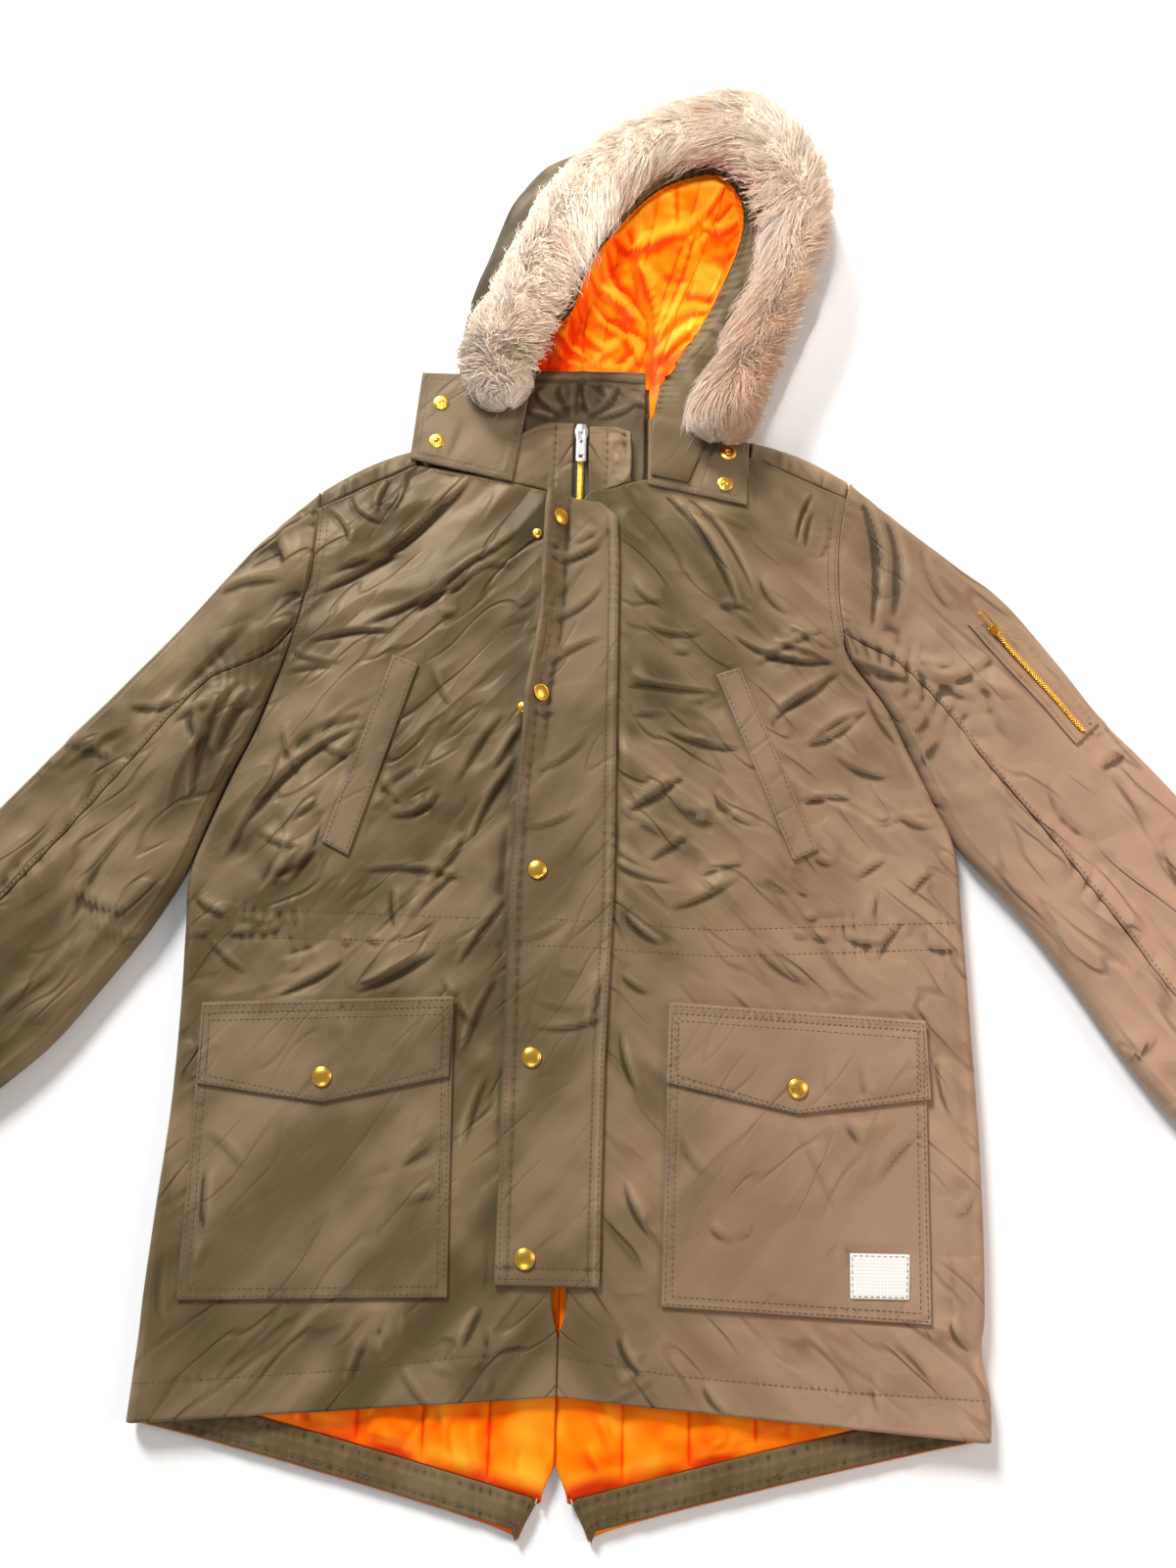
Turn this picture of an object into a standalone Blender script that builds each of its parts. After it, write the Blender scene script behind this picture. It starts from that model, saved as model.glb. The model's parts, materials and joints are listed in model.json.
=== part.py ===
# Fur trimmed parka, laid flat on its back with the hood open and turned to one side.
# Lengths are in millimetres in the pattern frame: X across the coat, to the wearer's left,
# Y up the coat from the centre of the front hem, Z up from the surface that it lies on.
# at() turns them into metres round the coat's origin. "left" and "right" are the wearer's.

import math

import bmesh
import bpy
from mathutils import Vector

MILLI = 0.001
ORIGIN_Y = 500.0        # the origin lies on the centre back, this far above the front hem

# ---- driving sizes ----
LAY = 17.0              # the laid coat's height over both layers
WALL = 5.0              # shell, wadding and lining of the body and sleeves
GAP = 0.3               # between pieces that are sewn or lie together
ROLL = LAY / 2 - GAP / 2
SEAM = 0.35             # half of the gap along a seam seen from above
NECK_Y = 714.0          # front neckline at the centre
HEM_DROP = 24.0         # the front hem rises towards the centre by this much
SIDE_X = 312.0
VENT_TOP = -48.0        # the fishtail's slit starts here
TAIL_DEPTH = 72.0
FACING_WIDE = 25.0
FLAP_THICK = 3.2        # storm flap
PATCH_THICK = 2.4       # pockets and welts
FLAP_TOP = LAY + GAP + FLAP_THICK
COLLAR_TOP = 796.0

SIDES = {"left": 1.0, "right": -1.0}

# Where the neck, shoulder, underarm and waist lie on each side, X without its sign.
BODY = {
    "left": {"neck": (152, 784), "shoulder": (241, 745), "underarm": (233, 574), "bow": 11},
    "right": {"neck": (147, 770), "shoulder": (231, 726), "underarm": (250, 556), "bow": 8},
}
# The edge where the sleeve lies along the body, then the free side down to the hem.
SIDE_LINE = {
    "left": ((263, 531), (281, 490), (299, 448), (313, 412), (316, 336), (317, 267),
             (318, 194), (317, 123), (314, 62), (310, 36), (314, 4), (313, -24)),
    "right": ((265, 506), (282, 463), (297, 420), (309, 376), (307, 330), (304, 267),
              (303, 194), (306, 123), (308, 62), (308, 36), (309, 4), (310, -24)),
}
# Heights on the centre front that the side points above are joined to.
CENTRE_ROWS = (560, 505, 448, 392, 338, 270, 197, 127, 66, 38, 10, 0)
NECK_SHARE = (0.0, 0.28, 0.55, 0.80, 0.985, 1.0)   # rows that start on the neckline
ARM_SHARE = (0.0, 0.20, 0.42, 0.62, 0.80, 1.0)     # and where they end on the armhole
CENTRE_DIP = (0, 0, 0, 0, 0, 78)                   # last of them is already on the centre
YOKE_WIDE = 20.0

# Sleeve rings from the armhole to the cuff: upper edge, lower edge, height over both layers,
# swell of the middle, bow of the ring towards the body and where the two seams cross it.
SLEEVE_COLUMNS = ("ux", "uy", "lx", "ly", "high", "swell", "bow", "seam")
SLEEVE = {
    "left": (
        (241, 745, 233, 574, 17, 0.0, 11, 0.86),
        (271, 713, 249, 552, 18, 1.5, 8, 0.80),
        (300, 688, 264, 530, 19, 3.0, 4, 0.74),
        (328, 664, 281, 490, 20, 4.0, 0, 0.69),
        (356, 641, 299, 448, 21, 4.5, 0, 0.66),
        (378, 617, 316, 412, 21, 5.0, 0, 0.65),
        (408, 576, 338, 386, 20, 5.0, 0, 0.65),
        (439, 530, 361, 359, 20, 4.5, 0, 0.65),
        (468, 496, 382, 330, 20, 4.0, 0, 0.66),
        (497, 461, 403, 298, 20, 4.0, 0, 0.66),
        (530, 419, 435, 247, 19, 4.0, 0, 0.66),
        (566, 374, 468, 204, 19, 4.0, 0, 0.66),
        (603, 329, 506, 177, 18, 3.0, 0, 0.66),
        (637, 288, 541, 163, 17, 2.0, 0, 0.66),
        (664, 254, 572, 154, 16, 1.0, 0, 0.66),
    ),
    "right": (
        (231, 726, 250, 556, 17, 0.0, 8, 0.76),
        (255, 698, 258, 532, 18, 1.5, 6, 0.74),
        (279, 671, 266, 506, 19, 3.0, 3, 0.66),
        (304, 638, 274, 484, 20, 4.0, 0, 0.56),
        (328, 605, 283, 463, 21, 4.5, 0, 0.46),
        (357, 568, 298, 420, 21, 5.0, 0, 0.40),
        (386, 532, 312, 377, 20, 5.0, 0, 0.37),
        (420, 490, 336, 331, 20, 4.5, 0, 0.36),
        (450, 453, 369, 283, 20, 4.0, 0, 0.36),
        (478, 418, 401, 240, 20, 4.0, 0, 0.36),
        (508, 380, 435, 208, 19, 4.0, 0, 0.38),
        (540, 338, 466, 180, 19, 4.0, 0, 0.40),
        (573, 296, 497, 156, 18, 3.0, 0, 0.42),
        (606, 254, 524, 138, 17, 2.0, 0, 0.44),
        (636, 216, 548, 122, 16, 1.0, 0, 0.45),
    ),
}

# The largest folds of the fronts and sleeves: from, to, half width and height (a trough is
# less than nothing). X carries its sign here.
FOLD_COLUMNS = ("x1", "y1", "x2", "y2", "wide", "high")
FOLDS = (
    (-130, 735, -225, 640, 20, 5.0), (-108, 720, -228, 615, 16, -3.0),
    (-95, 650, -232, 595, 18, 3.5), (-250, 590, -300, 540, 18, 4.0),
    (-195, 520, -265, 400, 18, -3.5), (-70, 480, -130, 350, 16, -3.0),
    (-265, 420, -205, 370, 14, 2.5), (100, 725, 150, 610, 18, 3.5),
    (120, 735, 172, 600, 15, -3.0), (130, 590, 228, 572, 16, 3.5),
    (198, 720, 215, 650, 14, -2.5), (235, 510, 200, 440, 14, 2.5),
    (262, 715, 272, 590, 16, -4.5), (285, 700, 300, 600, 18, 4.0),
    (262, 560, 330, 500, 14, -3.5), (345, 560, 440, 440, 20, 3.0),
    (-262, 690, -330, 600, 18, 3.5), (-275, 560, -350, 520, 14, -4.0),
    (-300, 600, -400, 500, 18, 3.5), (-360, 470, -420, 300, 18, -3.5),
    (430, 400, 500, 280, 18, -3.5), (-450, 380, -520, 250, 18, 3.0),
)

# Hood stations from the wearer's right cheek over the crown to the left cheek: the rim that
# carries the fur, the seam of facing and lining inside it, and the widest point outside.
HOOD_COLUMNS = ("rx", "ry", "rz", "bx", "by", "bz", "ox", "oy")
HOOD = (
    (-74, 806, 10, -60, 820, 10, -112, 838),
    (-78, 852, 14, -64, 853, 13, -113, 868),
    (-68, 876, 30, -51, 872, 20, -109, 903),
    (-52, 906, 37, -34, 886, 26, -100, 940),
    (-34, 940, 41, -12, 903, 31, -87, 978),
    (-10, 986, 42, 3, 950, 32, -68, 1034),
    (22, 1027, 41, 32, 999, 31, -28, 1083),
    (66, 1064, 37, 69, 1042, 28, 40, 1108),
    (110, 1084, 33, 110, 1062, 25, 105, 1114),
    (150, 1084, 31, 134, 1058, 23, 160, 1108),
    (176, 1056, 29, 148, 1026, 21, 198, 1076),
    (192, 1004, 27, 146, 990, 20, 214, 1012),
    (190, 960, 26, 138, 950, 19, 211, 960),
    (170, 908, 24, 124, 906, 18, 192, 905),
    (152, 871, 22, 107, 872, 18, 176, 866),
    (136, 832, 20, 86, 836, 19, 161, 828),
    (126, 806, 20, 68, 806, 20, 152, 802),
)
CROWN_FROM, CROWN_TO = 7, 10        # stations of the two seams of the crown piece
CREASE_STATION = 9                  # the lining is folded sharply here
HOOD_WALL = 4.0
LINING_THICK = 2.4
FACING_END = ((124, 786, 65, 799.5), (122, 775, 62, 787))   # its last rows lie over the tab

# Fur from cheek to cheek: outer edge, inner edge, height of the middle and half thickness.
FUR_COLUMNS = ("ox", "oy", "ix", "iy", "mid", "thick")
FUR = (
    (-86, 803, -47, 799, 34, 13),
    (-108, 838, -45, 822, 40, 19),
    (-108, 868, -36, 841, 52, 22),
    (-92, 914, -24, 866, 60, 22),
    (-62, 972, -11, 902, 67, 23),
    (-33, 1024, 5, 944, 67, 23),
    (4, 1068, 29, 984, 66, 24),
    (53, 1106, 62, 1028, 61, 23),
    (109, 1126, 106, 1048, 57, 24),
    (160, 1121, 131, 1047, 55, 24),
    (200, 1089, 150, 1020, 53, 24),
    (221, 1034, 161, 976, 51, 24),
    (218, 978, 158, 941, 49, 23),
    (199, 924, 140, 893, 46, 22),
    (183, 880, 127, 859, 44, 21),
    (169, 834, 104, 818, 42, 20),
    (157, 794, 97, 790, 39, 16),
    (147, 768, 100, 774, 35, 12),
)

# Storm flap rows: height, left edge, right edge, how far the free edge stands up.
STORM_COLUMNS = ("y", "free", "sewn", "lift")
STORM = (
    (722, -27, 20, 14), (700, -28, 34, 18), (660, -29, 36, 17), (611, -30, 36, 13),
    (572, -34, 36, 13), (534, -40, 36, 15), (500, -42, 36, 9), (462, -45, 36, 2),
    (420, -47, 36, 0), (368, -49, 36, 0), (238, -48, 31, 0), (120, -48, 30, 0),
    (74, -48, 30, 0),
)
STORM_SLOPE = 19.0                  # width of the strip that stands up

# Patch pockets: inner edge at top and bottom, outer edge, and the heights.
POCKETS = {
    "left": {"top": ((80, 282), (279, 272)), "bottom": ((75, 62), (272, 54)),
             "flap": ((78, 221), (178, 200), (280, 213)), "snap": (178, 219)},
    "right": {"top": ((-88, 283), (-284, 274)), "bottom": ((-82, 65), (-280, 59)),
              "flap": ((-89, 222), (-185, 201), (-282, 213)), "snap": (-186, 220)},
}
WELTS = {
    "left": ((119, 556), (139, 563), (200, 407), (180, 397)),
    "right": ((-155, 568), (-133, 560), (-180, 394), (-202, 405)),
}
LABEL = ((214, 102), (258, 102), (256, 71), (213, 71))
LABEL_THICK = 0.8

CAP_R, CAP_HIGH = 7.5, 2.6
SOCKET_R, SOCKET_HIGH = 7.2, 2.0
STUD_R, STUD_HIGH = 4.6, 3.0
FLAP_SNAPS_Y = (696, 534, 385, 238, 93)
STUDS = ((-36, 685), (-43, 524))
HOOD_SOCKETS = ((-127, 811), (-129, 772), (131, 766), (128, 735))
HOOD_TABS = {
    "right": ((-146, 843), (-46, 841), (-60, 737), (-152, 762)),
    "left": ((60, 800), (150, 777), (147, 715), (60, 734)),
}
TAB_THICK = 3.0
TAB_Z = LAY + GAP

# Zips: width, length and height of sliders and pulls. A pull's cross bar turns in its
# slider's crown.
ZIP_CHAIN, ZIP_THICK = 6.0, 2.2     # the closed teeth
TAPE_WIDE, TAPE_THICK = 24.0, 0.9
SLIDER_Y = 788.0
MAIN_SLIDER, MAIN_PULL = (12.0, 13.0, 4.6), (9.0, 32.0, 1.4)
POCKET_SLIDER, POCKET_PULL = (7.5, 9.0, 3.4), (6.4, 20.0, 1.4)
BAR, BAR_CLEAR = 1.6, 0.5
CROWN_WIDE, CROWN_POST, CROWN_REACH = 2.0, 1.4, 2.7
PULL_SLOT, SLOT_LONG = 3.4, 5.2

# Pocket on the left sleeve: its corners and its zip, from the slider down.
SLEEVE_POCKET = ((331, 604), (380, 592), (436, 519), (414, 498))
SLEEVE_ZIP = ((353, 597), (422, 509))
SLEEVE_PATCH = 1.6


def at(x, y, z):
    return Vector((x, y - ORIGIN_Y, z)) * MILLI


def mix(a, b, share):
    return a + (b - a) * share


def mix_xy(a, b, share):
    return (mix(a[0], b[0], share), mix(a[1], b[1], share))


def spline(rows, place):
    # Catmull-Rom through the rows of a table, at a fractional row number.
    last = len(rows) - 1
    place = min(max(place, 0.0), float(last))
    i = min(int(place), last - 1)
    t = place - i
    before, a, b, after = (rows[min(max(j, 0), last)] for j in (i - 1, i, i + 1, i + 2))
    if i == 0:
        before = tuple(2 * p - q for p, q in zip(a, b))
    if i == last - 1:
        after = tuple(2 * q - p for p, q in zip(a, b))
    return tuple(
        0.5 * (2 * q + (r - p) * t + (2 * p - 5 * q + 4 * r - s) * t ** 2
               + (3 * q - p - 3 * r + s) * t ** 3)
        for p, q, r, s in zip(before, a, b, after))


def spread(first, last, count):
    return [mix(first, last, i / (count - 1)) for i in range(count)]


# ---- materials ----

def material(name, colour, roughness, metallic=0.0):
    if name in bpy.data.materials:
        return bpy.data.materials[name]
    made = bpy.data.materials.new(name)
    made.use_nodes = True
    shader = made.node_tree.nodes["Principled BSDF"]
    shader.inputs["Base Color"].default_value = (*colour, 1.0)
    shader.inputs["Roughness"].default_value = roughness
    shader.inputs["Metallic"].default_value = metallic
    return made


FINISHES = {
    "shell": ((0.148, 0.112, 0.066), 0.45, 0.0),
    "collar": ((0.055, 0.045, 0.028), 0.5, 0.0),
    "lining": ((1.0, 0.20, 0.0), 0.4, 0.0),
    "fur": ((0.60, 0.47, 0.33), 0.9, 0.0),
    "tape": ((0.10, 0.075, 0.045), 0.8, 0.0),
    "brass": ((0.85, 0.52, 0.10), 0.25, 1.0),
    "nickel": ((0.85, 0.85, 0.84), 0.25, 1.0),
    "label": ((0.85, 0.84, 0.80), 0.7, 0.0),
}


def finish(obj, key):
    obj.data.materials.append(material(key, *FINISHES[key]))


# ---- meshes ----

def new_object(name, bm, key, smooth=True):
    mesh = bpy.data.meshes.new(name)
    bm.to_mesh(mesh)
    bm.free()
    obj = bpy.data.objects.new(name, mesh)
    coat.objects.link(obj)
    finish(obj, key)
    if smooth:
        mesh.shade_smooth()
        mesh.set_sharp_from_angle(angle=math.radians(50))
    return obj


def cloth(name, grids, thick, key, inside):
    # One or more grids of points are a piece's outer face, and Solidify gives it its wall.
    # inside is a point that the faces turn their backs to.
    bm = bmesh.new()
    for grid in grids:
        verts = [[bm.verts.new(p) for p in row] for row in grid]
        for upper, lower in zip(verts, verts[1:]):
            for i in range(len(upper) - 1):
                bm.faces.new((upper[i], upper[i + 1], lower[i + 1], lower[i]))
    bmesh.ops.remove_doubles(bm, verts=bm.verts, dist=0.00005)
    bmesh.ops.recalc_face_normals(bm, faces=bm.faces)
    outward = sum(f.normal.dot(f.calc_center_median() - inside) * f.calc_area()
                  for f in bm.faces)
    if outward < 0:
        bmesh.ops.reverse_faces(bm, faces=bm.faces)
    obj = new_object(name, bm, key)
    wall = obj.modifiers.new("wall", "SOLIDIFY")
    wall.thickness = thick * MILLI
    wall.offset = -1.0
    wall.use_even_offset = True
    return obj


def block(name, top, bottom, key, smooth=True):
    # A closed piece between two grids with the same rows: an uneven top over a plain base.
    bm = bmesh.new()
    layers = [[[bm.verts.new(p) for p in row] for row in grid] for grid in (top, bottom)]
    for verts in layers:
        for upper, lower in zip(verts, verts[1:]):
            for i in range(len(upper) - 1):
                bm.faces.new((upper[i], upper[i + 1], lower[i + 1], lower[i]))
    loops = []
    for verts in layers:
        right = [row[-1] for row in verts[1:]]
        left = [row[0] for row in reversed(verts[1:-1])]
        loops.append(verts[0] + right + list(reversed(verts[-1][:-1])) + left)
    for i in range(len(loops[0])):
        j = (i + 1) % len(loops[0])
        bm.faces.new((loops[0][i], loops[0][j], loops[1][j], loops[1][i]))
    bmesh.ops.recalc_face_normals(bm, faces=bm.faces)
    return new_object(name, bm, key, smooth)


UNDER = at(0, ORIGIN_Y, -1000)      # the point that upward faces turn their backs to
ABOVE = at(0, ORIGIN_Y, 1000)


# ---- outlines ----

def armhole(side, share):
    form = BODY[side]
    x, y = mix_xy(form["shoulder"], form["underarm"], share)
    return (x - form["bow"] * 4 * share * (1 - share), y)


def front_neck(side, share):
    # share 0 is the shoulder and 1 the centre front
    x, y = BODY[side]["neck"]
    out = 1 - share
    return (x * out, mix(NECK_Y, y - YOKE_WIDE, out ** 0.95))


def front_ends(side):
    # Inner point, outer point and how far the side is rolled, row by row.
    form = BODY[side]
    drop = YOKE_WIDE / (form["shoulder"][1] - form["underarm"][1])
    rows = []
    for neck, arm, dip in zip(NECK_SHARE, ARM_SHARE, CENTRE_DIP):
        inner = front_neck(side, neck)
        outer = armhole(side, mix(drop, 1.0, arm))
        rows.append((inner[0], inner[1] - dip, *outer, 0.0 if arm < 1 else 0.35))
    for i, (centre, outer) in enumerate(zip(CENTRE_ROWS, SIDE_LINE[side])):
        rows.append((0.0, centre, *outer, 0.8 if i == 0 else 1.0))
    return rows


def tail(x):
    # lower edge of the fishtail
    out = max(0.0, 1 - abs(x) / SIDE_X)
    return -HEM_DROP - TAIL_DEPTH * out ** 1.1


def ends_between(x, y, spot, near, far):
    # 0 inside near of a spot and 1 beyond far
    gap = math.hypot(x - spot[0], y - spot[1])
    share = min(max((gap - near) / (far - near), 0.0), 1.0)
    return share * share * (3 - 2 * share)


TAB_EDGE = {"left": 708.0, "right": 732.0}


def quiet(x, y):
    # Folds stop short of the centre, the pockets, the welts, the waist and the hood's tabs.
    side = "left" if x > 0 else "right"
    calm = min(max((abs(x) - 62) / 26, 0.0), 1.0)
    if abs(x) < 318:
        calm *= min(max((y - 352) / 30, 0.0), 1.0)
    if abs(x) < 172:
        calm *= min(max((TAB_EDGE[side] - y) / 24, 0.0), 1.0)
    (ax, ay), (bx, by) = WELTS[side][0], WELTS[side][2]
    along = min(max(((x - ax) * (bx - ax) + (y - ay) * (by - ay))
                    / ((bx - ax) ** 2 + (by - ay) ** 2), 0.0), 1.0)
    spot = (mix(ax, bx, along), mix(ay, by, along))
    if abs(x) < 240:
        calm *= ends_between(x, y, spot, 46, 62)
    return calm


def folds(x, y):
    height = 0.0
    for x1, y1, x2, y2, wide, high in FOLDS:
        dx, dy = x2 - x1, y2 - y1
        long = math.hypot(dx, dy)
        along = ((x - x1) * dx + (y - y1) * dy) / long
        across = ((x - x1) * dy - (y - y1) * dx) / long
        past = max(-along, along - long, 0.0)
        height += high * math.exp(-(across / wide) ** 2 - (past / wide) ** 2)
    return height * quiet(x, y)


# The rolled edge in roll radii: distance in from the edge and height lost. It ends upright,
# so the two halves of a rolled side meet face to face.
ROLL_PROFILE = ((1.0, 0.0), (0.4, 0.1), (0.0, 0.45), (0.0, 1.0))


def panel_rows(ends, places, sign, columns, base, top):
    # One panel from the table of its rows' ends. The last columns follow the rolled side.
    grid = []
    for place in places:
        ix, iy, ox, oy, rolled = spline(ends, place)
        long = math.hypot(ox - ix, oy - iy)
        row = []
        stops = [(mix(long, ROLL, share), 0.0) for share in columns]
        stops += [(ROLL * distance, ROLL * lost) for distance, lost in ROLL_PROFILE]
        for step, (distance, lost) in enumerate(stops):
            if rolled < 1 and step == len(stops) - 2:
                distance = 1.2 * (1 - rolled)
            x, y = mix_xy((ox, oy), (ix, iy), distance / long)
            z = base
            lost *= rolled
            if top:
                fade = min(distance / 40, 1.0)
                z += folds(sign * x, y) * fade - lost
            else:
                z += lost
            row.append(at(sign * x, y, z))
        grid.append(row)
    return grid


FRONT_COLUMNS = (0.0, 0.12, 0.24, 0.36, 0.48, 0.60, 0.72, 0.84, 0.94)
BACK_COLUMNS = (0.0, 0.2, 0.4, 0.6, 0.8)
FRONT_PLACES = (0, 1, 2, 3, 4, 5, 6, 6.5, 7, 7.5, 8, 8.5, 9, 9.5, 10, 11, 12, 13, 14, 15, 16, 17)


def centre_gap(y):
    # Half of the gap between the fronts: closed by the zip, parted below the storm flap.
    return mix(0.4, 7.0, max(0.0, min((y - 40) / 34.0, (118 - y) / 44.0)))


def front(side):
    sign = SIDES[side]
    ends = []
    for ix, iy, ox, oy, rolled in front_ends(side):
        edge = (ix + centre_gap(iy), iy)
        gap = SEAM + 0.1
        ends.append((*edge, ox - gap, oy, rolled))
    grid = panel_rows(ends, FRONT_PLACES, sign, FRONT_COLUMNS, LAY, True)
    return cloth(f"front_{side}", [grid], WALL, "shell", UNDER)


def back_neck(x):
    (lx, ly), (rx, ry) = BODY["left"]["neck"], BODY["right"]["neck"]
    share = (x + rx) / (lx + rx)
    return mix(ry, ly, share) + 6 * math.sin(math.pi * min(max(share, 0.0), 1.0))


def back():
    # Both halves share the centre line down to the slit of the fishtail.
    grids = []
    for side, sign in SIDES.items():
        form = BODY[side]
        ends = []
        for neck, arm in zip((0.0, 0.3, 0.6, 0.8, 1.0), ARM_SHARE):
            x = form["neck"][0] * (1 - neck)
            dip = 60.0 if neck == 1.0 else 0.0
            ends.append((x, back_neck(sign * x) - dip, *armhole(side, arm), 0.0))
        ends[-2] = (0.0, back_neck(0.0), *ends[-2][2:])
        ends.append((0.0, 640.0, *armhole(side, 1.0), 0.35))
        for centre, outer in zip(CENTRE_ROWS, SIDE_LINE[side]):
            ends.append((0.0, centre, *outer, 1.0))
        ends = [(ix, iy, ox - SEAM - 0.1, oy, r) for ix, iy, ox, oy, r in ends]
        last = len(ends) - 1
        places = [0, 1, 2, 3, 4, 5, 6, 7, 8, 9, 10, 11.5, 13, 14.5, 16, last]
        grid = panel_rows(ends, places, sign, BACK_COLUMNS, 0.0, False)
        hem = grid.pop()
        for share in (0.0, 0.55, 1.0):
            row = []
            for i, p in enumerate(hem):
                x = p.x / MILLI
                y = mix(mix(0.0, -HEM_DROP, abs(x) / SIDE_X), tail(x), share)
                if i == 0:
                    y = (-20.0, VENT_TOP, tail(0.0) + 1)[int(share * 2 + 0.5)]
                    x = sign * (0.0, 0.0, 21.0)[int(share * 2 + 0.5)]
                    if share > 0.9:
                        x += 6.0
                row.append(at(x, y, p.z / MILLI))
            grid.append(row)
        grids.append(grid)
    return cloth("back", grids, WALL, "shell", ABOVE)


def yoke(side):
    # Strip over the shoulder, from the forward seam round to the back panel.
    sign = SIDES[side]
    form = BODY[side]
    high = LAY - WALL - 2 * GAP
    drop = YOKE_WIDE / (form["shoulder"][1] - form["underarm"][1])
    seam_in, seam_out = front_neck(side, 0.0), armhole(side, drop)
    edge_in, edge_out = form["neck"], form["shoulder"]
    grid = []
    for share in spread(0.0, 1.0, 6):
        seam = mix_xy(seam_in, seam_out, share)
        edge = mix_xy(edge_in, edge_out, share)
        edge = (edge[0], edge[1] + 5 * math.sin(math.pi * share))
        long = math.hypot(edge[0] - seam[0], edge[1] - seam[1])
        back_off = 1.4 * share + SEAM
        row = [at(sign * (mix(seam[0], edge[0], 3 * SEAM / long) - back_off),
                  mix(seam[1], edge[1], 3 * SEAM / long), LAY)]
        for distance, lost in ROLL_PROFILE:
            x, y = mix_xy(edge, seam, distance * high / long)
            row.append(at(sign * (x - back_off), y, LAY - high * lost))
        grid.append(row)
    return cloth(f"yoke_{side}", [grid], WALL, "shell", at(sign * 190, 700, -20))


# ---- sleeves ----

TURNS = (0, 30, 60, 90, 120, 150, 180)


def sleeve_ring(ring, sign, top_seam, over, under):
    # Points round one half of a ring, from the seam on top round an edge to the seam below.
    # over is the edge that it turns round: 0 the upper one, 1 the lower one.
    data = dict(zip(SLEEVE_COLUMNS, ring))
    upper, lower = (data["ux"], data["uy"]), (data["lx"], data["ly"])
    wide = math.hypot(lower[0] - upper[0], lower[1] - upper[1])
    radius = data["high"] / 2

    def spot(distance, z, swell):
        share = distance / wide
        x, y = mix_xy(upper, lower, share)
        x -= data["bow"] * 4 * share * (1 - share)
        if swell:
            lift = data["swell"] * math.sin(math.pi * share) ** 0.7
            edge = min(distance, wide - distance) - radius
            calm = min(max(edge, 0) / 40, 1.0) * min(abs(distance - top_seam * wide) / 26, 1.0)
            z += lift + folds(sign * x, y) * calm
        return at(sign * (x + SEAM), y, z)

    seam = top_seam * wide
    points = []
    edge = radius if over == 0 else wide - radius
    for share in under:
        points.append(spot(mix(seam, edge, share), data["high"], True))
    for turn in TURNS:
        angle = math.radians(turn)
        reach = math.sin(angle) * radius
        distance = radius - reach if over == 0 else wide - radius + reach
        points.append(spot(distance, radius + math.cos(angle) * radius, False))
    for share in reversed(under):
        points.append(spot(mix(seam, edge, share), 0.0, False))
    return points


def sleeve_grid(side, over):
    # The first two rings are alike, so that the wall ends square at the armhole.
    rings = SLEEVE[side]
    grid = []
    for place in spread(0.0, len(rings) - 1.0, 18):
        ring = spline(rings, place)
        seam = ring[-1] + (-0.003 if over == 0 else 0.003)
        grid.append(sleeve_ring(ring, SIDES[side], seam, over, (0.0, 0.25, 0.5, 0.75)))
        if len(grid) == 1:
            grid.append([p + Vector((SIDES[side] * 1.5, 0, 0)) * MILLI for p in grid[0]])
    return grid


def sleeve(side):
    centre = spline(SLEEVE[side], 8)
    inside = at(SIDES[side] * (centre[0] + centre[2]) / 2, (centre[1] + centre[3]) / 2, 9)
    cloth(f"sleeve_{side}_upper", [sleeve_grid(side, 0)], WALL, "shell", inside)
    cloth(f"sleeve_{side}_under", [sleeve_grid(side, 1)], WALL, "shell", inside)


# ---- what lies on the fronts ----

def quad(corners, z, columns, rows):
    # Grid over four corners, clockwise from the upper left one as laid.
    grid = []
    for down in spread(0.0, 1.0, rows):
        row = []
        for across in spread(0.0, 1.0, columns):
            x, y = mix_xy(mix_xy(corners[0], corners[1], across),
                          mix_xy(corners[3], corners[2], across), down)
            row.append(at(x, y, z))
        grid.append(row)
    return grid


def patch(name, corners, z, thick, key, columns=2, rows=2):
    cloth(name, [quad(corners, z + thick, columns, rows)], thick, key, UNDER)


def storm_height(row, x):
    # Top of the storm flap: flat, and turned up along its free edge.
    near = max(0.0, row["free"] + STORM_SLOPE - x) / STORM_SLOPE
    return FLAP_TOP + row["lift"] * near ** 1.15


def storm_row(y):
    heights = [row[0] for row in STORM]
    i = next((k for k in range(len(heights) - 1) if heights[k + 1] <= y), len(heights) - 2)
    share = (heights[i] - y) / (heights[i] - heights[i + 1])
    return dict(zip(STORM_COLUMNS, (mix(a, b, share) for a, b in zip(STORM[i], STORM[i + 1]))))


def storm_flap():
    grid = []
    for level in (722, 711, 700, 680, 660, 635, 611, 591, 572, 553, 534, 517, 500, 481, 462,
                  441, 420, 368, 303, 238, 179, 120, 74):
        row = storm_row(level)
        free = row["free"]
        xs = [free, free + 6.3, free + 12.6, free + STORM_SLOPE]
        xs += [mix(xs[-1], row["sewn"], share) for share in (0.33, 0.67, 1.0)]
        slant = 10.0 if level > 715 else (5.0 if level > 705 else 0.0)
        grid.append([at(x, level - slant * (x - free) / 60, storm_height(row, x)) for x in xs])
    return cloth("storm_flap", [grid], FLAP_THICK, "shell", UNDER)


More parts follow.
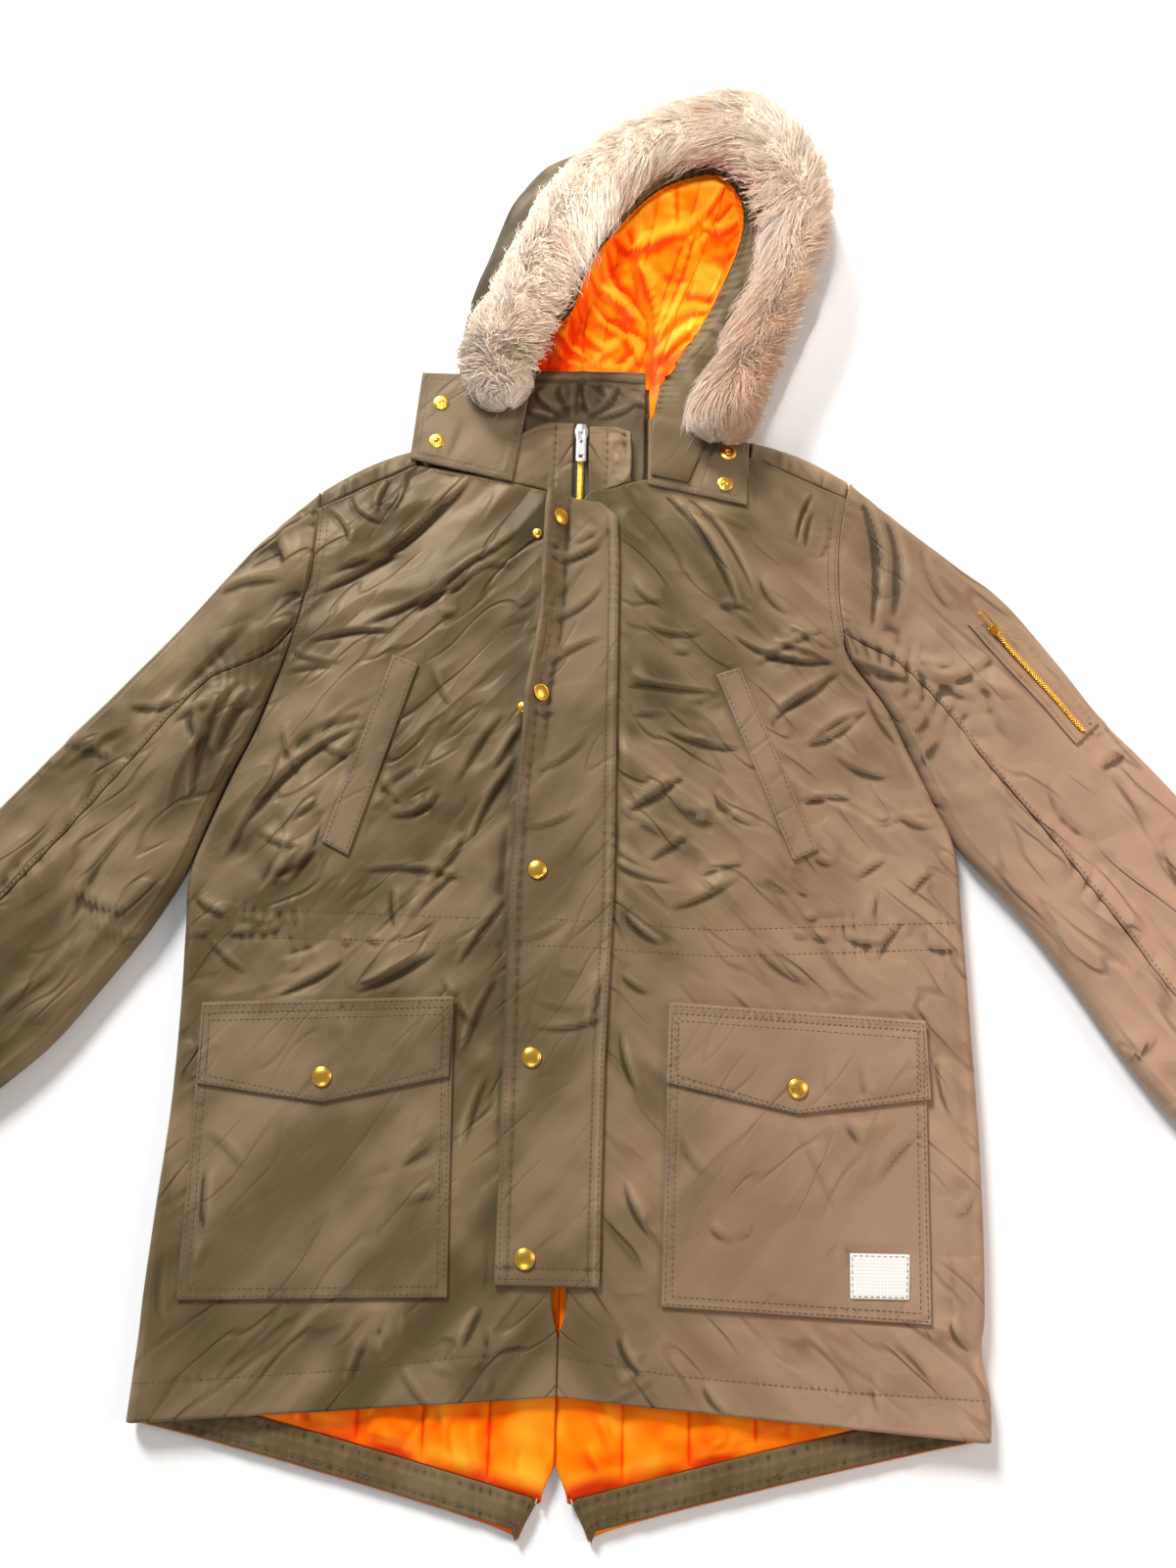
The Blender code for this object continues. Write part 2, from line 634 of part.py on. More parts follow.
def pocket(side):
    form = POCKETS[side]
    (tx, ty), (ux, uy) = form["top"]
    (bx, by), (cx, cy) = form["bottom"]
    z = LAY + GAP
    patch(f"pocket_{side}", ((tx, ty - 6), (ux, uy - 6), (cx, cy), (bx, by)), z, PATCH_THICK,
          "shell", 4, 4)
    inner, point, outer = form["flap"]
    z += PATCH_THICK + GAP
    grid = []
    for across in spread(0.0, 1.0, 7):
        top = mix_xy(form["top"][0], form["top"][1], across)
        if across < 0.5:
            low = mix_xy(inner, point, across * 2)
        else:
            low = mix_xy(point, outer, across * 2 - 1)
        grid.append([at(*mix_xy(top, low, down), z + PATCH_THICK) for down in (0, 0.5, 1)])
    cloth(f"pocket_flap_{side}", [grid], PATCH_THICK, "shell", UNDER)
    return z + PATCH_THICK


# ---- snaps ----

def turned(name, profile, spot, key, segments=12, tilt=0.0):
    # A turned fastener: the profile runs down its outer side, and Screw turns it.
    mesh = bpy.data.meshes.new(name)
    points = [Vector((r, 0, z)) * MILLI for r, z in profile]
    mesh.from_pydata(points, [(i, i + 1) for i in range(len(points) - 1)], [])
    obj = bpy.data.objects.new(name, mesh)
    coat.objects.link(obj)
    obj.location = spot
    obj.rotation_euler = (0.0, -tilt, 0.0)
    screw = obj.modifiers.new("turn", "SCREW")
    screw.steps = segments
    screw.render_steps = segments
    screw.use_merge_vertices = True
    screw.merge_threshold = 0.00001
    screw.use_smooth_shade = True
    finish(obj, key)
    return obj


def cap(name, spot, tilt=0.0):
    profile = ((0, CAP_HIGH), (4.2, CAP_HIGH - 0.25), (6.6, CAP_HIGH - 0.9), (CAP_R, 1.2),
               (CAP_R, 0.4), (CAP_R - 0.5, 0), (0, 0))
    return turned(name, profile, spot, "brass", 14, tilt)


def socket(name, spot):
    profile = ((0, 0.6), (1.5, 0.6), (2.0, SOCKET_HIGH), (4.4, SOCKET_HIGH),
               (SOCKET_R - 0.6, 1.3), (SOCKET_R, 0.6), (SOCKET_R, 0), (0, 0))
    return turned(name, profile, spot, "brass", 12)


def stud(name, spot):
    profile = ((0, STUD_HIGH), (1.6, STUD_HIGH - 0.3), (1.7, 1.4), (STUD_R - 0.5, 1.2),
               (STUD_R, 0.6), (STUD_R, 0), (0, 0))
    return turned(name, profile, spot, "brass", 12)


def snaps(flap_z):
    for i, level in enumerate(FLAP_SNAPS_Y):
        row = storm_row(level)
        tilt = 0.0
        x = (row["free"] + 22.0) if i > 1 else row["free"] + 12.0
        z = storm_height(row, x) + GAP
        if i < 2:
            slope = (storm_height(row, x - 5) - storm_height(row, x + 5)) / 10
            tilt = -math.atan(slope)
            z += 1.1
        cap(f"flap_snap_{i + 1}", at(x, level, z), tilt)
    for i, (x, y) in enumerate(STUDS):
        stud(f"stud_{i + 1}", at(x, y, LAY + GAP))
    for i, (x, y) in enumerate(HOOD_SOCKETS):
        socket(f"hood_socket_{i + 1}", at(x, y, TAB_Z + TAB_THICK + GAP))
    for side, form in POCKETS.items():
        cap(f"pocket_snap_{side}", at(*form["snap"], flap_z + GAP))


# ---- collar and hood ----

COLLAR_IN_Z = 11.0                  # top of the collar's inner layer
COLLAR_OUT_Z = 16.4                 # top of its front layer


def collar_front(side):
    # The stand in front of the neck, beside the zip.
    sign = SIDES[side]
    end = 45.0 if side == "left" else 78.0
    grid = []
    for x in spread(7.0, end, 6):
        low = front_neck(side, 1 - x / BODY[side]["neck"][0])[1] + 2 * SEAM
        past = max(0.0, x - 26) / 26
        high = COLLAR_TOP - (3 if side == "left" else 0) - 11 * min(past, 1.2) ** 1.6
        row = []
        for i, share in enumerate(spread(0.0, 1.0, 6)):
            crumple = 0.5 * math.sin(x * 0.33 + i * 1.9) * math.sin(math.pi * share)
            row.append(at(sign * x, mix(low, high, share), COLLAR_OUT_Z + crumple))
        grid.append(row)
    return cloth(f"collar_front_{side}", [grid], 3.2, "shell", UNDER)


def collar_back():
    # The inside of the stand behind the neck, seen above the front.
    top, base = [], []
    for level in (740, 770, 798, 808, 820, 832, 844, 852):
        rows = ([], [])
        for x in spread(-54.0, 57.0, 11):
            seen = min(max((level - 798) / 12, 0.0), 1.0) * min((852 - level) / 8, 1.0)
            crumple = (1.3 + 1.3 * math.sin(x * 0.21 + level * 0.13)) * seen
            y = level + 2.5 * math.sin((x + 54) / 111 * math.pi) * (level > 848)
            rows[0].append(at(x, y, COLLAR_IN_Z + crumple))
            rows[1].append(at(x, y, COLLAR_IN_Z - 2.6))
        top.append(rows[0])
        base.append(rows[1])
    return block("collar_back", top, base, "collar")


def hood_station(place):
    return dict(zip(HOOD_COLUMNS, spline(HOOD, place)))


def neck_point(place):
    share = place / (len(HOOD) - 1)
    x = mix(-122.0, 122.0, share)
    return (x, back_neck(x) + 2.0)


def shell_section(place):
    # From the rim out over the widest point, down to the surface and in to the neck seam.
    s = hood_station(place)
    rim = (s["rx"], s["ry"], s["rz"])
    neck = neck_point(place)
    out = (s["ox"], s["oy"], s["rz"] * 0.42)
    inward = math.hypot(neck[0] - out[0], neck[1] - out[1])
    foot = (*mix_xy(out, neck, min(12.0, inward * 0.3) / max(inward, 1.0)), 0.0)
    high = tuple(mix(a, b, 0.5) for a, b in zip(rim, out))
    lift = min(5.0, s["rz"] * 0.12)
    high = (high[0], high[1], high[2] + lift)
    low = (mix(out[0], foot[0], 0.25), mix(out[1], foot[1], 0.25), out[2] * 0.35)
    points = [rim, high, out, low, foot]
    for share in (0.25, 0.5, 0.75, 1.0):
        points.append((*mix_xy(foot, neck, share), 0.0))
    return [at(*p) for p in points]


def hood_shell():
    last = len(HOOD) - 1
    part = 0.045
    pieces = (("hood_side_right", 0, CROWN_FROM - part, 11),
              ("hood_crown", CROWN_FROM + part, CROWN_TO - part, 5),
              ("hood_side_left", CROWN_TO + part, last, 9))
    for name, first, end, count in pieces:
        grid = [shell_section(place) for place in spread(first, end, count)]
        cloth(name, [grid], HOOD_WALL, "shell", at(50, 930, 25))


def lining_end(place):
    # Where a section of the lining goes under the collar.
    if place <= CREASE_STATION:
        return (mix(-66.0, 60.0, (place - 1) / (CREASE_STATION - 1)), 838.0)
    share = (place - CREASE_STATION) / (len(HOOD) - 1 - CREASE_STATION)
    return (61.5, mix(838.0, 800.0, share))


LINING_FLOOR = HOOD_WALL + 0.8 + LINING_THICK


def facing_section(place):
    s = hood_station(place)
    rim, seam = (s["rx"], s["ry"], s["rz"]), (s["bx"], s["by"], s["bz"])
    long = math.hypot(seam[0] - rim[0], seam[1] - rim[1])
    points = []
    for share in (8.0 / long, 0.62, 1 - 0.6 / long):
        z = mix(rim[2], seam[2], share) + 1.5 * math.sin(math.pi * share)
        points.append(at(*mix_xy(rim, seam, share), z))
    return points


def lining_section(place):
    s = hood_station(place)
    seam = (s["bx"], s["by"])
    end = lining_end(place)
    long = math.hypot(end[0] - seam[0], end[1] - seam[1])
    reach = min(34.0, long * 0.7)
    depth = s["bz"] - LINING_FLOOR
    if place > CREASE_STATION:
        depth = min(depth, 0.6 * reach)
    if place <= CREASE_STATION and seam[1] > 866:
        reach = min(reach, long * (seam[1] - 856) / (seam[1] - end[1]))
    points = []
    for share in (0.0, 0.06, 0.36, 0.68, 1.0):
        fall = 0.0 if share < 0.1 else share * share * (3 - 2 * share)
        x, y = mix_xy(seam, end, mix(2.3, reach, share) / long)
        points.append((x, y, s["bz"] - depth * fall))
    for share in (0.35, 0.7, 1.0):
        x, y = mix_xy(seam, end, mix(reach / long, 1.0, share))
        points.append((x, y, s["bz"] - depth))
    return points


def lining_pieces():
    last = len(HOOD) - 1
    part = 0.03
    halves = (("hood_lining_right", 1.0, CREASE_STATION - part, 17),
              ("hood_lining_left", CREASE_STATION + part, float(last), 12))
    for name, first, end, count in halves:
        grid = []
        for i, place in enumerate(spread(first, end, count)):
            points = lining_section(place)
            row = []
            for j, (x, y, z) in enumerate(points):
                puff = 2.2 * (i % 2) * math.sin(math.pi * max(j - 1, 0) / (len(points) - 2))
                puff *= min(max((y - 858) / 20, 0.0), 1.0) if x < 62 else 1.0
                row.append(at(x, y, z + puff))
            grid.append(row)
        cloth(name, [grid], LINING_THICK, "lining", at(50, 930, -400))
    for name, first, end, count in (("hood_facing_right", 1.0, 8 - part, 11),
                                    ("hood_facing_left", 8 + part, float(last), 12)):
        grid = [facing_section(place) for place in spread(first, end, count)]
        if name == "hood_facing_left":
            for ax, ay, bx, by in FACING_END:
                z = TAB_Z + TAB_THICK + GAP + 2.0
                grid.append([at(*mix_xy((ax, ay), (bx, by), share), z) for share in (0.13, 0.62, 0.99)])
        cloth(name, [grid], 2.0, "shell", at(50, 930, -400))


FUR_TURNS = 10


def fur():
    # The trim's solid reaches as far as its hair does.
    count = 34
    rings = []
    for i, place in enumerate(spread(0.0, len(FUR) - 1.0, count)):
        s = dict(zip(FUR_COLUMNS, spline(FUR, place)))
        outer, inner = (s["ox"], s["oy"]), (s["ix"], s["iy"])
        middle = mix_xy(outer, inner, 0.5)
        half = math.hypot(outer[0] - inner[0], outer[1] - inner[1]) / 2
        ax, ay = (outer[0] - inner[0]) / (2 * half), (outer[1] - inner[1]) / (2 * half)
        ring = []
        for j in range(FUR_TURNS):
            angle = 2 * math.pi * j / FUR_TURNS
            c, d = math.cos(angle), math.sin(angle)
            reach = math.copysign(abs(c) ** 0.8, c) * half
            rise = math.copysign(abs(d) ** 0.8, d) * s["thick"]
            lump = 1 + 0.05 * math.sin(i * 1.7 + j * 2.3) * (d > -0.1)
            ring.append(at(middle[0] + ax * reach * lump, middle[1] + ay * reach * lump,
                           s["mid"] + rise * lump))
        rings.append(ring)
    bm = bmesh.new()
    verts = [[bm.verts.new(p) for p in ring] for ring in rings]
    for a, b in zip(verts, verts[1:]):
        for j in range(FUR_TURNS):
            k = (j + 1) % FUR_TURNS
            bm.faces.new((a[j], a[k], b[k], b[j]))
    bm.faces.new(reversed(verts[0]))
    bm.faces.new(verts[-1])
    bmesh.ops.recalc_face_normals(bm, faces=bm.faces)
    return new_object("fur_trim", bm, "fur")


# ---- inside of the fishtail ----

QUILT = 48.0                        # the lining's channels run up the coat
LINING_TOP = 96.0                   # how far up inside it is built


def lining_ys(x):
    # Heights of the lining's rows: two under the front, the rest where it shows.
    low = tail(x) + FACING_WIDE + 0.4
    shown = max(2.0 - HEM_DROP * x / SIDE_X, low + 3.0)
    return [LINING_TOP] + [mix(shown, low, share) for share in (0.0, 0.3, 0.7, 1.0)]


def tail_inside():
    floor = WALL + GAP
    for side, sign in SIDES.items():
        top, base = [], []
        for row_no in range(5):
            rows = ([], [])
            for number in spread(0.0, 5.0, 16):
                x = number * QUILT
                ys = lining_ys(x)
                y = ys[row_no]
                if number == 0:
                    # the slit of the fishtail cuts this corner off
                    x = (0.3, 0.3, 0.3, 0.3, 12.5)[row_no]
                    y = min(y, VENT_TOP + 2.5) if row_no == 3 else y
                elif number < 0.4 and row_no == 4:
                    x += 4
                puff = 2.4 * abs(math.sin(math.pi * number)) ** 0.6 * (row_no in (2, 3))
                puff *= min((ys[1] - ys[4]) / 20, 1.0)
                rows[0].append(at(sign * x, y, floor + 1.4 + puff))
                rows[1].append(at(sign * x, y, floor))
            top.append(rows[0])
            base.append(rows[1])
        block(f"tail_lining_{side}", top, base, "lining")
        grid = []
        for number, x in enumerate((0, 36, 72, 110, 150, 190, 230, 268, 296)):
            low, high = tail(x) + 1.2, tail(x) + FACING_WIDE - 0.4
            if number == 0:
                grid.append([at(sign * 13.0, high, floor + 1.8), at(sign * 27.0, low, floor + 1.8)])
            else:
                grid.append([at(sign * x, high, floor + 1.8), at(sign * x, low, floor + 1.8)])
        cloth(f"tail_facing_{side}", [grid], 1.8, "shell", UNDER)


# ---- zips ----

def box_mesh(bm, centre, size):
    made = bmesh.ops.create_cube(bm, size=1.0)
    bmesh.ops.scale(bm, vec=Vector(size) * MILLI, verts=made["verts"])
    bmesh.ops.translate(bm, vec=Vector(centre) * MILLI, verts=made["verts"])
    return made["verts"]


def box_object(name, centre, size, key):
    bm = bmesh.new()
    box_mesh(bm, centre, size)
    return new_object(name, bm, key, False)


def joined(name, boxes, key):
    # Boxes in the slider's own frame, united by booleans.
    base = None
    for i, (centre, size) in enumerate(boxes):
        piece = box_object(f"{name}_{i}", centre, size, key)
        if base is None:
            base = piece
            continue
        cut = base.modifiers.new("join", "BOOLEAN")
        cut.operation = "UNION"
        cut.solver = "EXACT"
        cut.object = piece
        graph = bpy.context.evaluated_depsgraph_get()
        mesh = bpy.data.meshes.new_from_object(base.evaluated_get(graph))
        base.modifiers.clear()
        base.data = mesh
        bpy.data.objects.remove(piece)
    base.name = name
    base.data.name = name
    return base


def slider(name, size, key):
    # Body over the teeth, with a crown whose bridge holds the pull's cross bar.
    wide, long, high = size
    rise = BAR + 2 * BAR_CLEAR
    boxes = (((0, 0, high / 2), (wide, long, high)),
             ((0, CROWN_REACH, high + rise / 2 - 0.2), (CROWN_WIDE, CROWN_POST, rise + 0.4)),
             ((0, -CROWN_REACH, high + rise / 2 - 0.2), (CROWN_WIDE, CROWN_POST, rise + 0.4)),
             ((0, 0, high + rise + 0.4), (CROWN_WIDE, 2 * CROWN_REACH + CROWN_POST, 1.0)))
    return joined(name, boxes, key)


def pull(name, size, key, framed):
    # Tab with its cross bar at the origin, lying along -Y. The slot clears the crown.
    wide, long, thick = size
    rail = (wide - PULL_SLOT) / 2
    rail_x = (PULL_SLOT + rail) / 2
    ears = SLOT_LONG if not framed else long - 2.0
    tail_long = long - ears
    boxes = (((0, 0, 0), (wide, BAR, BAR)),
             ((-rail_x, -ears / 2, 0), (rail, ears + BAR / 2, BAR)),
             ((rail_x, -ears / 2, 0), (rail, ears + BAR / 2, BAR)),
             ((0, -ears - tail_long / 2, 0), (wide, tail_long, thick)))
    return joined(name, boxes, key)


TAPE_Z = COLLAR_IN_Z + GAP
CHAIN_Z = TAPE_Z + TAPE_THICK + GAP


def bar_height(size):
    # of the cross bar's middle over the slider's foot
    return size[2] + BAR / 2 + BAR_CLEAR


def main_zip():
    low = NECK_Y + 7.0
    end = SLIDER_Y + MAIN_SLIDER[1] / 2
    middle = (low + end) / 2 - ORIGIN_Y
    box_object("zip_tape", (0, middle, TAPE_Z + TAPE_THICK / 2), (TAPE_WIDE, end - low, TAPE_THICK),
               "tape")
    low = NECK_Y + 4.0
    end = SLIDER_Y - MAIN_SLIDER[1] / 2 - GAP
    middle = (low + end) / 2 - ORIGIN_Y
    box_object("zip_chain", (0, middle, CHAIN_Z + ZIP_THICK / 2), (ZIP_CHAIN, end - low, ZIP_THICK),
               "brass")
    body = slider("zip_slider", MAIN_SLIDER, "nickel")
    body.location = at(0, SLIDER_Y, CHAIN_Z)
    tab = pull("zip_pull", MAIN_PULL, "nickel", False)
    tab.location = at(0, SLIDER_Y, CHAIN_Z + bar_height(MAIN_SLIDER))


def height_on(grid, x, y):
    # Height of a grid's upper side above a spot, from the triangle that the spot lies in.
    spot = at(x, y, 0)
    for upper, lower in zip(grid, grid[1:]):
        for i in range(len(TURNS) - 1):
            for a, b, c in ((upper[i], upper[i + 1], lower[i]),
                            (upper[i + 1], lower[i + 1], lower[i])):
                area = (b - a).xy.cross((c - a).xy)
                u = (b - spot).xy.cross((c - spot).xy) / area
                v = (c - spot).xy.cross((a - spot).xy) / area
                if min(u, v, 1 - u - v) > -0.001:
                    return (u * a.z + v * b.z + (1 - u - v) * c.z) / MILLI
    return 0.0


def sleeve_pocket():
    grid = sleeve_grid("left", 0)
    over = 2 * GAP + SLEEVE_PATCH
    area = quad(SLEEVE_POCKET, 0.0, 4, 6)
    for row in area:
        for p in row:
            p.z = (height_on(grid, p.x / MILLI, p.y / MILLI + ORIGIN_Y) + over) * MILLI
    cloth("sleeve_pocket", [area], SLEEVE_PATCH, "shell", UNDER)
    (ax, ay), (bx, by) = SLEEVE_ZIP
    long = math.hypot(bx - ax, by - ay)
    run = Vector((bx - ax, by - ay, 0)) / long
    side = Vector((-run.y, run.x, 0)) * ZIP_CHAIN / 3 * MILLI
    base = over + GAP + 0.2
    chain = []
    for share in spread((POCKET_SLIDER[1] / 2 + 0.5) / long, 1.0, 6):
        x, y = mix_xy(SLEEVE_ZIP[0], SLEEVE_ZIP[1], share)
        p = at(x, y, height_on(grid, x, y) + base + SLEEVE_PATCH)
        chain.append([p + side, p - side])
    cloth("sleeve_zip_chain", [chain], SLEEVE_PATCH, "brass", UNDER)
    foot = at(ax, ay, height_on(grid, ax, ay) + base)
    body = slider("sleeve_zip_slider", POCKET_SLIDER, "brass")
    tab = pull("sleeve_zip_pull", POCKET_PULL, "brass", True)
    body.location = foot
    tab.location = foot + Vector((0, 0, bar_height(POCKET_SLIDER))) * MILLI
    for obj in (body, tab):
        obj.rotation_euler = (0.0, 0.0, math.atan2(run.y, run.x) - math.pi / 2)


coat = bpy.data.collections.new("fur_trimmed_parka")


def main():
    for obj in list(bpy.data.objects):
        bpy.data.objects.remove(obj)
    bpy.context.scene.collection.children.link(coat)
    for side in SIDES:
        front(side)
        yoke(side)
        sleeve(side)
        patch(f"hood_tab_{side}", HOOD_TABS[side], TAB_Z, TAB_THICK, "shell", 4, 4)
        collar_front(side)
        patch(f"welt_{side}", WELTS[side], LAY + GAP, PATCH_THICK, "shell", 2, 4)
        flap_z = pocket(side)
    back()
    storm_flap()
    tail_inside()
    snaps(flap_z)
    collar_back()
    hood_shell()
    lining_pieces()
    fur()
    main_zip()
    sleeve_pocket()
    patch("label", LABEL, LAY + 2 * GAP + PATCH_THICK, LABEL_THICK, "label")


main()
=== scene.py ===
# Fur trimmed parka, laid flat on its back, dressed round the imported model.
# Lengths are millimetres in the pattern frame: X to the wearer's left, Y up the coat from the
# centre of the front hem, Z up from the floor. world() turns them into metres in the frame.
import json
import math
from functools import partial

import bmesh
import bpy
import numpy as np
from mathutils import Euler, Matrix, Vector
from mathutils.bvhtree import BVHTree

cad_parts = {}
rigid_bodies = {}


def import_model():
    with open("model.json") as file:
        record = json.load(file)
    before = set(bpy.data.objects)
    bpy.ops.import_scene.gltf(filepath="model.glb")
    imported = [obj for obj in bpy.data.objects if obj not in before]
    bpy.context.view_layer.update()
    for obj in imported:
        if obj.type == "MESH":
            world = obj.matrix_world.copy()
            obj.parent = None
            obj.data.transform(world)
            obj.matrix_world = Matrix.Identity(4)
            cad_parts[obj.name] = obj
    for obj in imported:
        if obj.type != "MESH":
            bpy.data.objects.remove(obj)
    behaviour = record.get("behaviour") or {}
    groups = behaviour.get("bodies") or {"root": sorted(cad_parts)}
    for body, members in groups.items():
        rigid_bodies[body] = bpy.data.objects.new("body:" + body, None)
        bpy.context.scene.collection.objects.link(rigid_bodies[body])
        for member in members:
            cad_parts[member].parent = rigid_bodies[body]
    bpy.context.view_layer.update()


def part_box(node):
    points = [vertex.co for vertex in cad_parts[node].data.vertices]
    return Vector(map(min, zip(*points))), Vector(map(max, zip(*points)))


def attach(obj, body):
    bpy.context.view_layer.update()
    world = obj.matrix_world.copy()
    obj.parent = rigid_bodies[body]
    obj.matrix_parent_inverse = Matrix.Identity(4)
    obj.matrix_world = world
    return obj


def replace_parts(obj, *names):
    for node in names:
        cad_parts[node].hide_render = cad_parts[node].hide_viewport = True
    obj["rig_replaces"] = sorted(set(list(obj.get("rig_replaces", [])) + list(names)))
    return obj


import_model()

mm = 0.001
originY = 500.0
sides = {"left": 1.0, "right": -1.0}

lay = 17.0        # height of the laid coat over both layers
wall = 5.0        # shell cloth, wadding and lining
gap = 0.3
roll = lay / 2 - gap / 2
hemDrop = 24.0
sideX = 312.0
tailDepth = 72.0
ventTop = -48.0
neckY = 714.0
below = (0.0, originY, -1000.0)    # upward faces turn away from this point
yokeWide = 20.0


def world(x, y, z):
    x, y, z = np.broadcast_arrays(x, y, z)
    return np.stack([x, y - originY, z], axis=-1) * mm


def mix(a, b, share):
    return a + (b - a) * share


def hump(away, wide):
    return np.exp(-(away / wide) ** 2)


def columnsOf(rows):
    return np.moveaxis(np.array(rows), -1, 0)


def smooth(value, low, high):
    t = np.clip((value - low) / (high - low), 0.0, 1.0)
    return t * t * (3 - 2 * t)


def linear(hexCode):
    # sRGB hex to linear red, green, blue, alpha
    values = [int(hexCode[i:i + 2], 16) / 255 for i in (1, 3, 5)]
    return (*[v / 12.92 if v <= 0.04045 else ((v + 0.055) / 1.055) ** 2.4 for v in values], 1.0)


def splineRow(rows, place):
    # Catmull-Rom through the rows of a table, at a fractional row number
    rows = np.asarray(rows, float)
    last = len(rows) - 1
    place = min(max(place, 0.0), float(last))
    i = min(int(place), last - 1)
    t = place - i
    a, b = rows[i], rows[i + 1]
    before = rows[i - 1] if i > 0 else 2 * a - b
    after = rows[i + 2] if i + 2 <= last else 2 * b - a
    return 0.5 * (2 * a + (b - before) * t + (2 * before - 5 * a + 4 * b - after) * t ** 2
                  + (3 * a - before - 3 * b + after) * t ** 3)


def valueNoise(x, y, size, seed):
    # smooth noise from -1 to 1 whose lumps are about size millimetres across
    table = np.random.default_rng(seed).uniform(-1, 1, (64, 64))
    u, v = x / size + 1000.0, y / size + 1000.0
    i, j = np.floor(u).astype(int), np.floor(v).astype(int)
    s, t = u - i, v - j
    s, t = s * s * (3 - 2 * s), t * t * (3 - 2 * t)
    a, b = table[i % 64, j % 64], table[(i + 1) % 64, j % 64]
    c, d = table[i % 64, (j + 1) % 64], table[(i + 1) % 64, (j + 1) % 64]
    return mix(mix(a, b, s), mix(c, d, s), t)


def nearLine(x, y, line):
    # distance from a line of points, the length run along it, and the side of it
    best = np.full(np.shape(x), 1e9)
    run = np.zeros(np.shape(x))
    side = np.ones(np.shape(x))
    start = 0.0
    for (ax, ay), (bx, by) in zip(line, line[1:]):
        dx, dy = bx - ax, by - ay
        long = math.hypot(dx, dy)
        t = np.clip(((x - ax) * dx + (y - ay) * dy) / long ** 2, 0, 1)
        away = np.hypot(x - ax - t * dx, y - ay - t * dy)
        near = away < best
        best = np.where(near, away, best)
        run = np.where(near, start + t * long, run)
        side = np.where(near, np.sign((x - ax) * dy - (y - ay) * dx), side)
        start += long
    return best, run, side


def unit(rows):
    return rows / np.maximum(np.linalg.norm(rows, axis=-1, keepdims=True), 1e-6)


# Creases: from, to, half width, height (a trough is less than nothing) and bow, X with its sign.

mainFolds = (
    (-130, 735, -225, 640, 20, 5), (-108, 720, -228, 615, 16, -3), (-95, 650, -232, 595, 18, 3.5),
    (-250, 590, -300, 540, 18, 4), (-195, 520, -265, 400, 18, -3.5), (-70, 480, -130, 350, 16, -3),
    (-265, 420, -205, 370, 14, 2.5), (100, 725, 150, 610, 18, 3.5), (120, 735, 172, 600, 15, -3),
    (130, 590, 228, 572, 16, 3.5), (198, 720, 215, 650, 14, -2.5), (235, 510, 200, 440, 14, 2.5),
    (262, 715, 272, 590, 16, -4.5), (285, 700, 300, 600, 18, 4), (262, 560, 330, 500, 14, -3.5),
    (345, 560, 440, 440, 20, 3), (-262, 690, -330, 600, 18, 3.5), (-275, 560, -350, 520, 14, -4),
    (-300, 600, -400, 500, 18, 3.5), (-360, 470, -420, 300, 18, -3.5), (430, 400, 500, 280, 18, -3.5),
    (-450, 380, -520, 250, 18, 3),
)

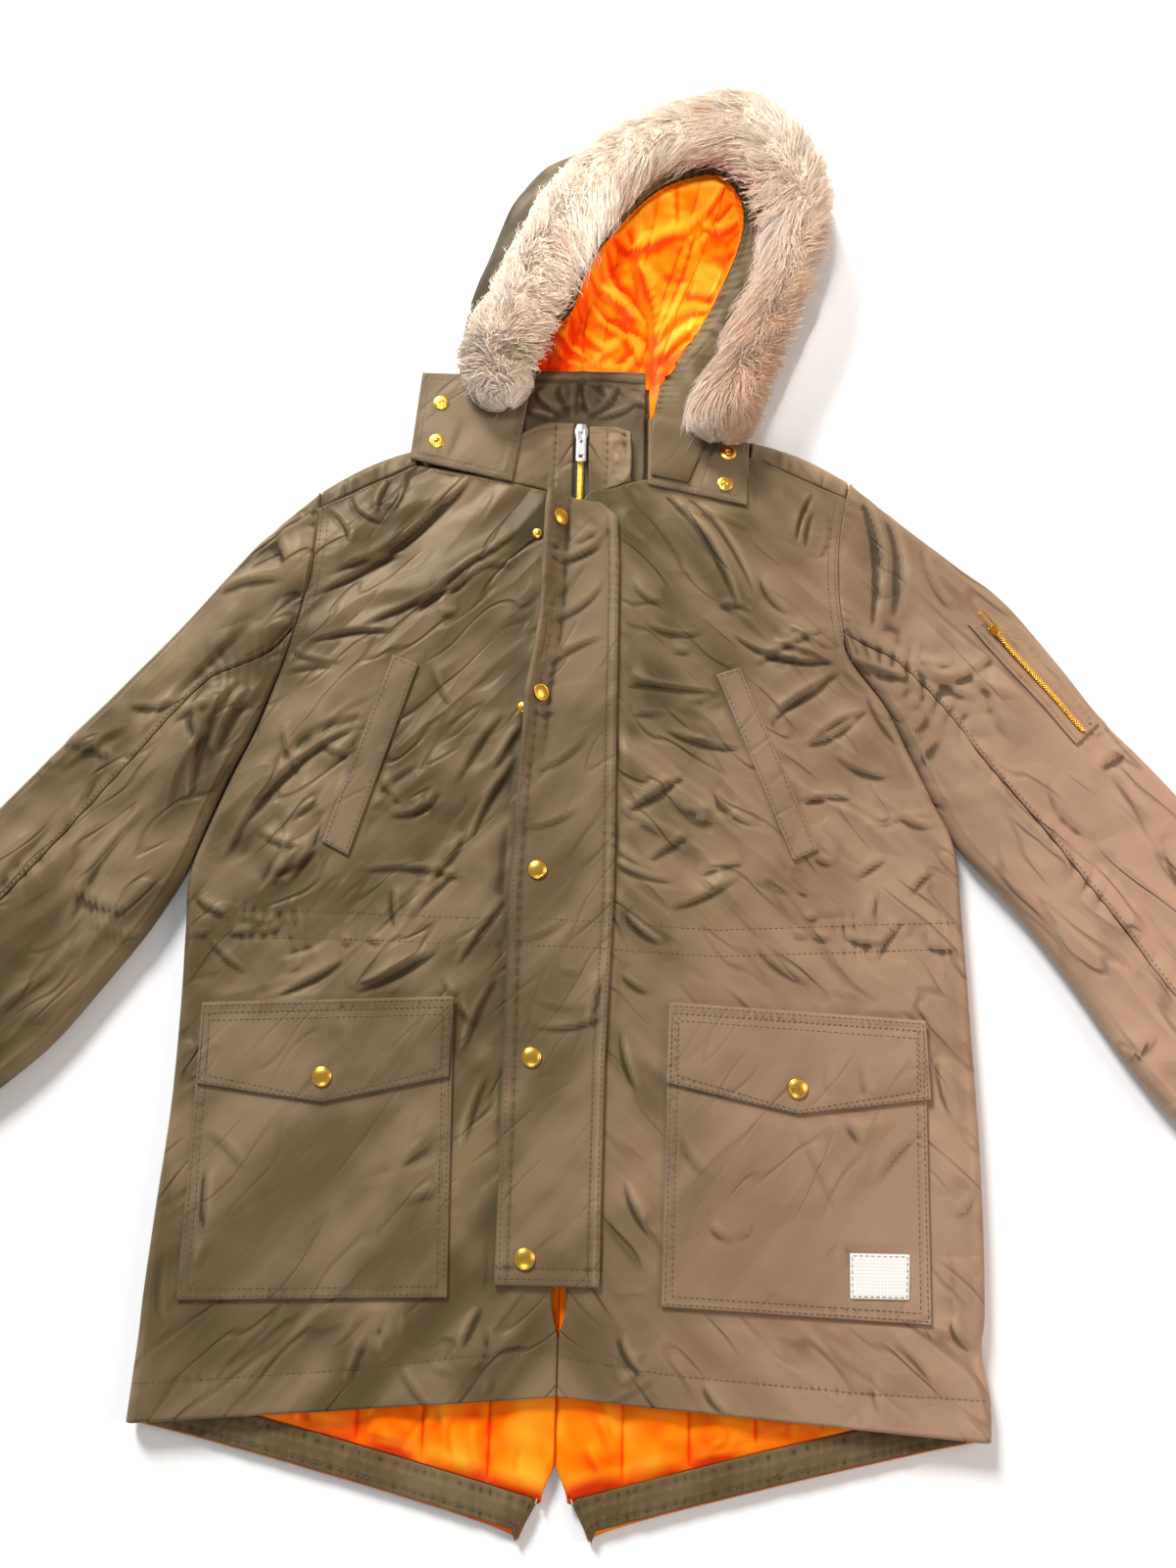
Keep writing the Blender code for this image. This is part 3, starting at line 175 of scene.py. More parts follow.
creases = [
    # right front, as worn
    (-178, 506, -284, 388, 7, 3.2, 18), (-170, 516, -250, 470, 9, 2, 12),
    (-40, 512, -68, 472, 3.5, 2.4, 2), (-50, 482, -88, 404, 4, 2.8, 3),
    (-60, 520, -100, 455, 6, 1.6, 4), (-92, 386, -132, 341, 4, 2.2, 3), (-170, 386, -82, 380, 6, 2, -4),
    (-52, 364, -90, 308, 4, 2.2, 3), (-214, 404, -243, 369, 3.2, 1.8, 2),
    (-302, 364, -268, 342, 3.2, 1.6, 2), (-208, 490, -178, 479, 3, 1.5, 2),
    (-236, 420, -206, 442, 3.2, 1.6, -2), (-256, 415, -214, 403, 3.4, 1.8, 3),
    (-246, 577, -198, 563, 4, 2.2, 5), (-254, 550, -204, 558, 4, 2.2, -4),
    (-228, 580, -154, 594, 4.5, 2.6, -6), (-112, 734, -238, 620, 6, 3.4, -14),
    (-98, 742, -222, 640, 5, 2.4, -12), (-100, 636, -184, 596, 4.5, 2.6, 3),
    (-56, 686, -148, 603, 5, 3, 4), (-70, 662, -120, 618, 4, 1.8, 3), (-170, 287, -104, 323, 5, 2.4, 3),
    (-150, 664, -205, 650, 3.6, 1.8, 2), (-200, 718, -170, 690, 4, 2.6, 5),
    (-222, 706, -196, 668, 4.4, 2.6, -6), (-240, 505, -222, 462, 3.4, 1.4, 2),
    (-120, 560, -96, 520, 3, 1.2, 2), (-110, 452, -134, 430, 3.2, 1.4, 1),
    (-288, 330, -250, 300, 3.4, 1.6, 2), (-96, 300, -70, 262, 3.6, 1.8, 2),
    (-60, 300, -84, 236, 3.6, 1.8, 3), (-62, 226, -80, 170, 3.2, 1.5, 2),
    (-298, 190, -288, 120, 5, 1.5, 3), (-60, 60, -74, 30, 3.4, 1.8, 2), (-292, 90, -286, 40, 4, 1.6, 3),
    (-140, 40, -152, 6, 3.6, 1.4, 2), (-370, 518, -317, 526, 3.6, 2.6, 2),
    (-307, 533, -306, 489, 4, 3.2, 5), (-273, 534, -296, 478, 4.4, 3.6, 5),
    (-282, 515, -261, 544, 3.2, 2.2, 2), (-236, 281, -180, 313, 4.4, 2.6, 3),
    (-172, 291, -113, 321, 4.4, 2.8, 3), (-306, 331, -283, 333, 2.8, 1.8, 1),
    (-270, 331, -253, 335, 2.8, 1.8, 1), (-249, 332, -230, 338, 2.8, 1.8, 1),
    (-181, 329, -170, 327, 2.6, 1.3, 1), (-160, 331, -145, 327, 2.6, 1.3, 1),
    (-283, 260, -235, 271, 3.6, 2.2, 2), (-171, 736, -177, 700, 3.6, 2.6, 3),
    (-157, 742, -164, 702, 3, 1.8, -2), (-171, 485, -138, 440, 3.2, 1.6, 3),
    (-150, 431, -114, 443, 3.2, 1.9, 2), (-239, 378, -204, 403, 3.2, 2, 2),
    (-299, 360, -272, 347, 3.4, 2, 2),
    # left front, as worn
    (76, 728, 140, 618, 5.5, 3.2, -10), (92, 730, 156, 628, 4, 2.2, -9),
    (205, 730, 186, 682, 5, 2.8, 4), (134, 594, 218, 572, 5.5, 3, 8), (214, 604, 150, 566, 4, 2, 3),
    (222, 563, 162, 514, 4.5, 2.6, 5), (246, 530, 192, 498, 4.5, 2.6, 5),
    (78, 508, 140, 494, 5, 2.2, 3), (42, 548, 124, 541, 4.6, 2, -4), (90, 468, 44, 437, 4.5, 2.4, 3),
    (118, 456, 150, 427, 4.4, 2.2, 3), (218, 490, 260, 471, 3.6, 1.8, 3),
    (230, 454, 182, 447, 4.4, 2.2, 4), (270, 437, 300, 431, 3, 1.6, 2), (60, 604, 110, 596, 4, 1.5, 3),
    (48, 640, 74, 622, 3.4, 1.4, 2), (96, 420, 60, 396, 3.8, 1.8, 2), (140, 398, 104, 386, 3.6, 1.6, 2),
    (254, 404, 226, 384, 3.4, 1.6, 2), (296, 396, 270, 372, 3.4, 1.6, 3), (48, 352, 76, 330, 3.8, 2, 2),
    (44, 306, 66, 292, 3.4, 1.6, 1), (46, 262, 60, 214, 3.4, 1.6, 2), (50, 150, 72, 110, 3.4, 1.8, 2),
    (292, 250, 300, 200, 4, 1.6, 3), (288, 60, 306, 38, 5, 2.4, 3), (48, 44, 66, 16, 4, 1.8, 3),
    (108, 14, 128, -6, 4, 1.5, 2), (184, 603, 219, 584, 3.2, 2.4, 2), (222, 581, 284, 558, 4.2, 3.6, 3),
    (239, 590, 272, 567, 3, 2, -2), (284, 556, 310, 541, 3.4, 2.4, 2),
    (167, 588, 217, 569, 3.6, 2.2, -3), (227, 567, 252, 545, 3.2, 2.4, 2),
    (248, 547, 280, 493, 4.2, 2.6, 5), (289, 573, 314, 568, 3, 1.8, 2),
    (193, 341, 209, 337, 2.8, 1.6, 1), (219, 340, 250, 334, 2.8, 2, 2),
    (177, 343, 191, 338, 2.6, 1.3, 1), (284, 333, 311, 330, 2.8, 1.8, 1),
    (76, 358, 138, 387, 3.6, 1.7, 3), (45, 440, 82, 463, 3.4, 1.9, 2),
    (167, 528, 212, 554, 3.4, 1.9, 2), (190, 497, 240, 527, 3.6, 2.2, 3),
    (204, 712, 194, 678, 3.4, 2.4, 3), (217, 707, 207, 669, 3.2, 2, -3),
    (159, 649, 184, 614, 3.4, 1.8, 3), (266, 352, 240, 318, 3.6, 1.6, 3),
    (150, 330, 190, 300, 6, 1.4, 3),
    # left sleeve
    (252, 736, 256, 600, 6.5, 3.8, -12), (268, 722, 276, 612, 5, 2.4, -10),
    (300, 676, 322, 620, 5, 1.8, 4), (296, 566, 318, 556, 4, 2.2, 3), (280, 572, 336, 540, 4, 2, 3),
    (330, 560, 372, 540, 5, 1.4, 3), (330, 500, 350, 470, 4, 1.4, 3), (348, 566, 366, 500, 7, 1.6, 6),
    (390, 470, 420, 420, 6, 1.8, 5), (440, 480, 470, 420, 7, 1.8, -6), (420, 360, 446, 318, 6, 1.8, 4),
    (480, 420, 520, 350, 7, 1.8, 6), (510, 300, 560, 262, 6, 1.6, 4), (560, 330, 600, 280, 6, 1.6, 4),
    (500, 230, 540, 206, 5, 1.6, 3),
    # right sleeve
    (-262, 676, -300, 640, 5, 2.2, 6), (-252, 640, -310, 622, 4, 2, 4),
    (-300, 700, -352, 640, 6, 1.8, 5), (-330, 622, -346, 596, 4, 1.8, 3),
    (-280, 590, -362, 486, 5, 2.4, 6), (-300, 520, -352, 500, 4.6, 2.6, 4),
    (-284, 540, -312, 430, 6, 2.6, 12), (-300, 500, -332, 420, 5, 2, 8),
    (-368, 500, -420, 462, 6, 2, 4), (-350, 430, -402, 330, 6.5, 2.4, 8),
    (-384, 470, -410, 400, 6, 1.8, 5), (-420, 420, -470, 330, 7, 2, 6),
    (-400, 300, -450, 256, 6, 1.8, 5), (-470, 400, -512, 330, 7, 1.8, 5),
    (-470, 280, -520, 220, 6.5, 1.8, 5), (-540, 300, -580, 240, 6, 1.6, 4),
]


def creaseHeight(x, y, rows, least=2.9):
    # a crease has a crisp crest, a steep lower side and a long gentle upper one
    x, y = x + 1.5 * valueNoise(x, y, 42, 5), y + 1.5 * valueNoise(x, y, 42, 6)
    z = np.zeros(np.shape(x))
    for x1, y1, x2, y2, wide, high, bow in rows:
        dx, dy = x2 - x1, y2 - y1
        long = math.hypot(dx, dy)
        t = ((x - x1) * dx + (y - y1) * dy) / long ** 2
        across = ((x - x1) * dy - (y - y1) * dx) / long
        near = (t > 0) & (t < 1) & (np.abs(across) < 11 * wide + abs(bow))
        t = t[near]
        taper = (4 * t * (1 - t)) ** 0.7
        q = (across[near] - bow * 4 * t * (1 - t)) / (wide * (0.55 + 0.45 * taper)) * (1 if dx >= 0 else -1)
        away = np.abs(q)
        steep = max(0.5, least / wide)    # no steeper than the grid can show
        rise = np.where(q > 0, np.exp(-(away / steep) ** 1.8),
                        0.5 * np.exp(-(away / 1.4) ** 1.2) + 0.5 * np.exp(-(away / 4.8) ** 1.6))
        z[near] += high * taper * (0.85 * rise - 0.36 * np.exp(-((q - 1.8 * steep) / (1.1 * steep)) ** 2))
    return z


def foldHeight(x, y):
    z = np.zeros(np.shape(x))
    for x1, y1, x2, y2, wide, high in mainFolds:
        dx, dy = x2 - x1, y2 - y1
        long = math.hypot(dx, dy)
        along = ((x - x1) * dx + (y - y1) * dy) / long
        across = ((x - x1) * dy - (y - y1) * dx) / long
        past = np.maximum(np.maximum(-along, along - long), 0.0)
        z += high * np.exp(-(across / wide) ** 2 - (past / wide) ** 2)
    return z


def crinkles(seed, area, count, slant, spread=0.5, size=1.0):
    # short creases thrown over an area (low x, high x, low y, high y), some of them in clusters
    pick = np.random.default_rng(seed)
    rows = []
    angle, x, y = slant, 0.0, 0.0
    for k in range(count):
        if k % 3:
            x, y = x + pick.normal(0, 22) * size, y + pick.normal(0, 22) * size
            x, y = min(max(x, area[0]), area[1]), min(max(y, area[2]), area[3])
            angle += pick.normal(0, 0.22)
        else:
            x, y = pick.uniform(area[0], area[1]), pick.uniform(area[2], area[3])
            angle = slant + pick.normal(0, spread)
        long = (16 + 62 * pick.random() ** 1.8) * size
        dx, dy = math.cos(angle) * long / 2, math.sin(angle) * long / 2
        wide = pick.uniform(3.2, 5.6) * size
        high = wide * pick.uniform(0.14, 0.4) * (1 if pick.random() < 0.8 else -0.7)
        rows.append((x - dx, y - dy, x + dx, y + dy, wide, high, pick.uniform(-0.09, 0.09) * long))
    return rows


def crush(x, y, slant, seed):
    # the sharp, uneven folds of crushed nylon, which run one way and come and go in patches
    c, s = math.cos(slant), math.sin(slant)
    along, across = x * c + y * s, y * c - x * s + 7 * valueNoise(x, y, 60, seed + 3)
    z = np.zeros(np.shape(x))
    for size, stretch, high in ((34, 2.4, 3.0), (17, 2.6, 1.0)):
        z += high * (0.4 - np.abs(valueNoise(along / stretch, across, size, seed + size)) ** 0.8)
    return z * smooth(valueNoise(x, y, 75, seed + 5), -0.55, 0.45)


def pucker(x, y, line, pitch, deep, reach, groove=0.0, seed=1):
    # gathers that run square to a seam, and the groove of the seam itself
    away, run, _ = nearLine(x, y, line)
    wave = np.sin(2 * math.pi * run / pitch + 3.2 * valueNoise(run, away, pitch * 2.2, seed))
    strength = 0.9 * smooth(valueNoise(run, run * 0, pitch * 3, seed + 7), -0.4, 0.8)
    return deep * strength * wave * np.exp(-away / reach) - groove * hump(away, 2.0)


def linked(name, data):
    made = bpy.data.objects.new(name, data)
    bpy.context.scene.collection.objects.link(made)
    return made


def addObject(name, mesh, finish, node, body="coat"):
    # a piece of one material, which rides with a body and stands for a CAD node
    piece = linked(name, mesh)
    mesh.materials.clear()
    mesh.materials.append(finish)
    mesh.shade_smooth()
    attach(piece, body)
    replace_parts(piece, node)
    return piece


def faceOut(mesh, merge=0.0):
    # turns the faces outward, after making one of points closer than merge
    work = bmesh.new()
    work.from_mesh(mesh)
    if merge:
        bmesh.ops.remove_doubles(work, verts=work.verts, dist=merge)
    bmesh.ops.recalc_face_normals(work, faces=work.faces)
    work.to_mesh(mesh)
    work.free()


def plainMesh(piece):
    # the result of the modifiers becomes the piece's own mesh
    graph = bpy.context.evaluated_depsgraph_get()
    made = bpy.data.meshes.new_from_object(piece.evaluated_get(graph))
    piece.modifiers.clear()
    piece.data = made
    return piece


def normalsOf(points):
    down = np.gradient(points, axis=0)
    across = np.gradient(points, axis=1)
    normal = np.cross(down, across)
    return normal / np.maximum(np.linalg.norm(normal, axis=-1, keepdims=True), 1e-12)


def borderOf(n, m):
    # once round the border of a grid
    return ([(0, j) for j in range(m)] + [(i, m - 1) for i in range(1, n)]
            + [(n - 1, j) for j in range(m - 2, -1, -1)] + [(i, 0) for i in range(n - 2, 0, -1)])


def cutOf(points):
    # width, length and area of a grid of points, in metres
    rows = np.linalg.norm(np.diff(points, axis=1), axis=2).sum(axis=1).max()
    columns = np.linalg.norm(np.diff(points, axis=0), axis=2).sum(axis=0).max()
    a, b, c, d = points[:-1, :-1], points[:-1, 1:], points[1:, 1:], points[1:, :-1]
    area = (np.linalg.norm(np.cross(b - a, d - a), axis=2)
            + np.linalg.norm(np.cross(b - c, d - c), axis=2)).sum() / 2
    return float(rows), float(columns), float(area)


def joinNeighbours(grid, passes, join):
    # joins each number of a grid with those beside it, along both axes in turn
    for _ in range(passes):
        for axis in (0, 1):
            rows = np.swapaxes(grid, 0, axis)
            rows = np.concatenate([rows[:1], rows, rows[-1:]])
            grid = np.swapaxes(join(rows[:-2], rows[1:-1], rows[2:]), 0, axis)
    return grid


def hollows(points):
    # how deep each point of a grid lies among its neighbours: 1 in a trough, -1 on a crest
    high = points[..., 2] / mm
    broad = joinNeighbours(high, 4, lambda a, b, c: (a + 2 * b + c) / 4)
    return np.clip((broad - high) / 0.75, -1.0, 1.0)


painted_shade_spots = (   # painted shade: spots where the cloth lies in shade, whose colour is darkened there (and painted lighter where the depth is less than nothing): x, y, half width, half length, depth
    (-50, 380, 15, 330, 0.5), (-175, 690, 60, 45, 0.3), (-302, 200, 16, 250, 0.3),
    (-265, 470, 40, 90, 0.2), (-295, 500, 22, 40, 0.45), (-300, 610, 40, 30, 0.25),
    (275, 490, 32, 75, 0.45), (205, 695, 22, 35, 0.35), (48, 440, 14, 160, 0.3),
    (312, 200, 20, 260, 0.4), (236, 582, 26, 20, 0.4), (70, 560, 30, 60, 0.2), (262, 660, 12, 60, 0.3),
    (110, 420, 60, 60, 0.12), (-120, 420, 60, 60, 0.12), (-76, 975, 45, 110, 1.3),
    (-6, 850, 42, 60, 0.6), (94, 925, 18, 70, -0.5), (146, 945, 17, 70, 0.7), (131, 885, 16, 50, 0.9),
    (114, 820, 12, 35, 0.7),
)


# how much painted shade the spots put at a place
def paintedShadeAt(x, y):
    return sum(deep * np.exp(-((x - a) / wide) ** 2 - ((y - b) / long) ** 2)
               for a, b, wide, long, deep in painted_shade_spots)


def shellMesh(name, points, thick, inside, edge, stride=4):
    # A grid of points becomes cloth with a wall and rounded edges. The faces turn away from
    # inside, and the hidden face is a plain one with every fourth row and column.
    n, m = points.shape[:2]
    normal = normalsOf(points)
    if (normal * (points - world(*inside))).sum() < 0:
        normal = -normal
    border = borderOf(n, m)
    rows, cols = np.array(border).T
    inward = points[np.clip(rows, 1, n - 2), np.clip(cols, 1, m - 2)] - points[rows, cols]
    inward /= np.maximum(np.linalg.norm(inward, axis=1, keepdims=True), 1e-9)
    rim, rimNormal = points[rows, cols], normal[rows, cols]
    top = points.copy()
    top[rows, cols] = rim + inward * edge * mm - rimNormal * 0.12 * edge * mm
    verts = [tuple(v) for v in top.reshape(-1, 3)]
    loops = [[int(i) * m + int(j) for i, j in border]]
    for ring in (rim - rimNormal * thick * 0.3 * mm, rim - rimNormal * thick * 0.75 * mm):
        loops.append(list(range(len(verts), len(verts) + len(border))))
        verts += [tuple(v) for v in ring]
    faces = [(i * m + j, (i + 1) * m + j, (i + 1) * m + j + 1, i * m + j + 1)
             for i in range(n - 1) for j in range(m - 1)]
    count = len(border)
    for outer, inner in zip(loops, loops[1:]):
        faces += [(outer[i], outer[(i + 1) % count], inner[(i + 1) % count], inner[i])
                  for i in range(count)]
    seen = len(faces)
    low = points - normal * thick * mm
    # the plain face lies under the lowest of its neighbours, where it can't come through a crease
    deepest = joinNeighbours(low[..., 2], stride, lambda a, b, c: np.minimum(b, np.minimum(a, c)))
    upward = smooth(normal[..., 2], 0.6, 0.9)
    low[..., 2] = np.maximum(low[..., 2] - np.minimum(low[..., 2] - deepest, 0.003) * upward, 0.0)
    keepRows = list(range(0, n - 1, stride)) + [n - 1]
    keepCols = list(range(0, m - 1, stride)) + [m - 1]
    index = {}
    for i in keepRows:
        for j in keepCols:
            index[i, j] = len(verts)
            offset = np.zeros(3)
            if i in (0, n - 1) or j in (0, m - 1):
                k = points[min(max(i, 1), n - 2), min(max(j, 1), m - 2)] - points[i, j]
                offset = k / max(np.linalg.norm(k), 1e-9) * edge * mm
            verts.append(tuple(low[i, j] + offset))
    for a, b in zip(keepRows, keepRows[1:]):
        for c, d in zip(keepCols, keepCols[1:]):
            faces.append((index[a, c], index[a, d], index[b, d], index[b, c]))
    stops = [k for k, spot in enumerate(border) if spot in index]
    for a, b in zip(stops, stops[1:] + [count]):
        outer = [loops[-1][k % count] for k in range(a, b + 1)]
        faces.append((index[border[a]], *outer, index[border[b % count]]))
    mesh = bpy.data.meshes.new(name)
    mesh.from_pydata([(a, b, max(c, 0.0)) for a, b, c in verts], [], faces)
    faceOut(mesh)
    hidden = np.zeros(len(mesh.polygons), int)
    hidden[seen:seen + (len(keepRows) - 1) * (len(keepCols) - 1)] = 1
    # painted shade and highlight: each point's depth among its neighbours, with the painted shade spots,
    # darkens the colour in troughs and lightens it on crests
    hollow = np.zeros(len(mesh.vertices))
    x, y = points[..., 0] / mm, points[..., 1] / mm + originY
    hollow[:n * m] = np.clip(hollows(points) + paintedShadeAt(x, y), -1, 1).reshape(-1)
    mesh.attributes.new("hollow", "FLOAT", "POINT").data.foreach_set("value", hollow)
    return mesh, hidden


def sew(name, points, thick, finish, node, inside=below, edge=1.2, lined=True):
    # one piece of cloth, which stands for a CAD node and is lined on its hidden face
    mesh, hidden = shellMesh(name, points, thick, inside, edge)
    piece = addObject(name, mesh, finish, node)
    if lined:
        mesh.materials.append(liningSatin)
        mesh.polygons.foreach_set("material_index", hidden)
    width, length, area = cutOf(points)
    if area < 0.4 * width * length:      # a fan's curved edge is longer than its cut
        length = area / (0.45 * width)
    width, length = round(width, 4), round(length, 4)
    area = min(area, 0.999 * width * length)
    return piece


def addNode(tree, kind, inputs=None, **settings):
    # an input takes a value, a socket, or a node, whose first output then feeds it
    made = tree.nodes.new(kind if kind.startswith("NodeGroup") else tree.bl_idname[:-4] + kind)
    for key, value in settings.items():
        setattr(made, key, value)
    for key, value in (inputs or {}).items():
        if isinstance(value, bpy.types.Node):
            value = value.outputs[0]
        if isinstance(value, bpy.types.NodeSocket):
            tree.links.new(value, made.inputs[key])
        else:
            made.inputs[key].default_value = value
    return made


def newFinish(name):
    # a material without nodes, and what adds them to it
    finish = bpy.data.materials.new(name)
    finish.use_nodes = True
    finish.node_tree.nodes.clear()
    return finish, partial(addNode, finish.node_tree)


def millimetres(size):
    # texture scale for features of this size
    return 1000.0 / size


nylonLook = {
    "rib": 1.1,                          # the weave's ribs are finer; this is as coarse as shows
    "crush": 25.0, "crushDepth": 2.0,    # sharp creases too fine for the mesh
    "facet": 24.0, "facetDepth": 4.6,
    "streak": 34.0, "cloud": 95.0,       # where the satin face catches more light
    "wrinkle": 14.0, "wrinkleDepth": 0.9,
    "patch": 55.0,                       # how widely the creases come and go
    # painted highlight colour for crests and painted shade colour for troughs
    "crest_highlight": "#b39a78", "trough": "#2b2214",
}


def nylon(name, dark, light, rough, painted_warm_light=None, crushed=1.0, mirrored=False):
    # Coated nylon taffeta, woven and calendered: a smooth satin face with a fine rib, which
    # holds every sharp crease that it is pressed into. Its colour carries painted light: painted
    # shade down in the creases, painted highlight on their crests, painted sheen, and painted warm light.
    finish, add = newFinish(name)
    look = nylonLook
    place = add("TexCoord").outputs["Object"]
    split = add("SeparateXYZ", {"Vector": place}).outputs
    side = split["X"]
    if mirrored:    # creases lean outward on both halves of the coat
        side = add("Math", {0: side}, operation="ABSOLUTE")
    folded = add("CombineXYZ", {"X": side, "Y": split["Y"], "Z": split["Z"]})
    lean = math.radians(-46 if mirrored else 52)
    turned = add("Mapping", {"Vector": folded, "Scale": (4.2, 1.0, 1.0), "Rotation": (0, 0, lean)},
                 vector_type="TEXTURE")
    # painted sheen: the colour runs from dark to light in broad clouds and diagonal streaks, where the satin
    # face catches more light
    broad = add("TexNoise", {"Vector": place, "Scale": millimetres(look["cloud"]), "Detail": 2.0,
                             "Roughness": 0.55})
    streak = add("TexNoise", {"Vector": turned, "Detail": 2.0, "Scale": millimetres(look["streak"])})
    tone = add("Math", {0: broad, 1: streak})
    shade = add("MapRange", {"Value": tone, "From Min": 0.74, "From Max": 1.26},
                interpolation_type="SMOOTHSTEP")
    colour = add("Mix", {"Factor": shade, 6: linear(dark), 7: linear(light)}, data_type="RGBA").outputs[2]
    if painted_warm_light:    # painted warm light, stronger toward the wearer's left
        slant = add("Math", {0: split["Y"], 1: -0.22, 2: split["X"]}, operation="MULTIPLY_ADD")
        across = add("MapRange", {"Value": slant, "From Min": 0.07, "From Max": 0.48, "To Max": 0.85})
        colour = add("Mix", {"Factor": across, 6: colour, 7: linear(painted_warm_light)}, data_type="RGBA").outputs[2]
    lines = add("TexNoise", {"Vector": turned, "Detail": 1.0, "Scale": millimetres(look["crush"]),
                             "Roughness": 0.4, "Distortion": 0.12})
    level = add("Math", {0: lines, 1: 0.5}, operation="SUBTRACT")
    level = add("Math", {0: level}, operation="ABSOLUTE")
    groove = add("MapRange", {"Value": level, "From Max": 0.045, "To Min": 1.0, "To Max": 0.0},
                 interpolation_type="SMOOTHSTEP")
    patch = add("TexNoise", {"Vector": place, "Scale": millimetres(look["patch"]), "Detail": 1.0})
    where = add("MapRange", {"Value": patch, "From Min": 0.4, "From Max": 0.62})
    deep = add("Math", {0: groove, 1: where}, operation="MULTIPLY")
    fine = add("TexNoise", {"Vector": turned, "Detail": 2.0, "Scale": millimetres(look["wrinkle"])})
    facets = add("TexVoronoi", {"Vector": turned, "Randomness": 1.0, "Scale": millimetres(look["facet"])})
    facets = add("Math", {0: facets, 1: where}, operation="MULTIPLY")
    ribs = add("TexWave", {"Vector": place, "Scale": millimetres(look["rib"]) / 6.28}, bands_direction="Y")
    bump = add("Bump", {"Height": deep, "Strength": 0.7 * crushed, "Distance": look["crushDepth"] * mm},
               invert=True)
    for height, strength, depth in ((facets, crushed, look["facetDepth"]),
                                    (fine, 0.4, look["wrinkleDepth"]), (ribs.outputs["Fac"], 0.12, 0.06)):
        bump = add("Bump", {"Height": height, "Strength": strength, "Distance": depth * mm, "Normal": bump})
    # painted shade and highlight: the colour darkens toward the trough colour down in the creases and in the
    # fine crush grooves, and lightens toward the crest colour on crests
    hollow = add("Attribute", attribute_name="hollow").outputs["Fac"]
    trough = add("MapRange", {"Value": hollow, "From Min": 0.12, "From Max": 0.9, "To Max": 0.46})
    deep_crease_shade = add("MapRange", {"Value": hollow, "From Min": 0.42, "From Max": 0.7, "To Max": 0.26},
               interpolation_type="SMOOTHSTEP")
    trough = add("Math", {0: trough, 1: deep_crease_shade})
    crest_highlight = add("MapRange", {"Value": hollow, "From Min": -0.15, "From Max": -0.9, "To Max": 0.22})
    groove_shade = add("Math", {0: deep, 1: 0.3 * crushed}, operation="MULTIPLY")
    down = add("Math", {0: trough, 1: groove_shade}, operation="MAXIMUM")
    for share, tone in ((crest_highlight, look["crest_highlight"]), (down, look["trough"])):
        colour = add("Mix", {"Factor": share, 6: colour, 7: linear(tone)}, data_type="RGBA").outputs[2]
    add("OutputMaterial", {"Surface": add("BsdfPrincipled", {
        "Base Color": colour, "Roughness": rough, "Normal": bump, "Specular IOR Level": 0.2,
        "Specular Tint": linear("#e8cfae"), "Sheen Weight": 0.06, "Sheen Roughness": 0.4})})
    return finish


def satin(name, deep, mid, pale_highlight):
    # Polyester lining satin: thin, slippery and bright, crushed into soft folds that glow red
    # inside, where the cloth lights itself; this is painted light: deep red painted shade in the
    # folds and pale painted highlight, spread by a cloud noise.
    finish, add = newFinish(name)
    place = add("TexCoord").outputs["Object"]
    cloud = add("TexNoise", {"Vector": place, "Scale": millimetres(46), "Detail": 2.0})
    hollow = add("Attribute", attribute_name="hollow").outputs["Fac"]
    fold_shade = add("Math", {0: hollow, 1: -0.24}, operation="MULTIPLY")
    # painted light: the colour runs to deep red painted shade down in the folds and to pale painted
    # highlight
    shade = add("ValToRGB", {"Fac": add("Math", {0: cloud, 1: fold_shade})})
    stops = shade.color_ramp.elements
    stops[0].position, stops[0].color = 0.24, linear(deep)
    stops[1].position, stops[1].color = 0.84, linear(pale_highlight)
    stops.new(0.5).color = linear(mid)
    crush = add("TexNoise", {"Vector": place, "Scale": millimetres(27), "Detail": 1.0, "Distortion": 0.5})
    bump = add("Bump", {"Height": crush, "Strength": 0.5, "Distance": 1.3 * mm})
    add("OutputMaterial", {"Surface": add("BsdfPrincipled", {
        "Base Color": shade, "Roughness": 0.42, "Normal": bump, "Specular IOR Level": 0.3,
        "Specular Tint": linear("#ffd27a"), "Sheen Weight": 0.1, "Sheen Tint": linear("#ffc060"),
        "Sheen Roughness": 0.3})})
    return finish


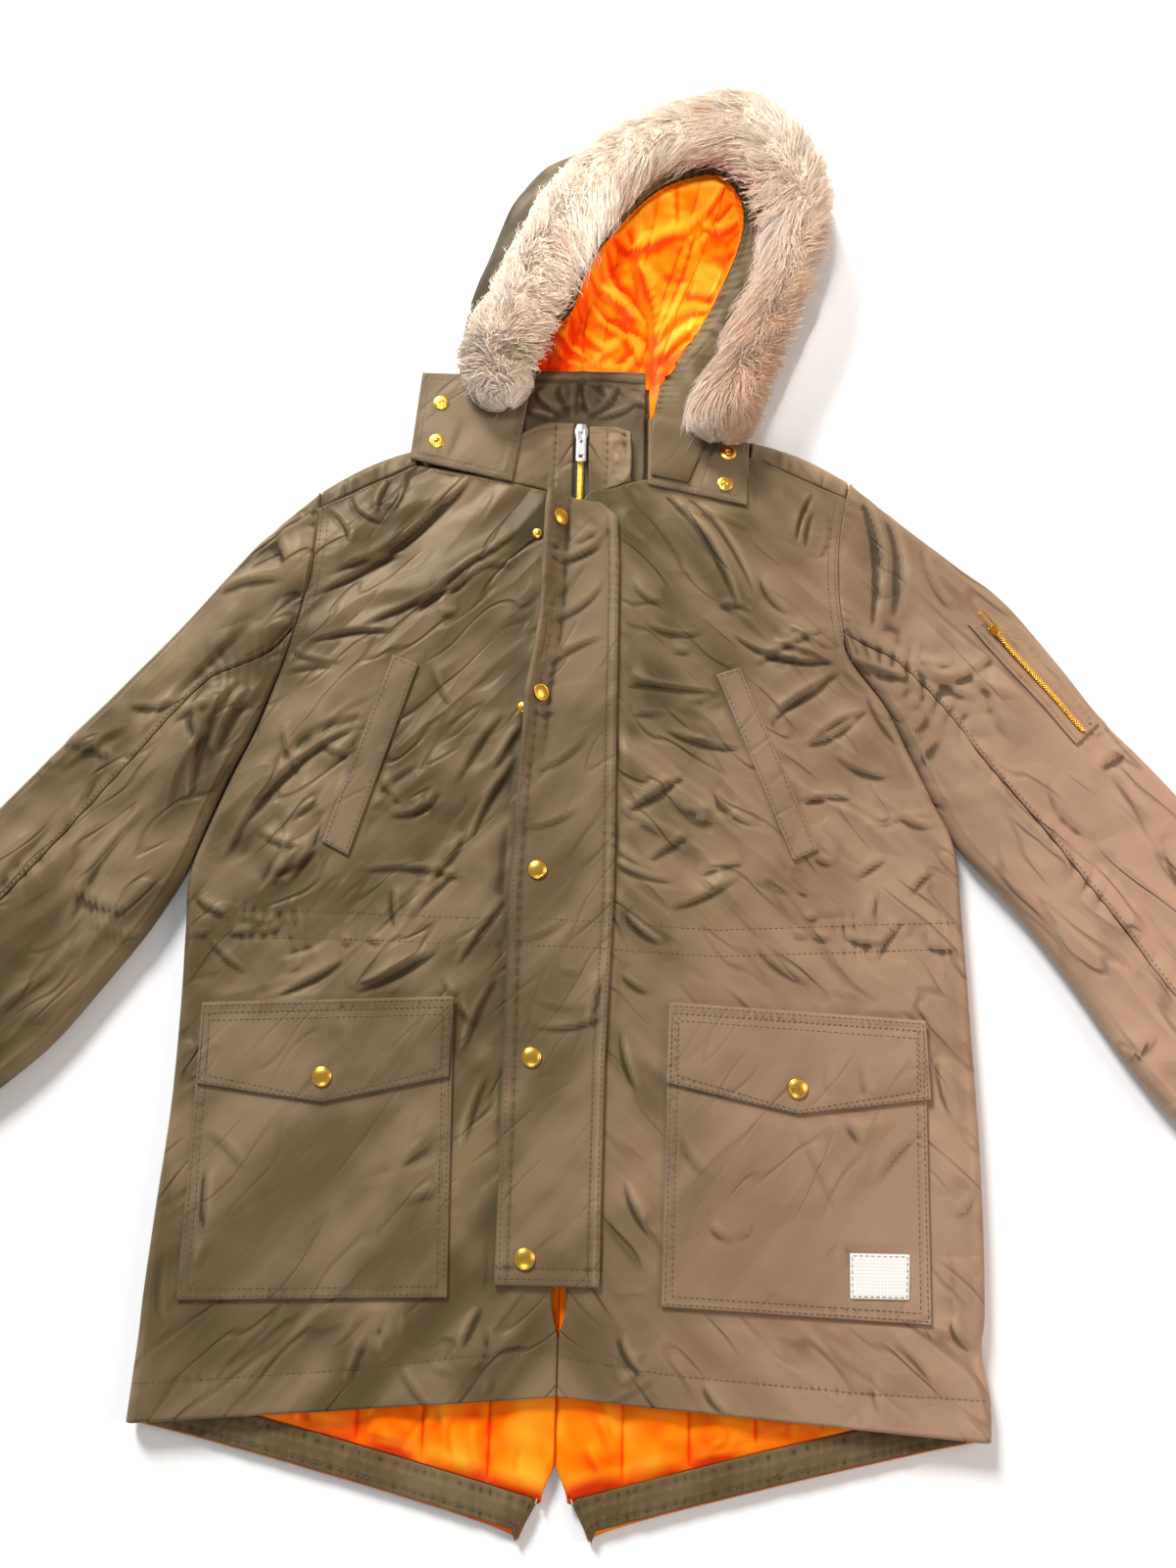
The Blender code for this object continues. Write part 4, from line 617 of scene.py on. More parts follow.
def hairFinish(name, root, mid, tip, brown):
    # Acrylic pile fur: grey-brown at the root, cream at the tip, and lightly glossy.
    finish, add = newFinish(name)
    along = add("Attribute", attribute_name="along").outputs["Fac"]
    tint = add("Attribute", attribute_name="tint").outputs["Fac"]
    place = add("TexCoord").outputs["Object"]
    ramp = add("ValToRGB", {"Fac": along})
    stops = ramp.color_ramp.elements
    stops[0].color, stops[1].color = linear(root), linear(tip)
    stops.new(0.34).color = linear(mid)
    tuft = add("TexNoise", {"Vector": place, "Scale": millimetres(24), "Detail": 2.0})
    split = add("SeparateXYZ", {"Vector": place}).outputs
    low = add("MapRange", {"Value": split["Y"], "From Min": 0.60, "From Max": 0.36, "To Max": 1.0})
    left = add("MapRange", {"Value": split["X"], "From Min": 0.05, "From Max": 0.13, "To Max": 1.0})
    corner = add("Math", {0: low, 1: left}, operation="MULTIPLY")    # browner low on the left side
    patch = add("MapRange", {"Value": tuft, "From Min": 0.52, "From Max": 0.72, "To Max": 0.5})
    share = add("Math", {0: corner, 1: patch}, operation="MAXIMUM")
    share = add("Math", {0: share, 1: 0.7}, operation="MULTIPLY")
    colour = add("Mix", {"Factor": share, 6: ramp, 7: linear(brown)}, data_type="RGBA").outputs[2]
    value = add("MapRange", {"Value": tint, "To Min": 0.5, "To Max": 1.12})
    colour = add("HueSaturation", {"Color": colour, "Value": value})
    add("OutputMaterial", {"Surface": add("BsdfPrincipled", {
        "Base Color": colour, "Roughness": 0.5, "Specular IOR Level": 0.4, "Sheen Weight": 0.5,
        "Sheen Roughness": 0.5})})
    return finish


def pile(name, dark, light):
    # The dense acrylic underfur: short, matt and mottled.
    finish, add = newFinish(name)
    place = add("TexCoord").outputs["Object"]
    tufts = add("TexNoise", {"Vector": place, "Scale": millimetres(4), "Detail": 4.0, "Distortion": 1.2})
    shade = add("MapRange", {"Value": tufts, "From Min": 0.38, "From Max": 0.62})
    colour = add("Mix", {"Factor": shade, 6: linear(dark), 7: linear(light)}, data_type="RGBA").outputs[2]
    bump = add("Bump", {"Height": tufts, "Distance": 2.5 * mm})
    add("OutputMaterial", {"Surface": add("BsdfPrincipled", {
        "Base Color": colour, "Roughness": 0.9, "Normal": bump, "Sheen Weight": 0.4})})
    return finish


def metal(name, colour, deep, rough):
    # Plated zinc alloy, die cast and tumbled: bright, with fine hairlines and darker pits.
    finish, add = newFinish(name)
    place = add("TexCoord").outputs["Object"]
    pits = add("TexNoise", {"Vector": place, "Scale": millimetres(1.6), "Detail": 3.0})
    tone = add("MapRange", {"Value": pits, "From Min": 0.55, "From Max": 0.75, "To Max": 0.6})
    shade = add("Mix", {"Factor": tone, 6: linear(colour), 7: linear(deep)}, data_type="RGBA").outputs[2]
    bump = add("Bump", {"Height": pits, "Strength": 0.05, "Distance": 0.05 * mm})
    add("OutputMaterial", {"Surface": add("BsdfPrincipled", {
        "Base Color": shade, "Metallic": 1.0, "Roughness": rough, "Normal": bump})})
    return finish


def woven(name, dark, light, thread, rough=0.85):
    # Polyester tape, sewing thread or label cloth: matt, with a plain weave.
    finish, add = newFinish(name)
    place = add("TexCoord").outputs["Object"]
    waves = [add("TexWave", {"Vector": place, "Scale": millimetres(thread) / 6.28}, bands_direction=way)
             for way in ("X", "Y")]
    weave = add("Math", {k: wave.outputs["Fac"] for k, wave in enumerate(waves)}, operation="MULTIPLY")
    shade = add("Mix", {"Factor": weave, 6: linear(dark), 7: linear(light)}, data_type="RGBA").outputs[2]
    bump = add("Bump", {"Height": weave, "Strength": 0.4, "Distance": 0.15 * mm})
    add("OutputMaterial", {"Surface": add("BsdfPrincipled", {
        "Base Color": shade, "Roughness": rough, "Normal": bump})})
    return finish


# dark and light colours span the painted sheen; the third colour is painted warm light
shellNylon = nylon("olive_nylon_taffeta", "#50442c", "#7e6a4f", 0.45, painted_warm_light="#b49178", mirrored=True)
patchNylon = nylon("olive_nylon_patches", "#5f5038", "#7f6b54", 0.52, painted_warm_light="#b49178", crushed=0.45)
facingNylon = nylon("olive_nylon_facing", "#58482f", "#6d5c43", 0.52, crushed=0.4)
collarNylon = nylon("dark_olive_collar_nylon", "#4c3e2e", "#65553f", 0.5, crushed=0.6)
# painted shade colour, the satin's own orange, and painted highlight colour
liningSatin = satin("orange_lining_satin", "#e63200", "#ff7c05", "#ffac2b")
furHair = hairFinish("faux_fur_hair", "#8f745b", "#f8dfc4", "#fffaec", "#c08a5a")
furPile = pile("faux_fur_pile", "#94795f", "#dcc4a8")
brassPlate = metal("brass_plated_snap", "#ffc653", "#d4902a", 0.3)
nickelPlate = metal("nickel_plated_slider", "#f4f4f2", "#b9b6ae", 0.28)
zipTape = woven("zip_tape", "#3c3428", "#544a3a", 1.0)
thread = woven("sewing_thread", "#4a4130", "#7b6d55", 0.9, 0.6)
labelCloth = woven("white_label_cloth", "#dcdad4", "#f7f6f2", 1.2, 0.7)
print("finishes made")


body = {
    "left": {"neck": (152, 784), "shoulder": (241, 745), "underarm": (233, 574), "bow": 11},
    "right": {"neck": (147, 770), "shoulder": (231, 726), "underarm": (250, 556), "bow": 8},
}
sideLine = {
    "left": ((263, 531), (281, 490), (299, 448), (313, 412), (316, 336), (317, 267),
             (318, 194), (317, 123), (314, 62), (310, 36), (314, 4), (313, -24)),
    "right": ((265, 506), (282, 463), (297, 420), (309, 376), (307, 330), (304, 267),
              (303, 194), (306, 123), (308, 62), (308, 36), (309, 4), (310, -24)),
}
centreRows = (560, 505, 448, 392, 338, 270, 197, 127, 66, 38, 10, 0)
neckShare = (0.0, 0.28, 0.55, 0.80, 0.985, 1.0)
armShare = (0.0, 0.20, 0.42, 0.62, 0.80, 1.0)
centreDip = (0, 0, 0, 0, 0, 78)
stormRows = (   # height, free edge, sewn edge, lift of the free edge
    (722, -27, 20, 14), (700, -28, 34, 18), (660, -29, 36, 17), (611, -30, 36, 13), (572, -34, 36, 13),
    (534, -40, 36, 15), (500, -42, 36, 9), (462, -45, 36, 2), (420, -47, 36, 0), (368, -49, 36, 0),
    (238, -48, 31, 0), (120, -48, 30, 0), (74, -48, 30, 0),
)
pockets = {
    "left": {"top": ((80, 282), (279, 272)), "bottom": ((75, 62), (272, 54)),
             "flap": ((78, 221), (178, 200), (280, 213)), "snap": (178, 219)},
    "right": {"top": ((-88, 283), (-284, 274)), "bottom": ((-82, 65), (-280, 59)),
              "flap": ((-89, 222), (-185, 201), (-282, 213)), "snap": (-186, 220)},
}
welts = {
    "left": ((119, 556), (139, 563), (200, 407), (180, 397)),
    "right": ((-155, 568), (-133, 560), (-180, 394), (-202, 405)),
}
hoodTabs = {
    "right": ((-146, 843), (-46, 841), (-60, 734), (-152, 755)),
    "left": ((60, 800), (150, 777), (147, 715), (60, 734)),
}
labelCorners = ((214, 102), (258, 102), (256, 71), (213, 71))
sleevePocket = ((331, 604), (380, 592), (436, 519), (414, 498))
sleeveZip = ((353, 597), (422, 509))
flapThick, patchThick, tabThick = 3.2, 2.4, 3.0
collarTop = 796.0
flapTop = lay + gap + flapThick
overFront = lay + gap


def xyMix(a, b, share):
    return (mix(a[0], b[0], share), mix(a[1], b[1], share))


def armhole(side, share):
    # a place on the armhole seam, from the shoulder down to the underarm
    form = body[side]
    x, y = xyMix(form["shoulder"], form["underarm"], share)
    return (x - form["bow"] * 4 * share * (1 - share), y)


def frontNeck(side, share):
    # a place on the front's neck seam, from the yoke to the middle
    x, y = body[side]["neck"]
    out = 1 - share
    return (x * out, mix(neckY, y - yokeWide, out ** 0.66))


def yokeShare(side):
    # how far down the armhole the yoke reaches
    return yokeWide / (body[side]["shoulder"][1] - body[side]["underarm"][1])


def frontEnds(side):
    # inner and outer end of each row of a front, and how far its edge rolls over
    drop = yokeShare(side)
    rows = []
    for neck, arm, dip in zip(neckShare, armShare, centreDip):
        inner = frontNeck(side, neck)
        outer = armhole(side, mix(drop, 1.0, arm))
        rows.append((inner[0], inner[1] - dip, *outer, 0.0 if arm < 1 else 0.35))
    for i, (centre, outer) in enumerate(zip(centreRows, sideLine[side])):
        rows.append((0.0, centre, *outer, 0.8 if i == 0 else 1.0))
    return rows


def centreGap(y):
    # half of the gap between the fronts: closed by the zip, parted below the storm flap
    return mix(0.3, 7.0, max(0.0, min((y - 40) / 34.0, (118 - y) / 44.0)))


def tailEdge(x):
    # how low the fishtail hangs
    out = np.maximum(0.0, 1 - np.abs(x) / sideX)
    return -hemDrop - tailDepth * out ** 1.1


def outside(x, y, corners):
    # how far outside a convex outline; less than nothing inside it
    cx = sum(c[0] for c in corners) / len(corners)
    cy = sum(c[1] for c in corners) / len(corners)
    far = np.full(np.shape(x), -1e9)
    for (ax, ay), (bx, by) in zip(corners, corners[1:] + corners[:1]):
        nx, ny = by - ay, ax - bx
        long = math.hypot(nx, ny)
        if (cx - ax) * nx + (cy - ay) * ny > 0:
            nx, ny = -nx, -ny
        far = np.maximum(far, ((x - ax) * nx + (y - ay) * ny) / long)
    return far


def stormEdge(y, column):
    # one column of stormRows at any height
    heights = [row[0] for row in stormRows][::-1]
    return np.interp(y, heights, [row[column] for row in stormRows][::-1])


def quiet(x, y, side):
    # main folds stop short of the centre, the pockets, the welts, the waist and the hood's tabs
    tabEdge = {"left": 708.0, "right": 732.0}[side]
    calm = np.clip((np.abs(x) - 62) / 26, 0, 1)
    calm = np.where(np.abs(x) < 318, calm * np.clip((y - 352) / 30, 0, 1), calm)
    calm = np.where(np.abs(x) < 172, calm * np.clip((tabEdge - y) / 24, 0, 1), calm)
    away, _, _ = nearLine(x, y, (welts[side][0], welts[side][2]))
    return np.where(np.abs(x) < 240, calm * smooth(away, 46, 62), calm)


def freeOf(x, y, side):
    # 0 under whatever lies on the front, 1 a few millimetres clear of it
    storm = np.maximum(np.maximum(stormEdge(y, 1) - x, x - stormEdge(y, 2)),
                       np.maximum(74 - y, y - 722))
    clear = smooth(storm, 1, 7)
    low, far = pockets[side]["bottom"]
    for corners in ((*pockets[side]["top"], far, low), welts[side], hoodTabs[side]):
        clear = clear * smooth(outside(x, y, corners), 1, 8)
    return clear


def insetCorners(corners, inset):
    # an outline's corners, moved in along both of their sides
    made = []
    for i, (x, y) in enumerate(corners):
        for ox, oy in (corners[i - 1], corners[(i + 1) % len(corners)]):
            long = math.hypot(ox - x, oy - y)
            x, y = x + (ox - x) / long * inset, y + (oy - y) / long * inset
        made.append((x, y))
    return made


def closed(corners):
    return list(corners) + [corners[0]]


def evenPlaces(ends, step, stride=4):
    # row places for a table of row ends, spaced evenly down its middle
    fine = np.linspace(0, len(ends) - 1, 400)
    rows = np.array([splineRow(ends, p) for p in fine])
    inner = np.hypot(*np.diff(rows[:, 0:2], axis=0).T)
    outer = np.hypot(*np.diff(rows[:, 2:4], axis=0).T)
    run = np.concatenate([[0], np.cumsum(0.5 * inner + 0.5 * outer)])
    count = int(round(run[-1] / step / stride)) * stride + 1
    return np.interp(np.linspace(0, run[-1], count), run, fine)


frontLook = {
    "step": 2.5, "columns": 125, "wall": 4.6,
    "crease": 1.4, "crush": 1.25, "swell": 1.4,    # how strongly each kind of fold shows
    "slant": {"left": -0.62, "right": 0.85},       # which way the crushed folds run, in radians
}
randomCreases = {
    "left": (crinkles(11, (60, 300, 440, 720), 11, -0.55, 0.4)
             + crinkles(12, (45, 300, 290, 440), 10, -0.4, 0.5)
             + crinkles(13, (50, 310, -20, 62), 9, 1.3, 0.6, 0.8)
             + crinkles(14, (282, 312, 60, 300), 6, 1.4, 0.3, 0.7)
             + crinkles(15, (150, 306, 316, 354), 9, -0.3, 0.9, 0.6)),
    "right": (crinkles(21, (-290, -60, 440, 720), 11, 0.8, 0.35)
              + crinkles(22, (-300, -55, 290, 440), 10, 0.9, 0.4)
              + crinkles(23, (-306, -50, -20, 62), 9, 1.5, 0.6, 0.8)
              + crinkles(24, (-300, -284, 60, 300), 5, 1.5, 0.3, 0.7)
              + crinkles(25, (-300, -150, 316, 354), 8, 0.4, 0.9, 0.6)),
}
hemLine = ((-311, 2), (-235, 8), (-140, 16), (-73, 25), (-9, 29), (7, 26), (88, 16), (212, 8), (312, 4))
waistLines = (((-312, 345), (-200, 348), (-60, 345), (0, 345), (120, 340), (316, 350)),
              ((-312, 324), (-200, 327), (-60, 324), (0, 324), (120, 319), (316, 329)))


def frontHeight(x, y, side, edgeIn):
    clear, inner = freeOf(x, y, side), smooth(edgeIn, 0, 12)
    z = foldHeight(x, y) * quiet(x, y, side)
    z += creaseHeight(x, y, creases + randomCreases[side]) * clear * inner * frontLook["crease"]
    crushed = frontLook["crush"] * crush(x, y, frontLook["slant"][side], 201)
    z += crushed * clear * inner * (0.25 + 0.75 * smooth(y, 250, 420))
    z += frontLook["swell"] * (valueNoise(x, y, 62, 15) + 0.4 * valueNoise(x, y, 27, 16)) * clear
    for line in waistLines:
        strength = 0.35 + 0.65 * smooth(np.abs(x), 110, 230)
        z += pucker(x, y, line, 9.5, 0.6, 8.0, 0.3, 5) * strength * clear
    z += pucker(x, y, hemLine, 8.0, 0.5, 7.0, 0.4, 9) * clear
    arm = [armhole(side, share) for share in np.linspace(0, 1, 9)]
    arm = [(sides[side] * ax, ay) for ax, ay in arm]
    return z + pucker(x, y, arm, 9.0, 1.1, 10.0, 0.0, 3) * clear


def rollOff(long, shares, rolled):
    # along a row whose edge rolls over by a quarter turn: the distance from the edge, and the drop
    turn = np.radians(np.linspace(0, 90, 7))[1:]
    distance = np.concatenate([mix(long, roll, shares), roll * (1 - np.sin(turn))])
    return distance, np.concatenate([shares * 0, roll * (1 - np.cos(turn))]) * min(max(rolled, 0.0), 1.0)


def frontPiece(side):
    ends = [(ix + centreGap(iy), iy, ox - 0.1, oy, rolled) for ix, iy, ox, oy, rolled in frontEnds(side)]
    shares = np.linspace(0, 1, frontLook["columns"] - 6)
    rows = []
    for place in evenPlaces(ends, frontLook["step"]):
        ix, iy, ox, oy, rolled = splineRow(ends, place)
        ix = max(ix, 0.3)
        long = math.hypot(ox - ix, oy - iy)
        distance, lost = rollOff(long, shares, rolled)
        x, y = xyMix((ox, oy), (ix, iy), distance / long)
        rows.append(np.stack([sides[side] * x, y, distance, lost], axis=-1))
    x, y, distance, lost = columnsOf(rows)
    edgeIn = np.where((lost.max(axis=1) > 1)[:, None], distance + lost, 100.0)
    z = lay + frontHeight(x, y, side, edgeIn) * np.minimum(distance / 40, 1.0) ** 0.6 - lost
    sew(f"front_panel_{side}", world(x, y, z), frontLook["wall"], shellNylon, f"front_{side}",
        edge=0.6)


def backNeck(x):
    # the back's neck line
    (lx, ly), (rx, ry) = body["left"]["neck"], body["right"]["neck"]
    share = (x + rx) / (lx + rx)
    return mix(ry, ly, share) + 6 * np.sin(np.pi * np.clip(share, 0.0, 1.0))


backCreases = crinkles(31, (-290, 290, 0, 700), 70, 1.2, 0.8, 1.6)


def backEnds(side, sign):
    # inner and outer end of each row of half of the back, and how far its edge rolls up
    form = body[side]
    ends = []
    for neck, arm in zip((0.0, 0.3, 0.6, 0.8, 1.0), armShare):
        x = form["neck"][0] * (1 - neck)
        ends.append([x, backNeck(sign * x) - (60.0 if neck == 1.0 else 0.0), *armhole(side, arm), 0.0])
    ends[-2] = [0.0, float(backNeck(0.0)), *ends[-2][2:]]
    ends.append([0.0, 640.0, *armhole(side, 1.0), 0.35])
    ends += [[0.0, centre, *outer, 1.0] for centre, outer in zip(centreRows, sideLine[side])]
    return [(ix, iy, ox - 0.45, oy, rolled) for ix, iy, ox, oy, rolled in ends]


def tailRows(hem, sign):
    # the fishtail below the hem, whose slit opens downward
    rows = []
    for share in np.linspace(0, 1, 12):
        row = hem.copy()
        row[:, 1] = mix(mix(0.0, -hemDrop, np.abs(row[:, 0]) / sideX), tailEdge(row[:, 0]), share)
        down = -20 + share * (tailEdge(0.0) + 21)
        opened = max(0.0, (ventTop - down) / (ventTop - tailEdge(0.0) - 1))
        row[:, 0] += sign * opened ** 0.8 * 25.0 * np.exp(-np.abs(row[:, 0]) / 22)
        row[0, 1] = down
        rows.append(row)
    return rows


def backPiece():
    mesh = bmesh.new()
    for side, sign in sides.items():
        ends = backEnds(side, sign)
        shares = np.linspace(0, 1, 33)
        rows = []
        for place in np.concatenate([np.arange(0, 6), evenPlaces(ends[5:], 9.0)[1:] + 5]):
            ix, iy, ox, oy, rolled = splineRow(ends, place)
            long = math.hypot(ox - ix, oy - iy)
            distance, up = rollOff(long, shares, rolled)
            x, y = xyMix((ox, oy), (max(ix, 0.0), iy), distance / long)
            if ix < 1:
                x[0] = 0.0
            hidden = creaseHeight(sign * x, y, backCreases) * smooth(distance, 4, 30) * smooth(x, 0, 12)
            rows.append(np.stack([sign * x, y, np.maximum(up + np.maximum(hidden, 0.0), 0.0)], -1))
        rows += tailRows(rows.pop(), sign)
        grid = world(*columnsOf(rows))
        verts = [[mesh.verts.new(p) for p in row] for row in grid]
        for upper, lower in zip(verts, verts[1:]):
            for i in range(len(upper) - 1):
                mesh.faces.new((upper[i], upper[i + 1], lower[i + 1], lower[i]))
    bmesh.ops.remove_doubles(mesh, verts=mesh.verts, dist=0.00005)
    bmesh.ops.recalc_face_normals(mesh, faces=mesh.faces)
    if sum(f.normal.z * f.calc_area() for f in mesh.faces) > 0:
        bmesh.ops.reverse_faces(mesh, faces=mesh.faces)
    made = bpy.data.meshes.new("back_panel")
    mesh.to_mesh(made)
    mesh.free()
    piece = addObject("back_panel", made, shellNylon, "back")
    made.materials.append(liningSatin)
    cloth = piece.modifiers.new("wall", "SOLIDIFY")
    cloth.thickness, cloth.offset, cloth.use_even_offset = 4.8 * mm, -1.0, True
    cloth.material_offset, cloth.material_offset_rim = 1, 0
    plainMesh(piece)
    for face in piece.data.polygons:
        if face.center.y > (700 - originY) * mm:      # the neck is faced with shell cloth
            face.material_index = 0


def yokePiece(side):
    sign = sides[side]
    form = body[side]
    high = lay - wall - 2 * gap
    seamIn, seamOut = frontNeck(side, 0.0), armhole(side, yokeShare(side))
    edgeIn, edgeOut = form["neck"], form["shoulder"]
    turn = np.radians(np.linspace(0, 90, 8))
    rows = []
    for share in np.linspace(0, 1, 37):
        seam = xyMix(seamIn, seamOut, share)
        edge = xyMix(edgeIn, edgeOut, share)
        edge = (edge[0], edge[1] + 5 * math.sin(math.pi * share))
        long = math.hypot(edge[0] - seam[0], edge[1] - seam[1])
        off = 1.4 * share + 0.35
        flat = np.linspace(1.05, high, 6)[:-1]
        distance = np.concatenate([long - flat * (long - high) / high, high * (1 - np.sin(turn))])
        lost = np.concatenate([flat * 0, high * (1 - np.cos(turn))])
        x, y = xyMix(edge, seam, distance / long)
        crease = 0.5 * np.sin(share * 40 + 1.3 * np.sin(share * 17)) * np.minimum(distance / 8, 1)
        rows.append(np.stack([sign * (x - off), y, lay - lost + crease], -1))
    sew(f"shoulder_yoke_{side}", world(*columnsOf(rows)), frontLook["wall"], shellNylon, f"yoke_{side}",
        inside=(sign * 190, 700, -20))


sleeves = {
    "left": (
        (240, 743, 233, 574, 17, 0, 11, 0.86), (271, 713, 249, 552, 18, 1.5, 8, 0.80),
        (300, 688, 264, 530, 19, 3, 4, 0.74), (328, 664, 281, 490, 20, 4, 0, 0.69),
        (356, 641, 299, 448, 21, 4.5, 0, 0.66), (378, 617, 316, 412, 21, 5, 0, 0.65),
        (408, 576, 338, 386, 20, 5, 0, 0.65), (439, 530, 361, 359, 20, 4.5, 0, 0.65),
        (468, 496, 382, 330, 20, 4, 0, 0.66), (497, 461, 403, 298, 20, 4, 0, 0.66),
        (530, 419, 435, 247, 19, 4, 0, 0.66), (566, 374, 468, 204, 19, 4, 0, 0.66),
        (603, 329, 506, 177, 18, 3, 0, 0.66), (637, 288, 541, 163, 17, 2, 0, 0.66),
        (664, 254, 572, 154, 16, 1, 0, 0.66),
    ),
    "right": (
        (230, 724, 250, 556, 17, 0, 8, 0.76), (255, 698, 258, 532, 18, 1.5, 6, 0.74),
        (279, 671, 266, 506, 19, 3, 3, 0.66), (304, 638, 274, 484, 20, 4, 0, 0.56),
        (328, 605, 283, 463, 21, 4.5, 0, 0.46), (357, 568, 298, 420, 21, 5, 0, 0.40),
        (386, 532, 312, 377, 20, 5, 0, 0.37), (420, 490, 336, 331, 20, 4.5, 0, 0.36),
        (450, 453, 369, 283, 20, 4, 0, 0.36), (478, 418, 401, 240, 20, 4, 0, 0.36),
        (508, 380, 435, 208, 19, 4, 0, 0.38), (540, 338, 466, 180, 19, 4, 0, 0.40),
        (573, 296, 497, 156, 18, 3, 0, 0.42), (606, 254, 524, 138, 17, 2, 0, 0.44),
        (636, 216, 548, 122, 16, 1, 0, 0.45),
    ),
}
sleeveLook = {
    "step": 3.9, "wall": 4.6,
    "crease": 1.3, "crush": 0.8, "swell": 0.9, "gather": 0.9,    # how strongly each kind of fold shows
    "slant": {"left": -0.95, "right": 1.0},
}
sleeveCreases = {
    "left": (crinkles(41, (255, 470, 380, 720), 12, 0.5, 0.5, 1.1)
             + crinkles(42, (420, 650, 160, 480), 10, 0.6, 0.5, 1.25)),
    "right": (crinkles(51, (-460, -255, 330, 700), 12, -0.6, 0.5, 1.1)
              + crinkles(52, (-640, -420, 130, 450), 10, -0.6, 0.5, 1.25)),
}


def sleeveRows(side, over, dense, around, under):
    # A sleeve lies flat, and its seam runs down its upper face. A row starts at the seam, runs out
    # to the fold of the upper half (over 0) or the under one (over 1), turns and runs back below.
    rings = sleeves[side]
    sign = sides[side]
    long = sum(math.hypot(b[0] - a[0], b[1] - a[1]) for a, b in zip(rings, rings[1:]))
    count = int(long / sleeveLook["step"] / 4) * 4
    places = np.linspace(0, len(rings) - 1, count)
    grid, tops = [], []
    for place in places:
        ux, uy, lx, ly, high, swell, bow, seam = splineRow(rings, place)
        seam += -0.003 if over == 0 else 0.003
        wide = math.hypot(lx - ux, ly - uy)
        radius = high / 2
        edge = radius if over == 0 else wide - radius
        turn = np.radians(np.linspace(0, 180, around))
        reach = np.sin(turn) * radius
        distance = np.concatenate([
            mix(seam * wide, edge, np.linspace(0, 1, dense)[:-1]),
            radius - reach if over == 0 else wide - radius + reach,
            mix(seam * wide, edge, np.linspace(0, 1, under)[::-1][1:])])
        z = np.concatenate([np.full(dense - 1, high), radius + np.cos(turn) * radius, np.zeros(under - 1)])
        top = np.concatenate([np.ones(dense - 1), np.clip(np.cos(turn), 0, 1), np.zeros(under - 1)])
        share = distance / wide
        x, y = mix(ux, lx, share) - bow * 4 * share * (1 - share), mix(uy, ly, share)
        lift = swell * np.sin(np.pi * np.clip(share, 0.001, 0.999)) ** 0.7
        inEdge = np.minimum(distance, wide - distance) - radius
        fromSeam = np.abs(distance - seam * wide)
        calm = np.clip(inEdge, 0, None) / 40
        calm = np.minimum(calm, 1) * np.minimum(fromSeam / 26, 1)
        grid.append(np.stack([sign * (x + 0.05), y, z + lift * (top >= 0.999)], -1))
        tops.append(np.stack([calm, top, fromSeam, np.full_like(x, place)], -1))
    grid = np.array(grid)
    x, y = grid[..., 0], grid[..., 1]
    calm, top, fromSeam, place = columnsOf(tops)
    z = foldHeight(x, y) * quiet(x, y, side) * calm * (top > 0.999)
    rise = creaseHeight(x, y, creases + sleeveCreases[side], 4.2)
    if side == "left":
        rise = rise * smooth(outside(x, y, sleevePocket), 1, 8)
    rise = rise + sleeveLook["crush"] * crush(x, y, sleeveLook["slant"][side], 211)
    last = len(rings) - 1
    ends = smooth(place, 0, 0.12) * smooth(last - place, 0, 0.1)
    z += sleeveLook["crease"] * rise * top ** 0.5 * smooth(fromSeam, 1, 12) * ends
    z += sleeveLook["swell"] * valueNoise(x, y, 44, 64) * (top > 0.999) * calm
    gather = sleeveLook["gather"] * np.sin(place * 13 + 3 * valueNoise(x, y, 30, 61))
    gather = gather * np.exp(-fromSeam / 12) * (0.6 + 0.4 * valueNoise(x, y, 50, 65))
    cap = np.sin(np.hypot(x, y) * 0.5 + 5 * valueNoise(x, y, 24, 62)) * np.exp(-place / 0.3)
    cap = cap * smooth(valueNoise(x, y, 30, 66), -0.4, 0.6)
    z += (gather + cap) * top * ends
    hidden = creaseHeight(x, y, backCreases) + 0.5 * valueNoise(x, y, 30, 63)
    low = smooth(-top, -0.001, 0.0) * (grid[..., 2] < 0.01)
    z += np.maximum(hidden, 0) * low * 0.6
    grid[..., 2] = np.maximum(grid[..., 2] + z, 0.0)
    first = grid[:1] + np.array([sign * 1.5, 0, 0])
    return np.concatenate([grid[:1], first, grid[1:]])


def sleevePiece(side):
    centre = splineRow(sleeves[side], 8)
    inside = (sides[side] * (centre[0] + centre[2]) / 2, (centre[1] + centre[3]) / 2, 9)
    for over, dense, under, name in ((0, 39, 10, "upper"), (1, 27, 10, "under")):
        if side == "right":
            dense = 66 - dense
        around = 15
        total = dense - 1 + around + under - 1
        dense += (1 - total) % 4
        grid = sleeveRows(side, over, dense, around, under)
        sew(f"sleeve_{name}_panel_{side}", world(*columnsOf(grid)), sleeveLook["wall"], shellNylon,
            f"sleeve_{side}_{name}", inside=inside, edge=0.6)


def quadGrid(corners, columns, rows):
    u, v = np.meshgrid(np.linspace(0, 1, columns), np.linspace(0, 1, rows))
    (ax, ay), (bx, by), (cx, cy), (dx, dy) = corners
    return mix(mix(ax, bx, u), mix(dx, cx, u), v), mix(mix(ay, by, u), mix(dy, cy, u), v)


def four(n):
    # the nearest count of rows whose gaps can be taken four at a time
    return int(round((n - 1) / 4)) * 4 + 1


